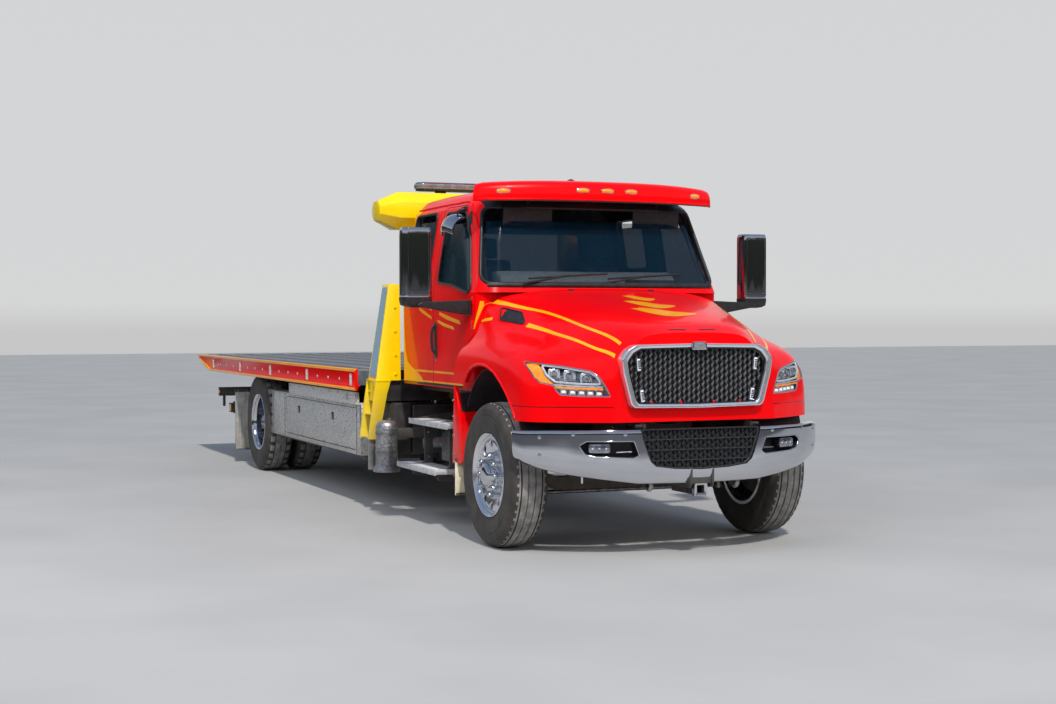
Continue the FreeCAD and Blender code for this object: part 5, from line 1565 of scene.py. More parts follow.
# rolled edges round the openings
for s in (-1, 1):
    P = densify([(s * x, z) for x, z in FOG] + [(s * FOG[0][0], FOG[0][1])], .02)[:-1]
    bparts.append(tube("lip", [(p[0], Y(by(p[0]) + .004), p[1]) for p in P], .0055, CHROME, 8, True, False))
    # pocket behind the opening with the lamp in it
    back = [(s * x, z) for x, z in FOG]
    v, f = [], []
    for p in P:
        v += [(p[0], Y(by(p[0]) + .006), p[1]), (p[0] * .99, Y(by(p[0]) + .095), p[1])]
    m = len(P)
    bparts.append(obj("pocket", v, [(2 * i, 2 * ((i + 1) % m), 2 * ((i + 1) % m) + 1, 2 * i + 1) for i in range(m)], BLACKP, 60))
    bparts.append(obj("back", [(p[0], Y(by(p[0]) + .090), p[1]) for p in P], [list(range(m))], BLACKP, 60))
    xc = .712
    n = Vector((s * .36, -1, 0)).normalized()
    c = Vector((s * xc, Y(by(xc) + .030), .748))
    body = prism("fog", rounded([(-.075, -.034), (.075, -.034), (.075, .034), (-.075, .034)], .018, 4), "y", -.008, .05, BLACKP, .004, 2)
    bez = prism("bez", rounded([(-.071, -.030), (.071, -.030), (.071, .030), (-.071, .030)], .016, 4), "y", -.011, .0, BOWL, .003, 2)
    for o in (body, bez):
        bparts.append(orient(o, c, n))
    for k in range(3):
        cup = lathe("cup", [(-.012, .020), (-.0125, .0175), (-.006, .010), (-.003, 0)], ((k - 1) * .045, 0, 0), CHROME, "y", 20)
        led = lathe_dome("led", ((k - 1) * .045, -.006, 0), (0, -1, 0), .009, .009, .006, WHITEL, 14, 3)
        for o in (cup, led):
            bparts.append(orient(o, c, n))
    ln = prism("l", rounded([(-.070, -.029), (.070, -.029), (.070, .029), (-.070, .029)], .016, 4), "y", -.018, -.013, LENS, .002, 2)
    bparts.append(orient(ln, c, n))
    # stamped slot and hose seen beside the lamp
    bparts.append(tube("bar", [(s * .50, Y(by(.5) + .045), .722), (s * .60, Y(by(.6) + .045), .720)], .006, STEEL, 8))
    for x, z in ((.560, .842), (1.060, .820), (.880, .842), (1.060, .700)):
        y = by(x)
        nn = Vector((s * (.15 if x < .7 else .75), -1, 0)).normalized()
        bparts.append(lathe_dome("bolt", (s * x, Y(y) - .0005, z), nn, .0135, .0135, .006, CHROME, 16, 4))
# black mesh between
def bhalf(z):
    return float(np.interp(z, [.596, .604, .622, .655, .70, .80, .874], [.05, .22, .345, .388, .404, .440, .456]))


bumpv = join(bparts, "visual_bumper")
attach(bumpv, "chassis")
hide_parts("bumper")
cg = [wavy("bars", bhalf, .604, .868, -.998, 28, MESHB, amp=.0050, per=.042, r=.0046, depth=2.0, step=.0065)]
cgp = [(x * 1.0, z - (.006 if z > .9 else 0)) for x, z in [(0, .872), (.456, .872), (.440, .800), (.404, .700), (.385, .655), (.345, .622), (.200, .604), (0, .597)]]
cg.append(prism("backing", sym2([(x * .995, z) for x, z in cgp]), "y", Y(-.985), Y(-.975), BLACKP))
for z in (.66, .73, .80):
    cg.append(bx("stay", -bhalf(z) * .985, bhalf(z) * .985, Y(-1.000), Y(-.990), z - .003, z + .003, MESHB, 0))
fo = rounded(sym2(cgp), .02, 3)
fi = rounded(sym2([(x * .962, .735 + (z - .735) * .93) for x, z in cgp]), .018, 3)
cg.append(ring("frame", fo, fi, -1.012, -.985, BLACKP, .003, 2))
cgv = join(cg, "visual_bumper_grille")
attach(cgv, "chassis")
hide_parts("bumper_grille")
# hitch bracket under the middle and the two tow hooks
br = []
for s in (-1, 1):
    br.append(prism("plate", [(Y(-1.034), .500), (Y(-1.034), .600), (Y(-.990), .612), (Y(-.70), .600), (Y(-.70), .47), (Y(-1.010), .470)], "x",
                    s * .082 - .008, s * .082 + .008, BLACKM, .003))
    br.append(tube("hook", [(s * .330, Y(-.74), .585), (s * .330, Y(-.80), .530), (s * .330, Y(-.85), .470), (s * .330, Y(-.895), .455), (s * .330, Y(-.925), .480),
                            (s * .330, Y(-.915), .520), (s * .330, Y(-.880), .528)], .016, STEEL, 12))
br.append(bx("cross", -.082, .082, Y(-1.020), Y(-.975), .498, .560, BLACKM, .006))
br.append(ring("receiver", rounded([(-.050, .412), (.050, .412), (.050, .504), (-.050, .504)], .012, 3),
               rounded([(-.027, .431), (.027, .431), (.027, .485), (-.027, .485)], .004, 3), -1.012, -.975, CHROME, .004, 2))
brv = join(br, "visual_front_hitch")
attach(brv, "chassis")


# valance seam and lower edge of the hood round the nose
def belt(name, z, a0, a1, w, material, lift=.001, n=60, cy=-.25):
    rows = []
    for k in range(n + 1):
        a = rad(a0 + (a1 - a0) * k / n)
        d = Vector((sin(a), -cos(a), 0))
        row = []
        for dz in (-w / 2, w / 2):
            h = hit(HB, tuple(Vector((0, Y(cy), z + dz)) + d * 3), tuple(-d))
            row.append(h[0] + h[1] * lift if h else None)
        if all(r is not None for r in row):
            rows.append(row)
    return smesh(name, rows, material, angle=60)


seam = []
for s in (-1, 1):
    seam.append(belt("seam", 1.0165, s * 42, s * 103 if False else s * 99, .0045, GLOSSB, .0008, 40))
sv = join(seam, "visual_hood_seams")
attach(sv, "hood")

# ------------------------------------------------------------------ CAD shapes with their edges eased
def eased(node, m, w=.005, seg=2, name=None, ang=30):
    """A copy of a CAD node with flat faces merged and edges bevelled."""
    src = frame["nodes"][node]
    me = src.data.copy()
    me.transform(src.matrix_world)
    me.materials.clear()
    me.materials.append(m)
    bm = bmesh.new()
    bm.from_mesh(me)
    bmesh.ops.remove_doubles(bm, verts=bm.verts, dist=1e-5)
    bmesh.ops.dissolve_limit(bm, angle_limit=rad(1.0), verts=bm.verts, edges=bm.edges)
    for f in bm.faces:
        f.material_index = 0
    bm.to_mesh(me)
    bm.free()
    o = link(bpy.data.objects.new(name or "visual_" + node, me))
    if w:
        md = o.modifiers.new("b", "BEVEL")
        md.width, md.segments, md.limit_method, md.angle_limit = w, seg, "ANGLE", rad(ang)
        md.use_clamp_overlap = True
        apply_all(o)
    finish_mesh(o.data, 38)
    return o


def put(o, body, *nodes):
    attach(o, body)
    if nodes:
        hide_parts(*nodes)
    return o


def bolt(c, n, r=.010, h=.007, m=STEEL):
    o = lathe("bolt", [(0, r), (-h * .7, r), (-h, r * .7), (-h, 0)], (0, 0, 0), m, "y", 6, 30)
    return orient(o, c, n)


# ------------------------------------------------------------------ mirrors
MX, MY = 1.420, .730


def mirror_obj():
    p = []
    out = rounded([(MX - .116, .712), (MX - .094, .674), (MX + .094, .674), (MX + .116, .712), (MX + .116, .783), (MX - .116, .783)], [.02, .03, .03, .02, .01, .01], 4)
    zs = [1.752, 1.756, 1.766, 1.788, 2.215, 2.250, 2.268, 2.275]
    sc = [.90, .95, .985, 1, 1, .985, .95, .90]
    v, f = [], []
    n = len(out)
    for z, k in zip(zs, sc):
        v += [(MX + (x - MX) * k, Y(.735 + (y - .735) * k), z) for x, y in out]
    for i in range(len(zs) - 1):
        for j in range(n):
            f.append((i * n + j, i * n + (j + 1) % n, (i + 1) * n + (j + 1) % n, (i + 1) * n + j))
    f.append(list(range(n))[::-1])
    f.append([(len(zs) - 1) * n + j for j in range(n)])
    p.append(obj("shell", v, f, CHROME, 36))
    # black foot of the housing, running into the arm
    v, f = [], []
    zs = [1.688, 1.694, 1.708, 1.742, 1.764]
    for z, k, dx in zip(zs, [.55, .80, .95, 1.01, 1.015], [-.03, -.015, 0, 0, 0]):
        v += [(MX + dx + (x - MX) * k, Y(.735 + (y - .735) * k), z) for x, y in out]
    for i in range(len(zs) - 1):
        for j in range(n):
            f.append((i * n + j, i * n + (j + 1) % n, (i + 1) * n + (j + 1) % n, (i + 1) * n + j))
    f.append(list(range(n))[::-1])
    f.append([(len(zs) - 1) * n + j for j in range(n)])
    p.append(obj("foot", v, f, BLACKP, 40))
    arm = prism("arm", rounded([(1.026, 1.745), (1.026, 1.631), (1.120, 1.644), (MX - .05, 1.688), (MX + .02, 1.702), (MX - .03, 1.732), (1.180, 1.738)], .02, 4),
                "y", Y(.672), Y(.742), BLACKP, .014, 4)
    p.append(arm)
    p.append(bx("base", 1.016, 1.030, Y(.655), Y(.760), 1.630, 1.746, BLACKP, .006, 3))
    # glass on the rear face: large flat one and a small wide-angle one below
    p.append(prism("bez", rounded([(MX - .108, 1.768), (MX + .108, 1.768), (MX + .108, 2.258), (MX - .108, 2.258)], .02, 4), "y", Y(.776), Y(.788), BLACKP, .004, 2))
    mm = mat("mirror_glass", (0.80, 0.84, 0.88), 0.03, 1.0, var=0.04, vscale=3, rvar=0.015)
    p.append(prism("g1", rounded([(MX - .098, 1.930), (MX + .098, 1.930), (MX + .098, 2.248), (MX - .098, 2.248)], .014, 4), "y", Y(.783), Y(.7905), mm, .002, 1))
    p.append(prism("g2", rounded([(MX - .098, 1.778), (MX + .098, 1.778), (MX + .098, 1.915), (MX - .098, 1.915)], .014, 4), "y", Y(.783), Y(.7905), mm, .002, 1))
    # seam in the chrome cap
    p.append(ring("seam", [(MX + (x - MX) * 1.0, z) for x, z in rounded([(MX - .080, 1.800), (MX + .080, 1.800), (MX + .080, 2.235), (MX - .080, 2.235)], .02, 4)],
                  [(x, z) for x, z in rounded([(MX - .077, 1.803), (MX + .077, 1.803), (MX + .077, 2.232), (MX - .077, 2.232)], .018, 4)], .6725, .676, STEEL, 0))
    return join(p)


m_l, m_r = both(mirror_obj(), "door_left", "door_right", "visual_mirror")
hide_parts("mirror_left"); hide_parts("mirror_right")
# small convex look-down mirror over the passenger's window, and the black fitting inside each front corner
ld = []
q = smooth2([(-.950, 2.412), (-1.005, 2.400), (-1.050, 2.365), (-1.072, 2.315), (-1.070, 2.272)], 4)
v, f = [], []
n = 11
for i, (x, z) in enumerate(q):
    for k in range(n):
        u = 2 * k / (n - 1) - 1
        w = .135 * (1 - .10 * (i / (len(q) - 1)))
        v.append((x + .035 * u * u, Y(1.125 + w * u), z - .030 * u * u))
for i in range(len(q) - 1):
    for k in range(n - 1):
        f.append((i * n + k, i * n + k + 1, (i + 1) * n + k + 1, (i + 1) * n + k))
sh = obj("look", v, f, CHROME, 50)
md = sh.modifiers.new("t", "SOLIDIFY"); md.thickness = .018; apply_all(sh); bevel(sh, .005, 3, 40)
ld.append(sh)
ld.append(tube("b", [(-.918, Y(1.03), 2.445), (-.950, Y(1.03), 2.440), (-.985, Y(1.05), 2.405)], .014, BLACKP, 10))
ld.append(bx("bb", -.935, -.900, Y(.995), Y(1.075), 2.430, 2.462, BLACKP, .006, 3))
put(join(ld, "visual_look_down_mirror"), "door_right")
for s, nm in ((1, "left"), (-1, "right")):
    o = lathe_dome("fit", (0, 0, 0), (s, 0, .14), .042, .082, .012, BLACKP, 24, 4)
    move(o, (s * .9215, Y(.925), 2.345))
    o.name = "visual_door_fitting_" + nm
    put(o, "door_" + nm)

# ------------------------------------------------------------------ splash panels, inner fenders, front flaps
sp = []
pan = rounded([(.765, .530), (.572, .540), (.574, .640), (.592, .800), (.628, .950), (.676, 1.060), (.726, 1.120), (.741, .900)], [.02, .02, .03, .1, .1, .05, .01, .1], 4)
for s in (-1, 1):
    rows = []
    g = prism("skin", [(Y(y), z) for y, z in pan], "x", s * 1.128 if s < 0 else 1.098, -1.098 if s < 0 else 1.128, RED, .008, 3)
    sp.append(g)
    # the wheel-side return of the panel
    pts = smooth2([(.572, .545), (.574, .640), (.590, .780), (.618, .920)], 5)
    v, f = [], []
    for y, z in pts:
        v += [(s * 1.110, Y(y), z), (s * .700, Y(y + .030), z)]
    f = [(2 * i, 2 * i + 1, 2 * i + 3, 2 * i + 2) for i in range(len(pts) - 1)]
    o = obj("liner", v, f, RED, 60)
    md = o.modifiers.new("t", "SOLIDIFY"); md.thickness = .006; apply_all(o)
    sp.append(o)
    v = [(s * (1.108 if i % 2 == 0 else .700), Y(y + (0 if i % 2 == 0 else .030)), z) for y, z in ((.620, .925), (.628, .950), (.676, 1.055)) for i in (0, 1)]
    o = obj("upper", v, [(0, 1, 3, 2), (2, 3, 5, 4)], BLACKP, 60)
    md = o.modifiers.new("t", "SOLIDIFY"); md.thickness = .006; apply_all(o)
    sp.append(o)
    sp.append(bx("back", s * .66, s * 1.10, Y(.690), Y(.700), .540, 1.060, BLACKP, .003))
    sp.append(bx("brace", s * .440, s * .70, Y(.694), Y(.712), .800, .860, BLACKM, .003))
    for z in (.60, .74, .88, 1.0):
        sp.append(bolt((s * 1.1285, Y(.742), z), (s, 0, 0), .009, .006))
put(join(sp, "visual_splash_panels"), "chassis", "splash_panels")
lin = []
for s in (-1, 1):
    v, f = [], []
    K = 26
    for k in range(K + 1):
        t = rad(28 + (168 - 28) * k / K)
        cy, cz, ry, rz = .035, .706, .552, .556
        y, z = cy + ry * cos(t), cz + rz * sin(t)
        v += [(s * .560, Y(y), z), (s * 1.100, Y(y), z)]
    for k in range(K):
        f.append((2 * k, 2 * k + 1, 2 * k + 3, 2 * k + 2))
    f.append([2 * k for k in range(K + 1)])
    o = obj("inner_fender", v, f, BLACKP, 60)
    md = o.modifiers.new("t", "SOLIDIFY"); md.thickness = .005; apply_all(o)
    lin.append(o)
put(join(lin, "visual_inner_fenders"), "hood")

fl = []
for s in (-1, 1):
    ff = []
    for k in range(9):
        u = k / 8
        ff.append(u)
    fl.append(bx("flap", s * .830, s * 1.140, Y(.668), Y(.676), .300, .560, CREAM, .003, 2))
    fl.append(bx("bar", s * .825, s * 1.145, Y(.662), Y(.684), .548, .572, CHROME, .004, 2))
    fl.append(bx("weight", s * .835, s * 1.135, Y(.664), Y(.680), .302, .318, BLACKM, .003, 2))
    for x in (.850, .985, 1.125):
        fl.append(bolt((s * x, Y(.662), .560), (0, -1, 0), .008, .006))
    # rear flaps: ribbed sheet, anti-spray ridges, hanger bar and stay
    v, f = [], []
    X = np.linspace(.655, 1.232, 60)
    for x in X:
        w = .0012 * (1 if int((x - .655) / .0192) % 2 else -1)
        v += [(s * x, Y(7.506) + w, .135), (s * x, Y(7.506) + w, .790)]
    f = [(2 * i, 2 * i + 1, 2 * i + 3, 2 * i + 2) for i in range(len(X) - 1)]
    o = obj("rflap", v, f, FLAP, 20)
    md = o.modifiers.new("t", "SOLIDIFY"); md.thickness = .006; apply_all(o)
    fl.append(o)
    fl.append(bx("hang", s * .440, s * 1.235, Y(7.498), Y(7.530), .782, .822, BLACKM, .006, 2))
    fl.append(bx("weight", s * .660, s * 1.228, Y(7.497), Y(7.515), .136, .158, STEEL, .003, 2))
    for k in range(6):
        fl.append(bolt((s * (.700 + .10 * k), Y(7.496), .800), (0, -1, 0), .010, .007))
put(join(fl, "visual_mudflaps"), "chassis", "mudflaps")

# ------------------------------------------------------------------ steps, tanks and the gear under the cab
STEPM = mat("step_alloy", (0.66, 0.66, 0.67), 0.45, 0.30, color2=(0.46, 0.46, 0.47), vscale=30, rvar=0.1, bump=0.2, bscale=90, bdist=0.0008)
st = []
TREADS = [(.900, 1.800, .775, .810, .900, 1.120), (1.060, 1.980, .415, .450, .930, 1.160)]
for s in (-1, 1):
    for y0, y1, z0, z1, x0, x1 in TREADS:
        st.append(bx("tread", s * x0, s * x1, Y(y0), Y(y1), z0, z1 - .004, STEPM, .006, 3))
        # raised grip ridges
        r = bx("ridge", s * (x0 + .012), s * (x1 - .014), -.004, .004, -.004, .004, STEPM, .002, 1)
        n_ = int((y1 - y0 - .04) / .024)
        r = array(r, [(0, Y(y0 + .02 + .024 * (k + .5)), z1 - .003) for k in range(n_)])
        st.append(r)
        st.append(bx("nose", s * (x1 - .010), s * (x1 + .002), Y(y0), Y(y1), z0 - .006, z1 + .002, STEPM, .004, 2))
    for y in (1.140, 1.720):
        st.append(prism("hanger", rounded([(s * .434, .700), (s * .434, .900), (s * 1.090, .812), (s * 1.090, .770), (s * 1.010, .740), (s * 1.010, .452), (s * 1.110, .452),
                                           (s * 1.110, .360), (s * .940, .360), (s * .940, .660)], .03, 4), "y", Y(y), Y(y + .022), BLACKM, .003, 2))
        for p_ in ((.980, .700), (.975, .500), (.975, .400), (.620, .760), (.500, .800)):
            st.append(bolt((s * p_[0], Y(y), p_[1]), (0, -1, 0), .011, .008))
put(join(st, "visual_cab_steps"), "chassis", "cab_steps")

tk = []
prof = [(0, 0), (0, .255), (.006, .268), (.018, .2745), (.722, .2745), (.734, .268), (.740, .255), (.740, 0)]
tk.append(lathe("tank", prof, (.785, Y(2.030), .590), POLISH, "y", 64, 30))
for y in (2.030, 2.770):
    tk.append(lathe("dish", [(0, .235), ((-.004 if y < 2.1 else .004), .225), ((.004 if y < 2.1 else -.004), .215), ((.004 if y < 2.1 else -.004), 0)], (.785, Y(y), .590), POLISH, "y", 48, 30))
for y in (2.140, 2.610):
    tk.append(lathe("strap", [(0, .2750), (.002, .2830), (.043, .2830), (.045, .2750)], (.785, Y(y), .590), ALU2, "y", 64, 30))
    tk.append(bx("arm", .434, .560, Y(y), Y(y + .045), .640, .880, BLACKM, .004))
    tk.append(bx("arm2", .434, .80, Y(y), Y(y + .045), .290, .330, BLACKM, .004))
tk.append(cylo("cap", .052, .0, .034, (.930, Y(2.400), .812), CHROME, "z", 28))
tk.append(cylo("neck", .040, -.05, .006, (.930, Y(2.400), .812), ALU2, "z", 24))
put(join(tk, "visual_fuel_tank"), "chassis", "fuel_tank")

cn = []
CX, CY = -1.168, 2.225
cn.append(lathe("can", [(.345, 0), (.345, .110), (.352, .112), (.364, .111), (.392, .094), (.400, .090), (.548, .090), (.551, .093), (.563, .093), (.566, .090),
                        (.690, .090), (.693, .0935), (.703, .0935), (.706, .090), (.724, .088), (.744, .080), (.760, .064), (.768, .040), (.770, 0)],
                (CX, Y(CY), 0), ALU, "z", 48, 28))
cn.append(bx("bracket", -1.100, -.434, Y(2.185), Y(2.265), .620, .700, BLACKM, .006))
cn.append(lathe("clamp", [(.500, .0905), (.500, .0935), (.520, .0935), (.520, .0905)], (CX, Y(CY), 0), STEEL, "z", 40, 28))
cn.append(lathe("clamp", [(.652, .0905), (.652, .0935), (.672, .0935), (.672, .0905)], (CX, Y(CY), 0), STEEL, "z", 40, 28))
cn.append(cylo("plug", .018, .768, .786, (CX + .03, Y(CY), 0), STEEL, "z", 14))
# guard plate behind it, under the pylon leg
cn.append(bx("guard", -1.262, -1.168, Y(2.430), Y(2.436), .345, .600, ALU2, .003))
cn.append(bx("guard2", -1.180, -1.170, Y(2.430), Y(2.620), .345, .600, ALU2, .003))
# black box inboard of it
cn.append(bx("box", -1.060, -.910, Y(2.345), Y(2.700), .470, .900, BLACKM, .010, 3))
put(join(cn, "visual_canister"), "chassis", "exhaust_canister")
hb = [eased("hydraulic_tank", BLACKM, .010, 3)]
for z in (.56, .68, .80):
    hb.append(bx("rib", -.903, -.899, Y(2.34), Y(2.77), z - .008, z + .008, BLACKM, .002))
hb.append(cylo("cap", .045, 0, .035, (-.62, Y(2.55), .878), CHROME, "z", 24))
hb.append(lathe("gauge", [(0, .0), (-.004, .022), (0, .026)], (-.80, Y(2.330), .70), LENS, "y", 20))
put(join(hb, "visual_hydraulic_tank"), "chassis", "hydraulic_tank")

un = []
# treadplate battery box and filter housing behind the steps on the right, air tanks, cross pipe, wiring
TREADP = mat("treadplate", (0.42, 0.42, 0.43), 0.35, 0.9, color2=(0.10, 0.10, 0.10), vscale=36, kind="voronoi", ramp=(0.10, 0.45), rvar=0.1, bump=0.9, bscale=60, bdist=0.003)
un.append(bx("battery", -.880, -.455, Y(1.190), Y(1.690), .470, .735, TREADP, .010, 3))
un.append(bx("lid", -.888, -.455, Y(1.182), Y(1.698), .705, .748, BLACKP, .010, 3))
un.append(bx("batt2", .455, .880, Y(1.190), Y(1.690), .470, .735, TREADP, .010, 3))
un.append(bx("lid2", .455, .888, Y(1.182), Y(1.698), .705, .748, BLACKP, .010, 3))
for x in (-.30, -.12):
    un.append(lathe("airtank", [(0, 0), (.010, .070), (.035, .095), (.60, .095), (.625, .070), (.635, 0)], (x, Y(3.300), .775), BLACKM, "y", 28, 30))
un.append(lathe("filter", [(0, 0), (0, .075), (.20, .075), (.215, .05), (.215, 0)], (-.66, Y(.900), .745), STEEL, "y", 28, 30))
un.append(tube("pipe", [(-.60, Y(.80), 1.010), (-.62, Y(1.20), .985), (-.62, Y(1.80), .985), (-.60, Y(2.20), .960)], .030, mat("pipe_green", (0.10, 0.14, 0.05), 0.45, 0.4, color2=(0.16, 0.17, 0.08), vscale=20), 12))
un.append(tube("exh", [(-.20, Y(1.00), .62), (-.22, Y(1.60), .60), (-.60, Y(1.95), .60), (-.90, Y(2.08), .58)], .045, STEEL, 14))
for k in range(4):
    un.append(tube("hose", [(.30 - .02 * k, Y(1.35), .93), (.30 - .02 * k, Y(2.20), .93 + .008 * k), (.34, Y(2.75), .908), (.34 + .01 * k, Y(3.6), .908)], .008, BLACKP, 6))
# cab floor frame seen from below and behind the wheel
for s in (-1, 1):
    un.append(bx("sill", s * .78, s * .86, Y(.74), Y(2.20), 1.020, 1.068, BLACKM, .006))
    for y in (1.14, 2.12):
        un.append(cylo("mount", .045, -.03, .05, (s * .395, Y(y), .945), BLACKP, "z", 20))
un.append(bx("tunnel", -.62, .62, Y(.70), Y(2.20), 1.035, 1.068, BLACKM, .006))
# radiator support, shock absorbers, springs' U bolts
for s in (-1, 1):
    for yc, xc, z0, z1 in ((0, .394, .470, .585), (6.5, .484, .452, .705)):
        for dy in (-.055, .055):
            for dx in (-.042, .042):
                un.append(cylo("ubolt", .010, 0, z1 - z0, (s * (xc + dx), Y(yc + dy), z0), STEEL, "z", 10))
    un.append(cylo("shock", .032, 0, .27, (s * .505, Y(-.185), .56), BLACKM, "z", 16))
    un.append(cylo("shockrod", .014, -.12, 0, (s * .505, Y(-.185), .56), CHROME, "z", 12))
un.append(bx("support", -.50, .50, Y(-.70), Y(-.64), .93, 1.30, BLACKM, .01))
un.append(bx("core", -.44, .44, Y(-.640), Y(-.560), .95, 1.34, RADI, .006))
un.append(cylo("fan", .27, 0, .04, (0, Y(-.50), 1.13), BLACKP, "y", 32))
un.append(tube("hosetop", [(-.18, Y(-.56), 1.33), (-.16, Y(-.40), 1.385), (-.10, Y(-.20), 1.37)], .032, BLACKP, 12))
un.append(bx("aircleaner", -.55, -.32, Y(.02), Y(.40), 1.12, 1.40, BLACKP, .02, 3))
un.append(bx("valve_cover", -.20, .20, Y(-.26), Y(.45), 1.325, 1.395, ALU2, .02, 3))
put(join(un, "visual_under_cab"), "chassis")

# ------------------------------------------------------------------ pylon and light bar
py = [eased("pylon", YELLOW, .006, 2)]
# the cross member under the deck, between the legs, is black
py[0].data.materials.append(BLACKM)
pb = bmesh.new()
pb.from_mesh(py[0].data)
bmesh.ops.bisect_plane(pb, geom=pb.verts[:] + pb.edges[:] + pb.faces[:], plane_co=(0, 0, 1.089), plane_no=(0, 0, 1))
pb.to_mesh(py[0].data)
pb.free()
for q in py[0].data.polygons:
    if q.center.z < 1.089 and (abs(q.center.x) < 1.062 or (Y(2.424) < q.center.y < Y(2.636) and q.center.z > .90 and abs(q.normal.x) < .5)):
        q.material_index = 1
for s in (-1, 1):
    # reflective panel let into the outboard face of each upper leg
    def face_x(z):
        return 1.200 + (1.082 - 1.200) * (z - 1.085) / (1.895 - 1.085)
    z0, z1 = 1.115, 1.870
    def fy(z):
        k = (z - 1.085) / .81
        return 2.400 + .020 * k, 2.660 - .040 * k
    v = []
    for z in (z0, z1):
        a, b = fy(z)
        x0f = 1.200 + (1.082 - 1.200) * (z - 1.085) / .81
        x1f = 1.190 + (1.072 - 1.190) * (z - 1.085) / .81
        for u in (.10, .90):
            v.append((s * (x0f + (x1f - x0f) * u + .0025), Y(a + (b - a) * u), z))
    py.append(obj("panel", v, [(0, 1, 3, 2)], REFL, 30))
    for k in range(7):
        z = z0 + .05 + .108 * k
        a, b = fy(z)
        x_ = 1.200 + (1.082 - 1.200) * (z - 1.085) / .81
        for u in (.13, .87):
            py.append(lathe_dome("rivet", (s * (x_ - .010 * u + .003), Y(a + (b - a) * u), z), (s, 0, .14), .006, .006, .003, STEEL, 8, 2))
    # collar under the upper leg
    py.append(bx("collar", s * 1.080, s * 1.206, Y(2.396), Y(2.664), 1.078, 1.096, YELLOW, .004, 2))
    for z in (1.14, 1.30, 1.50, 1.70):
        py.append(bolt((s * 1.03, Y(2.398 + .02 * (z - 1.085) / .81), z), (0, -1, 0), .011, .008, YELLOW))
    # work lamps on the back of the head
    for x in (.25, .75):
        b = bx("worklamp", -.075, .075, Y(2.852), Y(2.892), 2.455, 2.535, BLACKP, .010, 3)
        move(b, (s * x, 0, 0))
        py.append(b)
        g = bx("wl", -.062, .062, Y(2.890), Y(2.897), 2.466, 2.524, WHITEL, .006, 2)
        move(g, (s * x, 0, 0))
        py.append(g)
put(join(py, "visual_pylon"), "chassis", "pylon")

lb = []
outl = rounded([(-.742, 2.700), (-.700, 2.654), (.700, 2.654), (.742, 2.700), (.742, 2.760), (.700, 2.806), (-.700, 2.806), (-.742, 2.760)], .03, 4)
GREYL = mat("bar_grey", (0.46, 0.47, 0.50), 0.28, 0.7, color2=(0.34, 0.35, 0.38), vscale=14, rvar=0.06)


def slab(z0, z1, k, m, bev=.004):
    return prism("slab", [(x * k, Y(2.73 + (y - 2.73) * (1 - (1 - k) * 3))) for x, y in outl], "z", z0, z1, m, bev, 2)


lb.append(slab(2.706, 2.722, .985, BLACKP))
lb.append(slab(2.722, 2.766, 1.0, GREYL, .008))
lb.append(slab(2.764, 2.7785, .985, CHROME, .005))
for s in (-1, 1):
    for k in range(5):
        x = s * (.085 + .135 * k)
        for yy, n in ((2.6535, -1), (2.8065, 1)):
            lb.append(bx("mod", x - .052, x + .052, Y(yy - .003), Y(yy + .003), 2.730, 2.759, LENS, .002, 1))
            lb.append(bx("reflector", x - .048, x + .048, Y(yy + (.002 if n < 0 else -.006)), Y(yy + (.006 if n < 0 else -.002)), 2.733, 2.756, BOWL, .001, 1))
    lb.append(bx("foot", s * .470, s * .550, Y(2.690), Y(2.770), 2.676, 2.708, BLACKP, .006, 2))
    lb.append(lathe_dome("end", (s * .738, Y(2.73), 2.744), (s, 0, 0), .040, .018, .006, LENS, 16, 3))
lb.append(bx("spine", -.60, .60, Y(2.722), Y(2.738), 2.7775, 2.7795, BLACKP, .001, 1))
put(join(lb, "visual_light_bar"), "chassis", "light_bar")

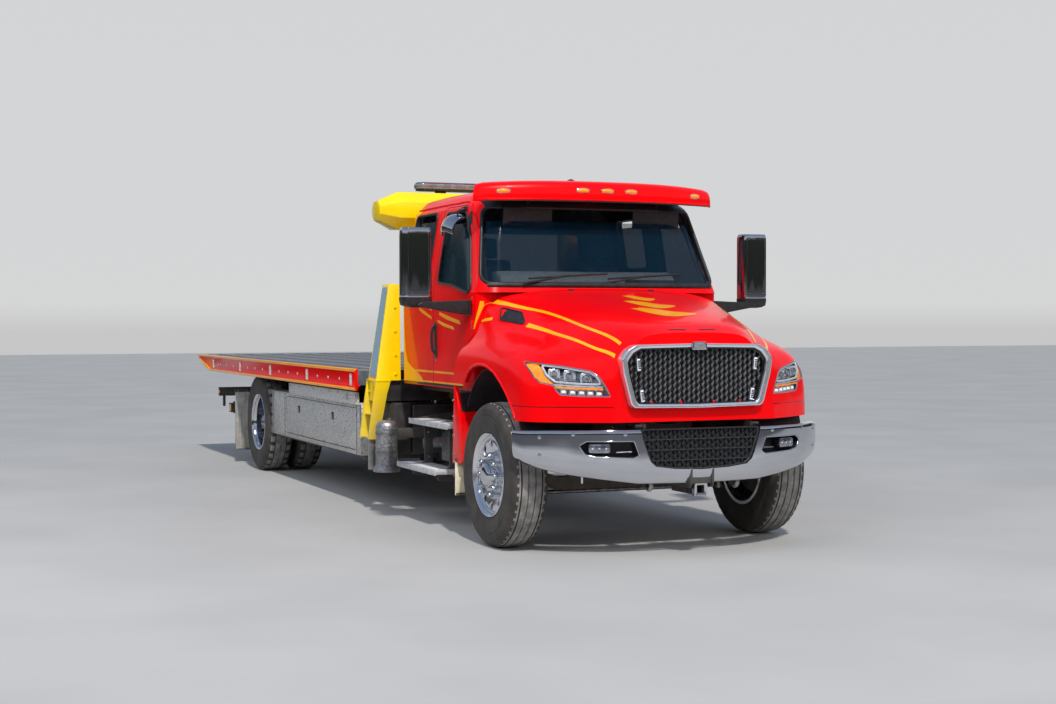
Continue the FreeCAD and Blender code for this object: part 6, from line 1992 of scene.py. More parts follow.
# ------------------------------------------------------------------ toolboxes
SPECK = mat("speckled_aluminium", (0.66, 0.65, 0.63), 0.50, 0.35, color2=(0.22, 0.215, 0.21), vscale=62, ramp=(0.36, 0.47), rvar=0.14, bump=0.35, bscale=80,
            bdist=0.0012, dirt=(0.30, 0.27, 0.23), dirt_h=(0.35, 0.75))
tb = [eased("toolboxes", SPECK, .004, 2)]
td = {}
for s in (-1, 1):
    # door drip moulding, seams, corner posts and round fittings on the upper skirt
    tb.append(bx("drip", s * 1.196, s * 1.212, Y(2.83), Y(5.92), .862, .872, ALU2, .003))
    tb.append(bx("post", s * 1.196, s * 1.206, Y(2.822), Y(2.862), .434, .866, ALU2, .003))
    for y in (2.960, 5.420, 5.880):
        tb.append(bx("seam", s * 1.1995, s * 1.203, Y(y - .0035), Y(y + .0035), .436, .862, BLACKM, .001, 1))
    tb.append(cylo("round", .026, 0, .008, (s * 1.236, Y(3.90), .925), BLACKP, "x", 20))
    o = cylo("r2", .030, 0, .006, (0, 0, 0), ALU2, "x", 24)
    if s < 0:
        o.data.transform(Matrix.Scale(-1, 4, (1, 0, 0))); o.data.flip_normals()
    move(o, (s * 1.2395, Y(3.12), .925))
    tb.append(o)
    for y in (2.90, 3.40, 3.66, 4.20, 4.70, 5.06):
        tb.append(bolt((s * 1.2405, Y(y), .952), (s, 0, 0), .008, .005))
    # black lower frame under the boxes
    tb.append(bx("skid", s * .66, s * 1.17, Y(2.826), Y(2.866), .392, .432, BLACKM, .004))
    tb.append(bx("skid", s * 1.10, s * 1.15, Y(2.86), Y(5.90), .404, .432, BLACKM, .004))
    d = bx("door", s * 1.174, s * 1.1965, Y(3.0), Y(5.38), .470, .830, SPECK, .005, 3)
    dp = [d]
    for y in (3.72, 4.89):
        dp.append(bx("latch", s * 1.195, s * 1.2005, Y(y - .034), Y(y + .034), .690, .760, BLACKP, .006, 3))
        dp.append(bx("paddle", s * 1.200, s * 1.2050, Y(y - .020), Y(y + .020), .700, .735, STEEL, .004, 3))
    for k in range(6):
        y = 3.20 + .40 * k
        dp.append(bx("hinge", s * 1.190, s * 1.200, Y(y - .035), Y(y + .035), .466, .482, STEEL, .003, 2))
    td[s] = join(dp, "visual_toolbox_door_" + ("left" if s > 0 else "right"))
put(join(tb, "visual_toolboxes"), "chassis", "toolboxes")
for s, nm in ((1, "left"), (-1, "right")):
    put(td[s], "toolbox_door_" + nm, "toolbox_door_" + nm)

# ------------------------------------------------------------------ deck
dk = []
PLANK = mat("plank_steel", (0.19, 0.215, 0.26), 0.42, 0.55, color2=(0.085, 0.10, 0.125), vscale=3, stretch=(14, .6, 1), ramp=(0.30, 0.72), rvar=0.16,
            bump=0.25, bscale=60, bdist=0.001, dirt=(0.16, 0.15, 0.14), dirt_h=(1.16, 1.20))
PLANK2 = mat("plank_worn", (0.27, 0.29, 0.33), 0.36, 0.6, color2=(0.15, 0.165, 0.19), vscale=3, stretch=(14, .6, 1), ramp=(0.30, 0.72), rvar=0.16,
             bump=0.25, bscale=60, bdist=0.001)
PLANK3 = mat("plank_dark", (0.10, 0.115, 0.15), 0.46, 0.5, color2=(0.055, 0.065, 0.085), vscale=3, stretch=(14, .6, 1), ramp=(0.30, 0.72), rvar=0.16,
             bump=0.25, bscale=60, bdist=0.001)
xs = np.linspace(-1.232, 1.232, 23)
for i in range(22):
    x0, x1 = xs[i] + .003, xs[i + 1] - .003
    dk.append(bx("plank", x0, x1, Y(3.205), Y(9.330), 1.1652, 1.1695, (PLANK, PLANK2, PLANK3)[(i * 5) % 3], .0015, 1))
    # two rolled grooves in each plank
    for u in (.33, .67):
        xm = x0 + (x1 - x0) * u
        dk.append(bx("groove", xm - .0022, xm + .0022, Y(3.21), Y(9.20), 1.1690, 1.1702, BLACKM, 0))
dk.append(bx("head", -1.236, 1.236, Y(3.196), Y(3.204), 1.163, 1.1725, STEEL, .002))
# recessed key slots near the edges, in rows
for s in (-1, 1):
    for k in range(6):
        y = 3.70 + 1.0 * k
        dk.append(prism("key", rounded([(s * 1.120, Y(y - .07)), (s * 1.180, Y(y - .07)), (s * 1.180, Y(y + .07)), (s * 1.120, Y(y + .07))], .028, 4), "z", 1.1690, 1.1712, BLACKM, 0))
# tail lip: grip bars
for k in range(14):
    xm = -1.17 + .18 * k
    dk.append(bx("grip", xm - .045, xm + .045, Y(9.235), Y(9.250), 1.1690, 1.1735, STEEL, .002, 1))
# head of the deck: red corner gussets facing forward, dark bulkhead between
for s in (-1, 1):
    dk.append(prism("corner", [(s * 1.268, 1.172), (s * 1.136, 1.093), (s * 1.268, .992)], "y", Y(2.7905), Y(2.800), RED, .002))
    dk.append(bx("tie", s * .80, s * .86, Y(2.792), Y(3.19), 1.160, 1.1655, STEEL, .002))
dk.append(bx("bulk", -1.135, 1.135, Y(2.788), Y(2.7925), 1.045, 1.158, BLACKM, .002))
# joists' outer ends and light loom below the floor
for k in range(10):
    y = 3.100 + .640 * k
    for s in (-1, 1):
        dk.append(bx("cap", s * 1.228, s * 1.2395, Y(y - .01), Y(y + .07), 1.062, 1.140, STEEL, .002))
dk.append(tube("loom", [(.62, Y(3.2), 1.120), (.62, Y(6.0), 1.122), (.60, Y(8.8), 1.120)], .016, BLACKP, 8))
put(join(dk, "visual_deck_floor"), "deck")

RAIL = [(2.790, .990), (8.710, .990), (9.290, 1.120), (9.340, 1.135), (9.340, 1.177), (2.790, 1.177)]
rl = []
CLIP = mat("clip_steel", (0.80, 0.80, 0.78), 0.40, 0.30, color2=(0.52, 0.50, 0.47), vscale=60, rvar=0.1)
for s in (-1, 1):
    r = prism("rail", [(Y(y), z) for y, z in RAIL], "x", s * 1.2565 if s < 0 else 1.2405, -1.2405 if s < 0 else 1.2565, RED, .003, 2)
    rl.append(r)
    # rolled top and bottom edges of the rail, in orange
    top = bx("top", s * 1.2395, s * 1.2700, Y(2.792), Y(9.338), 1.1500, 1.1770, ORANGE, .005, 3)
    rl.append(top)
    rl.append(bx("bot", s * 1.2405, s * 1.2700, Y(2.792), Y(8.712), .990, 1.0135, ORANGE, .005, 3))
    rl.append(prism("bot2", [(Y(8.700), .990), (Y(9.290), 1.120), (Y(9.338), 1.135), (Y(9.338), 1.146), (Y(9.284), 1.134), (Y(8.703), 1.0135)], "x",
                    s * 1.270 if s < 0 else 1.2405, -1.2405 if s < 0 else 1.270, ORANGE, .003, 2))
    # the inside lip above the floor, red
    rl.append(bx("lip", s * 1.2360, s * 1.2420, Y(2.80), Y(9.33), 1.150, 1.1765, RED, .001))
    # steel J clips and the small studs between them
    for y in (2.937, 4.368, 5.785, 7.136, 8.50):
        rl.append(bx("clip", s * 1.2560, s * 1.2640, Y(y - .030), Y(y + .030), 1.030, 1.132, CLIP, .003, 2))
        rl.append(bx("hook", s * 1.2630, s * 1.2690, Y(y - .014), Y(y + .014), 1.058, 1.120, CLIP, .003, 2))
        rl.append(bolt((s * 1.264, Y(y), 1.045), (s, 0, 0), .011, .006, CLIP))
    for y0, y1 in ((2.937, 4.368), (4.368, 5.785), (5.785, 7.136), (7.136, 8.50)):
        for u in (.25, .5, .75):
            y = y0 + (y1 - y0) * u
            rl.append(lathe_dome("stud", (s * 1.2565, Y(y), 1.078), (s, 0, 0), .014, .014, .006, CLIP, 12, 2))
    rl.append(lathe_dome("marker", (s * 1.2565, Y(8.20), 1.075), (s, 0, 0), .022, .022, .008, REDLENS, 16, 3))
put(join(rl, "visual_deck_rails"), "deck", "deck_side_rails")

# ------------------------------------------------------------------ winch
wn = []
for s in (-1, 1):
    wn.append(prism("plate", rounded([(Y(2.880), 1.163), (Y(3.120), 1.163), (Y(3.120), 1.250), (Y(3.085), 1.440), (Y(2.915), 1.440), (Y(2.880), 1.250)], .03, 4),
                    "x", s * .260 if s < 0 else .235, -.235 if s < 0 else .260, BLACKM, .004, 2))
    wn.append(lathe("boss", [(0, 0), (0, .072), (.010, .078), (.026, .078), (.030, .070), (.030, 0)], (s * .262 if s > 0 else -.292, Y(3.0), 1.300), IRON, "x", 32, 30))
    for k in range(6):
        t = 2 * pi * k / 6
        wn.append(bolt((s * .292, Y(3.0 + .055 * cos(t)), 1.300 + .055 * sin(t)), (s, 0, 0), .009, .006))
# wound rope: a row of rings on the drum
prof = [(-.165, .060)]
for k in range(24):
    xm = -.158 + .0135 * k
    for q in range(5):
        t = pi * q / 4
        prof.append((xm - .0064 * cos(t), .081 + .0064 * sin(t)))
prof.append((.170, .060))
wn.append(lathe("rope", prof, (0, Y(3.0), 1.300), ROPE, "x", 48, 60))
for x in (-.180, .168):
    wn.append(lathe("flange", [(0, 0), (0, .118), (.003, .122), (.012, .122), (.015, .118), (.015, 0)], (x, Y(3.0), 1.300), IRON, "x", 48, 30))
wn.append(lathe("motor", [(0, 0), (0, .052), (.070, .052), (.078, .044), (.086, .044), (.090, 0)], (.288, Y(3.0), 1.300), BLACKM, "x", 28, 30))
for k in range(3):
    wn.append(bx("fin", .292 + .018 * k, .300 + .018 * k, Y(2.942), Y(3.058), 1.242, 1.358, BLACKM, .003))
wn.append(bx("tie1", -.240, .240, Y(2.885), Y(2.900), 1.170, 1.250, BLACKM, .004, 2))
wn.append(bx("tie2", -.240, .240, Y(3.100), Y(3.115), 1.170, 1.215, BLACKM, .004, 2))
wn.append(tube("top", [(-.240, Y(2.95), 1.415), (.240, Y(2.95), 1.415)], .013, CHROME, 12))
wn.append(tube("hose1", [(.345, Y(2.99), 1.340), (.40, Y(2.97), 1.320), (.42, Y(2.93), 1.23), (.42, Y(2.90), 1.172)], .010, BLACKP, 8))
wn.append(tube("hose2", [(.345, Y(3.02), 1.340), (.42, Y(3.00), 1.325), (.45, Y(2.95), 1.23), (.45, Y(2.91), 1.172)], .010, BLACKP, 8))
wn.append(tube("lever", [(-.292, Y(3.0), 1.30), (-.31, Y(3.0), 1.36), (-.31, Y(3.0), 1.42)], .007, CHROME, 8))
# roller guide ahead of the drum, standing on the floor
for x in (-.200, .200):
    wn.append(cylo("vroll", .018, 0, .090, (x, Y(3.150), 1.1655), CHROME, "z", 20))
wn.append(cylo("hroll", .018, -.20, .20, (0, Y(3.150), 1.190), CHROME, "x", 20))
wn.append(cylo("hroll", .018, -.20, .20, (0, Y(3.150), 1.250), CHROME, "x", 20))
# free end of the rope with its thimble and hook, lying on the floor
pts = [(.0, Y(3.09), 1.246), (.0, Y(3.15), 1.220), (.01, Y(3.22), 1.190), (.02, Y(3.30), 1.178), (.02, Y(3.42), 1.176)]
wn.append(tube("run", pts, .0062, ROPE, 8))
wn.append(tube("hook", [(.02, Y(3.42), 1.180), (.02, Y(3.47), 1.182), (.045, Y(3.52), 1.184), (.05, Y(3.56), 1.184), (.02, Y(3.59), 1.184), (-.01, Y(3.56), 1.184), (-.005, Y(3.535), 1.184)], .011, IRON, 10))
put(join(wn, "visual_winch"), "deck", "winch")

# ------------------------------------------------------------------ subframe, cylinders, lift
sb = [eased("tilt_subframe", BLACKM, .003, 1)]
for s in (-1, 1):
    for k in range(7):
        y = 3.4 + .62 * k
        sb.append(bx("wear", s * .312, s * .408, Y(y), Y(y + .22), 1.0300, 1.0335, STEEL, .001, 1))
put(join(sb, "visual_subframe"), "tilt_frame", "tilt_subframe")


def axis_of(B, E):
    l = math.hypot(E[0] - B[0], E[1] - B[1])
    return ((E[0] - B[0]) / l, (E[1] - B[1]) / l), l


def gland(x, B, E, r, closed, L_):
    """Ring nut, port bosses and hoses on the open end of a barrel."""
    u, l = axis_of(B, E)
    q = []
    def P(d, dz=0):
        return (x, Y(B[0] + u[0] * d - u[1] * dz), B[1] + u[1] * d + u[0] * dz)
    n = Vector((0, u[0], u[1]))
    for d, rr, w in ((L_ - .040, r * 1.02, .030), (L_ - .075, r * 1.02, .012)):
        o = lathe("nut", [(0, r * .60), (0, rr + .004), (w, rr + .004), (w, r * .60)], (0, 0, 0), STEEL, "y", 24, 30)
        q.append(orient(o, P(d), n))
    for d in (.10, L_ - .12):
        o = cylo("port", .012, 0, .022, (0, 0, 0), STEEL, "z", 14)
        move(o, P(d, r - .002))
        q.append(o)
    a, b = P(.10, r + .018), P(L_ - .12, r + .018)
    q.append(tube("pipe", [a, P(.16, r + .020), P(L_ - .18, r + .020), b], .006, STEEL, 8))
    return q


TB, TE = (4.300, .740), (5.350, .980)
LBp, LEp = (7.400, .420), (8.500, .378)
uu, ll = axis_of(TB, TE)
cy = [eased("tilt_cylinder_barrels", BLACKM, .002, 1)]
for x in (-.252, .252):
    cy += gland(x, TB, TE, .037, .110, ll - .110)
put(join(cy, "visual_tilt_barrels"), "tilt_barrels", "tilt_cylinder_barrels")
uu, ll = axis_of(LBp, LEp)
cy = [eased("lift_cylinder_barrel", BLACKM, .002, 1)] + gland(0, LBp, LEp, .036, .130, ll - .130)
put(join(cy, "visual_lift_barrel"), "lift_barrel", "lift_cylinder_barrel")

lf = [eased("lift_boom", BLACKM, .006, 2)]
for y in (8.40, 8.70):
    for s in (-1, 1):
        lf.append(bx("pad", s * .065, s * .067, Y(y - .05), Y(y + .05), .48, .58, STEEL, .001, 1))
lf.append(bx("collar", -.072, .072, Y(8.805), Y(8.850), .458, .464, YELLOW, .002))
put(join(lf, "visual_lift_boom"), "lift_boom", "lift_boom")
lf = [eased("lift_crossbar", BLACKM, .008, 2)]
for s in (-1, 1):
    # wheel cradles' sockets, pins with rings, and marker tape on the bar ends
    lf.append(cylo("pin", .016, .600, .640, (s * .830, Y(9.025), 0), CHROME, "z", 16))
    lf.append(tube("pull", [(s * .830 + .022 * cos(t), Y(9.025 + .022 * sin(t)), .640) for t in np.linspace(0, 2 * pi, 14)[:-1]], .004, STEEL, 6, True))
    lf.append(bx("tape", s * .935, s * .9515, Y(8.975), Y(9.075), .490, .570, ORANGE, .001, 1))
    for y in (8.975, 9.075):
        for z in (.475, .585):
            lf.append(bolt((s * .9010, Y(8.99 if y < 9 else 9.06), .53 + (z - .53) * .6), (s, 0, 0), .010, .006))
for k in range(7):
    x = -.72 + .24 * k
    lf.append(bx("chev", x, x + .12, Y(9.0795), Y(9.0815), .495, .565, YELLOW if k % 2 else BLACKP, 0))
put(join(lf, "visual_lift_crossbar"), "lift_crossbar", "lift_crossbar")

# ------------------------------------------------------------------ rear light bar
rb = [eased("rear_light_bar", BLACKM, .006, 2)]
for s in (-1, 1):
    for k, (x, m) in enumerate(((1.130, REDLENS), (1.010, REDLENS), (.890, AMBER), (.770, WHITEL))):
        o = lathe("gasket", [(0, 0), (0, .050), (.006, .050), (.010, .044), (.010, 0)], (0, 0, 0), BLACKP, "y", 28, 30)
        move(o, (s * x, Y(8.519), .750))
        rb.append(o)
        rb.append(lathe_dome("lamp", (s * x, Y(8.529), .750), (0, 1, 0), .042, .042, .010, m, 24, 4))
        rb.append(lathe_dome("core", (s * x, Y(8.530), .750), (0, 1, 0), .010, .010, .012, BOWL, 12, 2))
    rb.append(lathe_dome("side", (s * 1.2, Y(8.485), .750), (s, 0, 0), .030, .018, .010, AMBER, 16, 3))
    rb.append(lathe_dome("back", (s * .375, Y(8.521), .750), (0, 1, 0), .036, .024, .010, WHITEL, 16, 3))
    rb.append(bx("stay", s * 1.130, s * 1.160, Y(8.452), Y(8.470), .58, .70, BLACKM, .003))
    for k in range(3):
        rb.append(bolt((s * (.46 + .1 * k), Y(8.521), .782), (0, 1, 0), .009, .006))
# blank plate between the lamps
rb.append(bx("plate", -.155, .155, Y(8.520), Y(8.5235), .706, .794, CREAM, .002))
put(join(rb, "visual_rear_light_bar"), "chassis", "rear_light_bar")

# ------------------------------------------------------------------ frame details: bolts, spring hangers, differential cover, axle hoses
fd = []
for s in (-1, 1):
    for y in (-.55, .10, .55, 1.0, 1.6, 2.2, 2.9, 3.5, 4.1, 4.7, 5.3, 5.9, 6.5, 7.1, 7.7, 8.1):
        for z in (.735, .865):
            fd.append(bolt((s * .4345, Y(y), z), (s, 0, 0), .012, .008))
    for y in (-.62, .62, 5.72, 7.28):
        fd.append(cylo("shackle", .024, -.05, .05, (s * (.394 if y < 2 else .484), Y(y), .690), IRON, "x", 18))
    fd.append(tube("brakehose", [(s * .434, Y(.20), .78), (s * .52, Y(.22), .70), (s * .62, Y(.12), .60), (s * .70, Y(.05), .545)], .010, BLACKP, 8))
    fd.append(lathe("chamber", [(0, 0), (0, .070), (.012, .082), (.075, .082), (.080, .088), (.090, .088), (.095, .080), (.150, .070), (.160, .050), (.160, 0)],
                    (s * .505, Y(6.130), .520), BLACKM, "y", 28, 30))
    fd.append(lathe("chamberf", [(0, 0), (0, .056), (.010, .070), (.060, .070), (.064, .076), (.074, .076), (.080, .060), (.100, .040), (.100, 0)],
                    (s * .585, Y(-.300), .560), BLACKM, "y", 28, 30))
for k in range(10):
    t = 2 * pi * k / 10
    fd.append(bolt((.145 * cos(t), Y(6.705), .510 + .145 * sin(t)), (0, 1, 0), .010, .008))
fd.append(tube("brakeline", [(-.43, Y(3.0), .80), (-.40, Y(5.0), .80), (-.30, Y(6.2), .74), (-.10, Y(6.45), .66)], .008, BLACKP, 8))
put(join(fd, "visual_frame_details"), "chassis")

# ------------------------------------------------------------------ inside the cab
CLOTH = mat("seat_cloth", (0.085, 0.085, 0.095), 0.85, 0.0, color2=(0.045, 0.045, 0.052), vscale=60, rvar=0.08, bump=0.5, bscale=240, bdist=0.001)
CLOTH2 = mat("seat_insert", (0.16, 0.16, 0.17), 0.9, 0.0, color2=(0.09, 0.09, 0.10), vscale=90, rvar=0.06, bump=0.6, bscale=300, bdist=0.001)


def cushion(name, w, pts, m, bev=.035):
    o = prism(name, pts, "x", -w, w, m, bev, 5)
    return o


frames = []
for xc in (-.520, .520):
    side = "left" if xc > 0 else "right"
    base = cushion("base", .195, [(Y(1.15), 1.130), (Y(1.50), 1.130), (Y(1.50), 1.335), (Y(1.15), 1.335)], VINYL, .012)
    move(base, (xc, 0, 0))
    frames.append(base)
    groups = {"cushion": [], "back": [], "headrest": []}
    for g, o in (
        ("cushion", cushion("pan", .245, [(Y(1.10), 1.335), (Y(1.585), 1.335), (Y(1.585), 1.452), (Y(1.12), 1.478), (Y(1.092), 1.450)], CLOTH, .030)),
        ("back", cushion("back", .235, [(Y(1.505), 1.450), (Y(1.622), 1.450), (Y(1.738), 2.075), (Y(1.662), 2.086)], CLOTH, .034)),
        ("headrest", cushion("head", .128, [(Y(1.678), 2.095), (Y(1.735), 2.092), (Y(1.754), 2.256), (Y(1.702), 2.258)], CLOTH, .026)),
        ("cushion", cushion("insert", .150, [(Y(1.14), 1.460), (Y(1.50), 1.448), (Y(1.50), 1.462), (Y(1.14), 1.484)], CLOTH2, .008)),
        ("back", cushion("insert2", .150, [(Y(1.525), 1.52), (Y(1.540), 1.52), (Y(1.660), 2.03), (Y(1.640), 2.03)], CLOTH2, .008)),
    ):
        move(o, (xc, 0, 0))
        groups[g].append(o)
    for s in (-1, 1):
        frames.append(tube("post", [(xc + s * .05, Y(1.700), 2.06), (xc + s * .05, Y(1.712), 2.11)], .006, CHROME, 8))
        groups["back"].append(prism("bolster", [(Y(1.515), 1.50), (Y(1.545), 1.50), (Y(1.655), 2.00), (Y(1.620), 2.00)], "x",
                                    xc + s * .170 - .025, xc + s * .170 + .025, CLOTH, .012, 3))
    s = 1 if xc > 0 else -1
    frames.append(tube("belt", [(xc + s * .245, Y(1.72), 2.16), (xc + s * .18, Y(1.60), 1.95), (xc - s * .18, Y(1.52), 1.52)], .010, BLACKP, 6))
    for g, items in groups.items():
        o = put(join(items, "visual_seat_%s_%s" % (g, side)), "chassis")
put(join(frames, "visual_seat_frames"), "chassis", "seats")

ds = [eased("dashboard", VINYL, .012, 3)]
INST = mat("instrument_black", (0.010, 0.010, 0.012), 0.12, 0.0, var=0.3, vscale=20, rvar=0.04, spec=0.6)
DIALW = mat("dial_mark", (0.75, 0.75, 0.72), 0.5, 0.0, color2=(0.60, 0.60, 0.58), vscale=30, rvar=0.05, emis=(0.7, 0.8, 1.0), emis_s=0.15)
# brow over the instruments, centre stack, screen, vents, knobs
ds.append(prism("brow", rounded([(Y(.70), 1.840), (Y(.955), 1.790), (Y(.968), 1.830), (Y(.90), 1.895), (Y(.74), 1.905)], .02, 4), "x", .300, .745, VINYL, .010, 3))
ds.append(bx("cluster", .330, .715, Y(.945), Y(.962), 1.690, 1.815, INST, .004, 2))
for x in (.405, .525, .645):
    o = lathe("dial", [(0, .050), (.004, .050), (.004, .044), (0, .044)], (0, 0, 0), DIALW, "y", 32, 30)
    move(o, (x, Y(.962), 1.752))
    ds.append(o)
    for k in range(9):
        t = rad(-40 + 260 * k / 8)
        ds.append(bx("tick", x + .034 * cos(t) - .0022, x + .034 * cos(t) + .0022, Y(.9615), Y(.9635), 1.752 + .034 * sin(t) - .0022, 1.752 + .034 * sin(t) + .0022, DIALW, 0))
ds.append(prism("stack", rounded([(Y(.90), 1.40), (Y(.975), 1.42), (Y(.985), 1.78), (Y(.93), 1.84)], .015, 3), "x", -.010, .250, BLACKP, .010, 3))
ds.append(bx("screen", .020, .220, Y(.980), Y(.990), 1.620, 1.740, INST, .004, 2))
for k in range(5):
    ds.append(lathe_dome("knob", (.035 + .042 * k, Y(.978), 1.560), (0, 1, 0), .013, .013, .014, CHROME if k % 2 else BLACKP, 14, 3))
for k in range(10):
    ds.append(bx("switch", .026 + .019 * k, .040 + .019 * k, Y(.976), Y(.986), 1.490, 1.520, INST, .002, 1))
for x in (-.80, -.10, .275, .80):
    w = .060
    ds.append(bx("vent", x - w, x + w, Y(.940), Y(.958), 1.700, 1.760, INST, .004, 2))
    for k in range(4):
        ds.append(bx("slat", x - w + .006, x + w - .006, Y(.956), Y(.961), 1.708 + .014 * k, 1.713 + .014 * k, BLACKP, .001, 1))
ds.append(bx("glovebox", -.700, -.250, Y(.952), Y(.958), 1.560, 1.680, VINYL, .004, 2))
ds.append(bx("glovelatch", -.500, -.450, Y(.957), Y(.964), 1.660, 1.672, CHROME, .002, 1))
# top pad, its hump and the defroster slots
PAD = mat("dash_pad", (0.55, 0.62, 0.64), 0.8, 0.0, color2=(0.42, 0.48, 0.50), vscale=40, rvar=0.06, bump=0.4, bscale=260, bdist=0.0008)
ds.append(prism("toppad", [(-.900, 1.849), (.900, 1.849), (.900, 1.872), (-.900, 1.872)], "y", Y(.585), Y(.900), PAD, .008, 3))
ds.append(prism("hump", [(Y(.740), 1.868), (Y(.775), 1.930), (Y(.860), 1.968), (Y(.950), 1.962), (Y(.965), 1.868)], "x", -.740, .740, PAD, .020, 4))
for k in range(9):
    ds.append(bx("defrost", -.78 + .17 * k, -.66 + .17 * k, Y(.598), Y(.610), 1.8495, 1.8515, BLACKP, 0))
# overhead console, sun blinds, gear lever, pedals
ds.append(prism("overhead", rounded([(Y(.74), 2.462), (Y(1.00), 2.450), (Y(1.02), 2.50), (Y(.76), 2.52)], .012, 3), "x", -.42, .42, BLACKP, .010, 3))
# sun blinds, made black: painted shade of the visor seen through the top of the glass
for s in (-1, 1):
    ds.append(prism("blind", rounded([(Y(.700), 2.440), (Y(.712), 2.300), (Y(.722), 2.300), (Y(.712), 2.445)], .003, 2), "x", s * .54 - .20, s * .54 + .20, BLACKP, .003, 1))
ds.append(tube("lever", [(.10, Y(1.12), 1.12), (.10, Y(1.14), 1.36), (.10, Y(1.12), 1.46)], .011, BLACKP, 10))
ds.append(lathe_dome("knob", (.10, Y(1.118), 1.455), (0, 0, 1), .026, .026, .040, BLACKP, 18, 5))
for x in (.42, .60):
    ds.append(bx("pedal", x - .04, x + .04, Y(.78), Y(.80), 1.17, 1.27, STEEL, .004, 2))
put(join(ds, "visual_dashboard"), "chassis", "dashboard")

sw = []
rim = tube("rim", [(.213 * cos(t), .213 * sin(t), 0) for t in np.linspace(0, 2 * pi, 49)[:-1]], .0155, VINYL, 14, True)
sw.append(rim)
for a in (-20, 200, 270):
    t = rad(a)
    o = bx("spoke", .050, .205, -.015, .015, -.007, .005, BLACKP, .005, 2)
    o.data.transform(Matrix.Rotation(t, 4, "Z"))
    sw.append(o)
sw.append(lathe("hubpad", [(-.024, 0), (-.024, .060), (-.010, .074), (.006, .072), (.012, .058), (.014, 0)], (0, 0, 0), VINYL, "z", 32, 30))
sw.append(cylo("column", .026, -.150, -.020, (0, 0, 0), BLACKP, "z", 20))
for s in (-1, 1):
    sw.append(tube("stalk", [(s * .03, -.01, -.06), (s * .16, .01, -.055), (s * .19, .012, -.050)], .006, BLACKP, 8))
w_ = join(sw, "visual_steering_wheel")
w_.data.transform(Matrix.Translation((.520, Y(1.060), 1.790)) @ Matrix.Rotation(rad(-38), 4, "X"))
put(w_, "chassis", "steering_wheel")

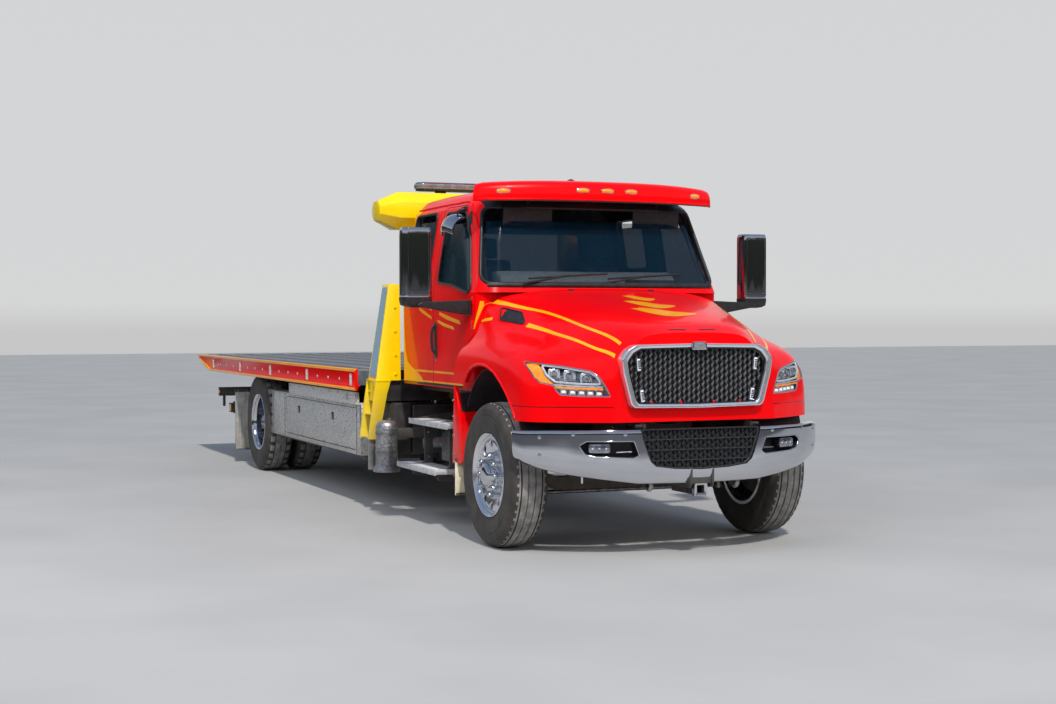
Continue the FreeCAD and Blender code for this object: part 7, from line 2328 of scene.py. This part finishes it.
# ------------------------------------------------------------------ stage, light and camera
def stage():
    me = bpy.data.meshes.new("floor")
    s = 60
    me.from_pydata([(-s, -s, 0), (s, -s, 0), (s, s, 0), (-s, s, 0)], [], [(0, 1, 2, 3)])
    floor = link(bpy.data.objects.new("floor", me))
    m = mat("floor_pale", (0.44, 0.435, 0.42), 0.85, 0.0, color2=(0.40, 0.395, 0.385), vscale=0.6, rvar=0.05, bump=0.05, bscale=40)
    # the floor turns to dark asphalt well off to the truck's right and far ahead of it, for the chrome and paint to reflect
    fn = m.node_tree
    bsdf = [q for q in fn.nodes if q.type == "BSDF_PRINCIPLED"][0]
    src = bsdf.inputs["Base Color"].links[0].from_socket
    geo = fn.nodes.new("ShaderNodeNewGeometry")
    sp_ = fn.nodes.new("ShaderNodeSeparateXYZ")
    fn.links.new(geo.outputs["Position"], sp_.inputs[0])
    fx = fn.nodes.new("ShaderNodeMapRange")
    fx.inputs[1].default_value, fx.inputs[2].default_value = -10.0, -6.6
    fy = fn.nodes.new("ShaderNodeMapRange")
    fy.inputs[1].default_value, fy.inputs[2].default_value = -13.0, -9.2
    fn.links.new(sp_.outputs[0], fx.inputs[0])
    fn.links.new(sp_.outputs[1], fy.inputs[0])
    pr = fn.nodes.new("ShaderNodeMath")
    pr.operation = "MULTIPLY"
    fn.links.new(fx.outputs[0], pr.inputs[0])
    fn.links.new(fy.outputs[0], pr.inputs[1])
    mx_ = fn.nodes.new("ShaderNodeMix")
    mx_.data_type = "RGBA"
    mx_.inputs[6].default_value = (0.075, 0.075, 0.080, 1)
    fn.links.new(pr.outputs[0], mx_.inputs[0])
    fn.links.new(src, mx_.inputs[7])
    fn.links.new(mx_.outputs[2], bsdf.inputs["Base Color"])
    me.materials.append(m)
    w = bpy.data.worlds.new("sky")
    SC.world = w
    w.use_nodes = True
    nt = w.node_tree
    N, L = nt.nodes, nt.links
    N.clear()
    out = N.new("ShaderNodeOutputWorld")
    bg = N.new("ShaderNodeBackground")
    tc = N.new("ShaderNodeTexCoord")
    sep = N.new("ShaderNodeSeparateXYZ")
    # pale ahead of the camera; dark ground line and blue sky behind it, for the paint and chrome to reflect
    def ramp(stops):
        cr = N.new("ShaderNodeValToRGB")
        el = cr.color_ramp.elements
        el[0].position, el[0].color = stops[0][0], stops[0][1] + (1,)
        el[1].position, el[1].color = stops[-1][0], stops[-1][1] + (1,)
        for p_, c_ in stops[1:-1]:
            e = el.new(p_)
            e.color = c_ + (1,)
        return cr
    front = ramp([(0.0, (0.45, 0.45, 0.45)), (0.497, (0.80, 0.80, 0.80)), (0.503, (0.93, 0.935, 0.94)), (0.62, (0.90, 0.92, 0.95)), (1.0, (0.40, 0.50, 0.70))])
    back = ramp([(0.0, (0.10, 0.10, 0.10)), (0.497, (0.10, 0.10, 0.10)), (0.500, (0.030, 0.034, 0.030)), (0.575, (0.05, 0.055, 0.045)),
                 (0.600, (0.66, 0.70, 0.78)), (0.70, (0.36, 0.46, 0.64)), (1.0, (0.22, 0.32, 0.52))])
    mr = N.new("ShaderNodeMapRange")
    mr.inputs[1].default_value, mr.inputs[2].default_value = -1, 1
    my = N.new("ShaderNodeMapRange")
    my.inputs[1].default_value, my.inputs[2].default_value = 0.78, 0.91
    dp = N.new("ShaderNodeVectorMath")
    dp.operation = "DOT_PRODUCT"
    dp.inputs[1].default_value = (0.3874, 0.9219, 0.0)
    wob = N.new("ShaderNodeTexNoise")
    wob.inputs["Scale"].default_value = 9
    wa = N.new("ShaderNodeMath")
    wa.operation = "MULTIPLY_ADD"
    wa.inputs[1].default_value = 0.05
    L.new(tc.outputs["Generated"], sep.inputs[0])
    L.new(tc.outputs["Generated"], wob.inputs["Vector"])
    L.new(sep.outputs[2], mr.inputs[0])
    nz = N.new("ShaderNodeVectorMath")
    nz.operation = "NORMALIZE"
    L.new(tc.outputs["Generated"], nz.inputs[0])
    L.new(nz.outputs[0], dp.inputs[0])
    L.new(dp.outputs["Value"], my.inputs[0])
    L.new(wob.outputs[0], wa.inputs[0])
    L.new(mr.outputs[0], wa.inputs[2])
    sh = N.new("ShaderNodeMath")
    sh.operation = "SUBTRACT"
    sh.inputs[1].default_value = 0.025
    L.new(wa.outputs[0], sh.inputs[0])
    L.new(mr.outputs[0], front.inputs[0])
    L.new(sh.outputs[0], back.inputs[0])
    mx = N.new("ShaderNodeMix")
    mx.data_type = "RGBA"
    L.new(my.outputs[0], mx.inputs[0])
    L.new(back.outputs[0], mx.inputs[6])
    L.new(front.outputs[0], mx.inputs[7])
    L.new(mx.outputs[2], bg.inputs[0])
    bg.inputs[1].default_value = 0.85
    L.new(bg.outputs[0], out.inputs[0])

    def area(name, loc, target, size, power, color=(1, 1, 1), sy=None):
        li = bpy.data.lights.new(name, "AREA")
        li.energy, li.color = power, color
        li.shape = "RECTANGLE"
        li.size, li.size_y = size, sy or size
        o = link(bpy.data.objects.new(name, li))
        o.location = loc
        d = Vector(target) - Vector(loc)
        o.rotation_euler = d.to_track_quat("-Z", "Y").to_euler()
        o.visible_glossy = False
        return o
    sun = bpy.data.lights.new("sun", "SUN")
    sun.energy, sun.angle, sun.color = 3.2, rad(3), (1.0, 0.965, 0.91)
    so = link(bpy.data.objects.new("sun", sun))
    so.rotation_euler = Vector((0.16, 0.80, -1.0)).to_track_quat("-Z", "Y").to_euler()
    area("sky_card", (-9, -7, 9), (0, -1, 1), 9, 760, (0.97, 0.98, 1.0))
    area("front_card", (4, -14, 5), (0, -4, 1.2), 6, 420, (1.0, 0.98, 0.95))


def camera():
    cd = bpy.data.cameras.new("cam")
    cd.sensor_width, cd.lens = 36.0, 56.44
    cd.clip_start, cd.clip_end = 0.1, 500
    co = link(bpy.data.objects.new("cam", cd))
    yaw, pitch, roll = rad(22.797), rad(-1.204), rad(-0.067)
    fwd = Vector((sin(yaw) * cos(pitch), cos(yaw) * cos(pitch), sin(pitch)))
    q = fwd.to_track_quat("-Z", "Y")
    M = q.to_matrix().to_4x4() @ Matrix.Rotation(roll, 4, "Z")
    M.translation = (-5.378, -14.956, 1.6165)
    co.matrix_world = M
    SC.camera = co


stage()
camera()
SC.view_settings.view_transform = "Standard"
SC.view_settings.look = "None"
SC.view_settings.exposure = -0.25

SLOTS = (("visual_tyre", "tyre"), ("visual_wheel", "polished_aluminium"), ("visual_hood", "red_paint"), ("visual_cab_windows", "glass"),
         ("visual_cab_steps", "aluminium"), ("visual_cab", "red_paint"), ("visual_door_glass", "glass"), ("visual_door", "red_paint"),
         ("visual_windshield", "glass"), ("visual_sun_visor", "red_paint"), ("visual_grille_mesh", "black_plastic"), ("visual_grille", "chrome"),
         ("visual_headlights", "lamp_glass"), ("visual_bumper_grille", "black_plastic"), ("visual_bumper", "chrome"),
         ("visual_front_hitch", "black_frame"), ("visual_mirror", "chrome"), ("visual_look_down", "chrome"),
         ("visual_splash", "red_paint"), ("visual_inner", "black_plastic"), ("visual_mudflaps", "flap_rubber"),
         ("visual_fuel_tank", "polished_aluminium"), ("visual_canister", "aluminium"), ("visual_hydraulic", "black_frame"),
         ("visual_under_cab", "black_frame"), ("visual_pylon", "yellow_paint"), ("visual_light_bar", "black_plastic"),
         ("visual_toolbox", "red_paint"), ("visual_deck_floor", "deck_steel"), ("visual_deck_rails", "red_paint"),
         ("visual_winch", "cast_iron"), ("visual_subframe", "black_frame"), ("visual_tilt_barrels", "black_frame"),
         ("visual_lift", "black_frame"), ("visual_rear_light_bar", "black_frame"), ("visual_frame", "black_frame"),
         ("visual_seat_frames", "black_plastic"), ("visual_seat", "seat_fabric"), ("visual_dashboard", "black_plastic"),
         ("visual_steering", "black_plastic"))
for o in list(bpy.data.objects):
    for start, name in SLOTS:
        if o.name.startswith(start):
            break
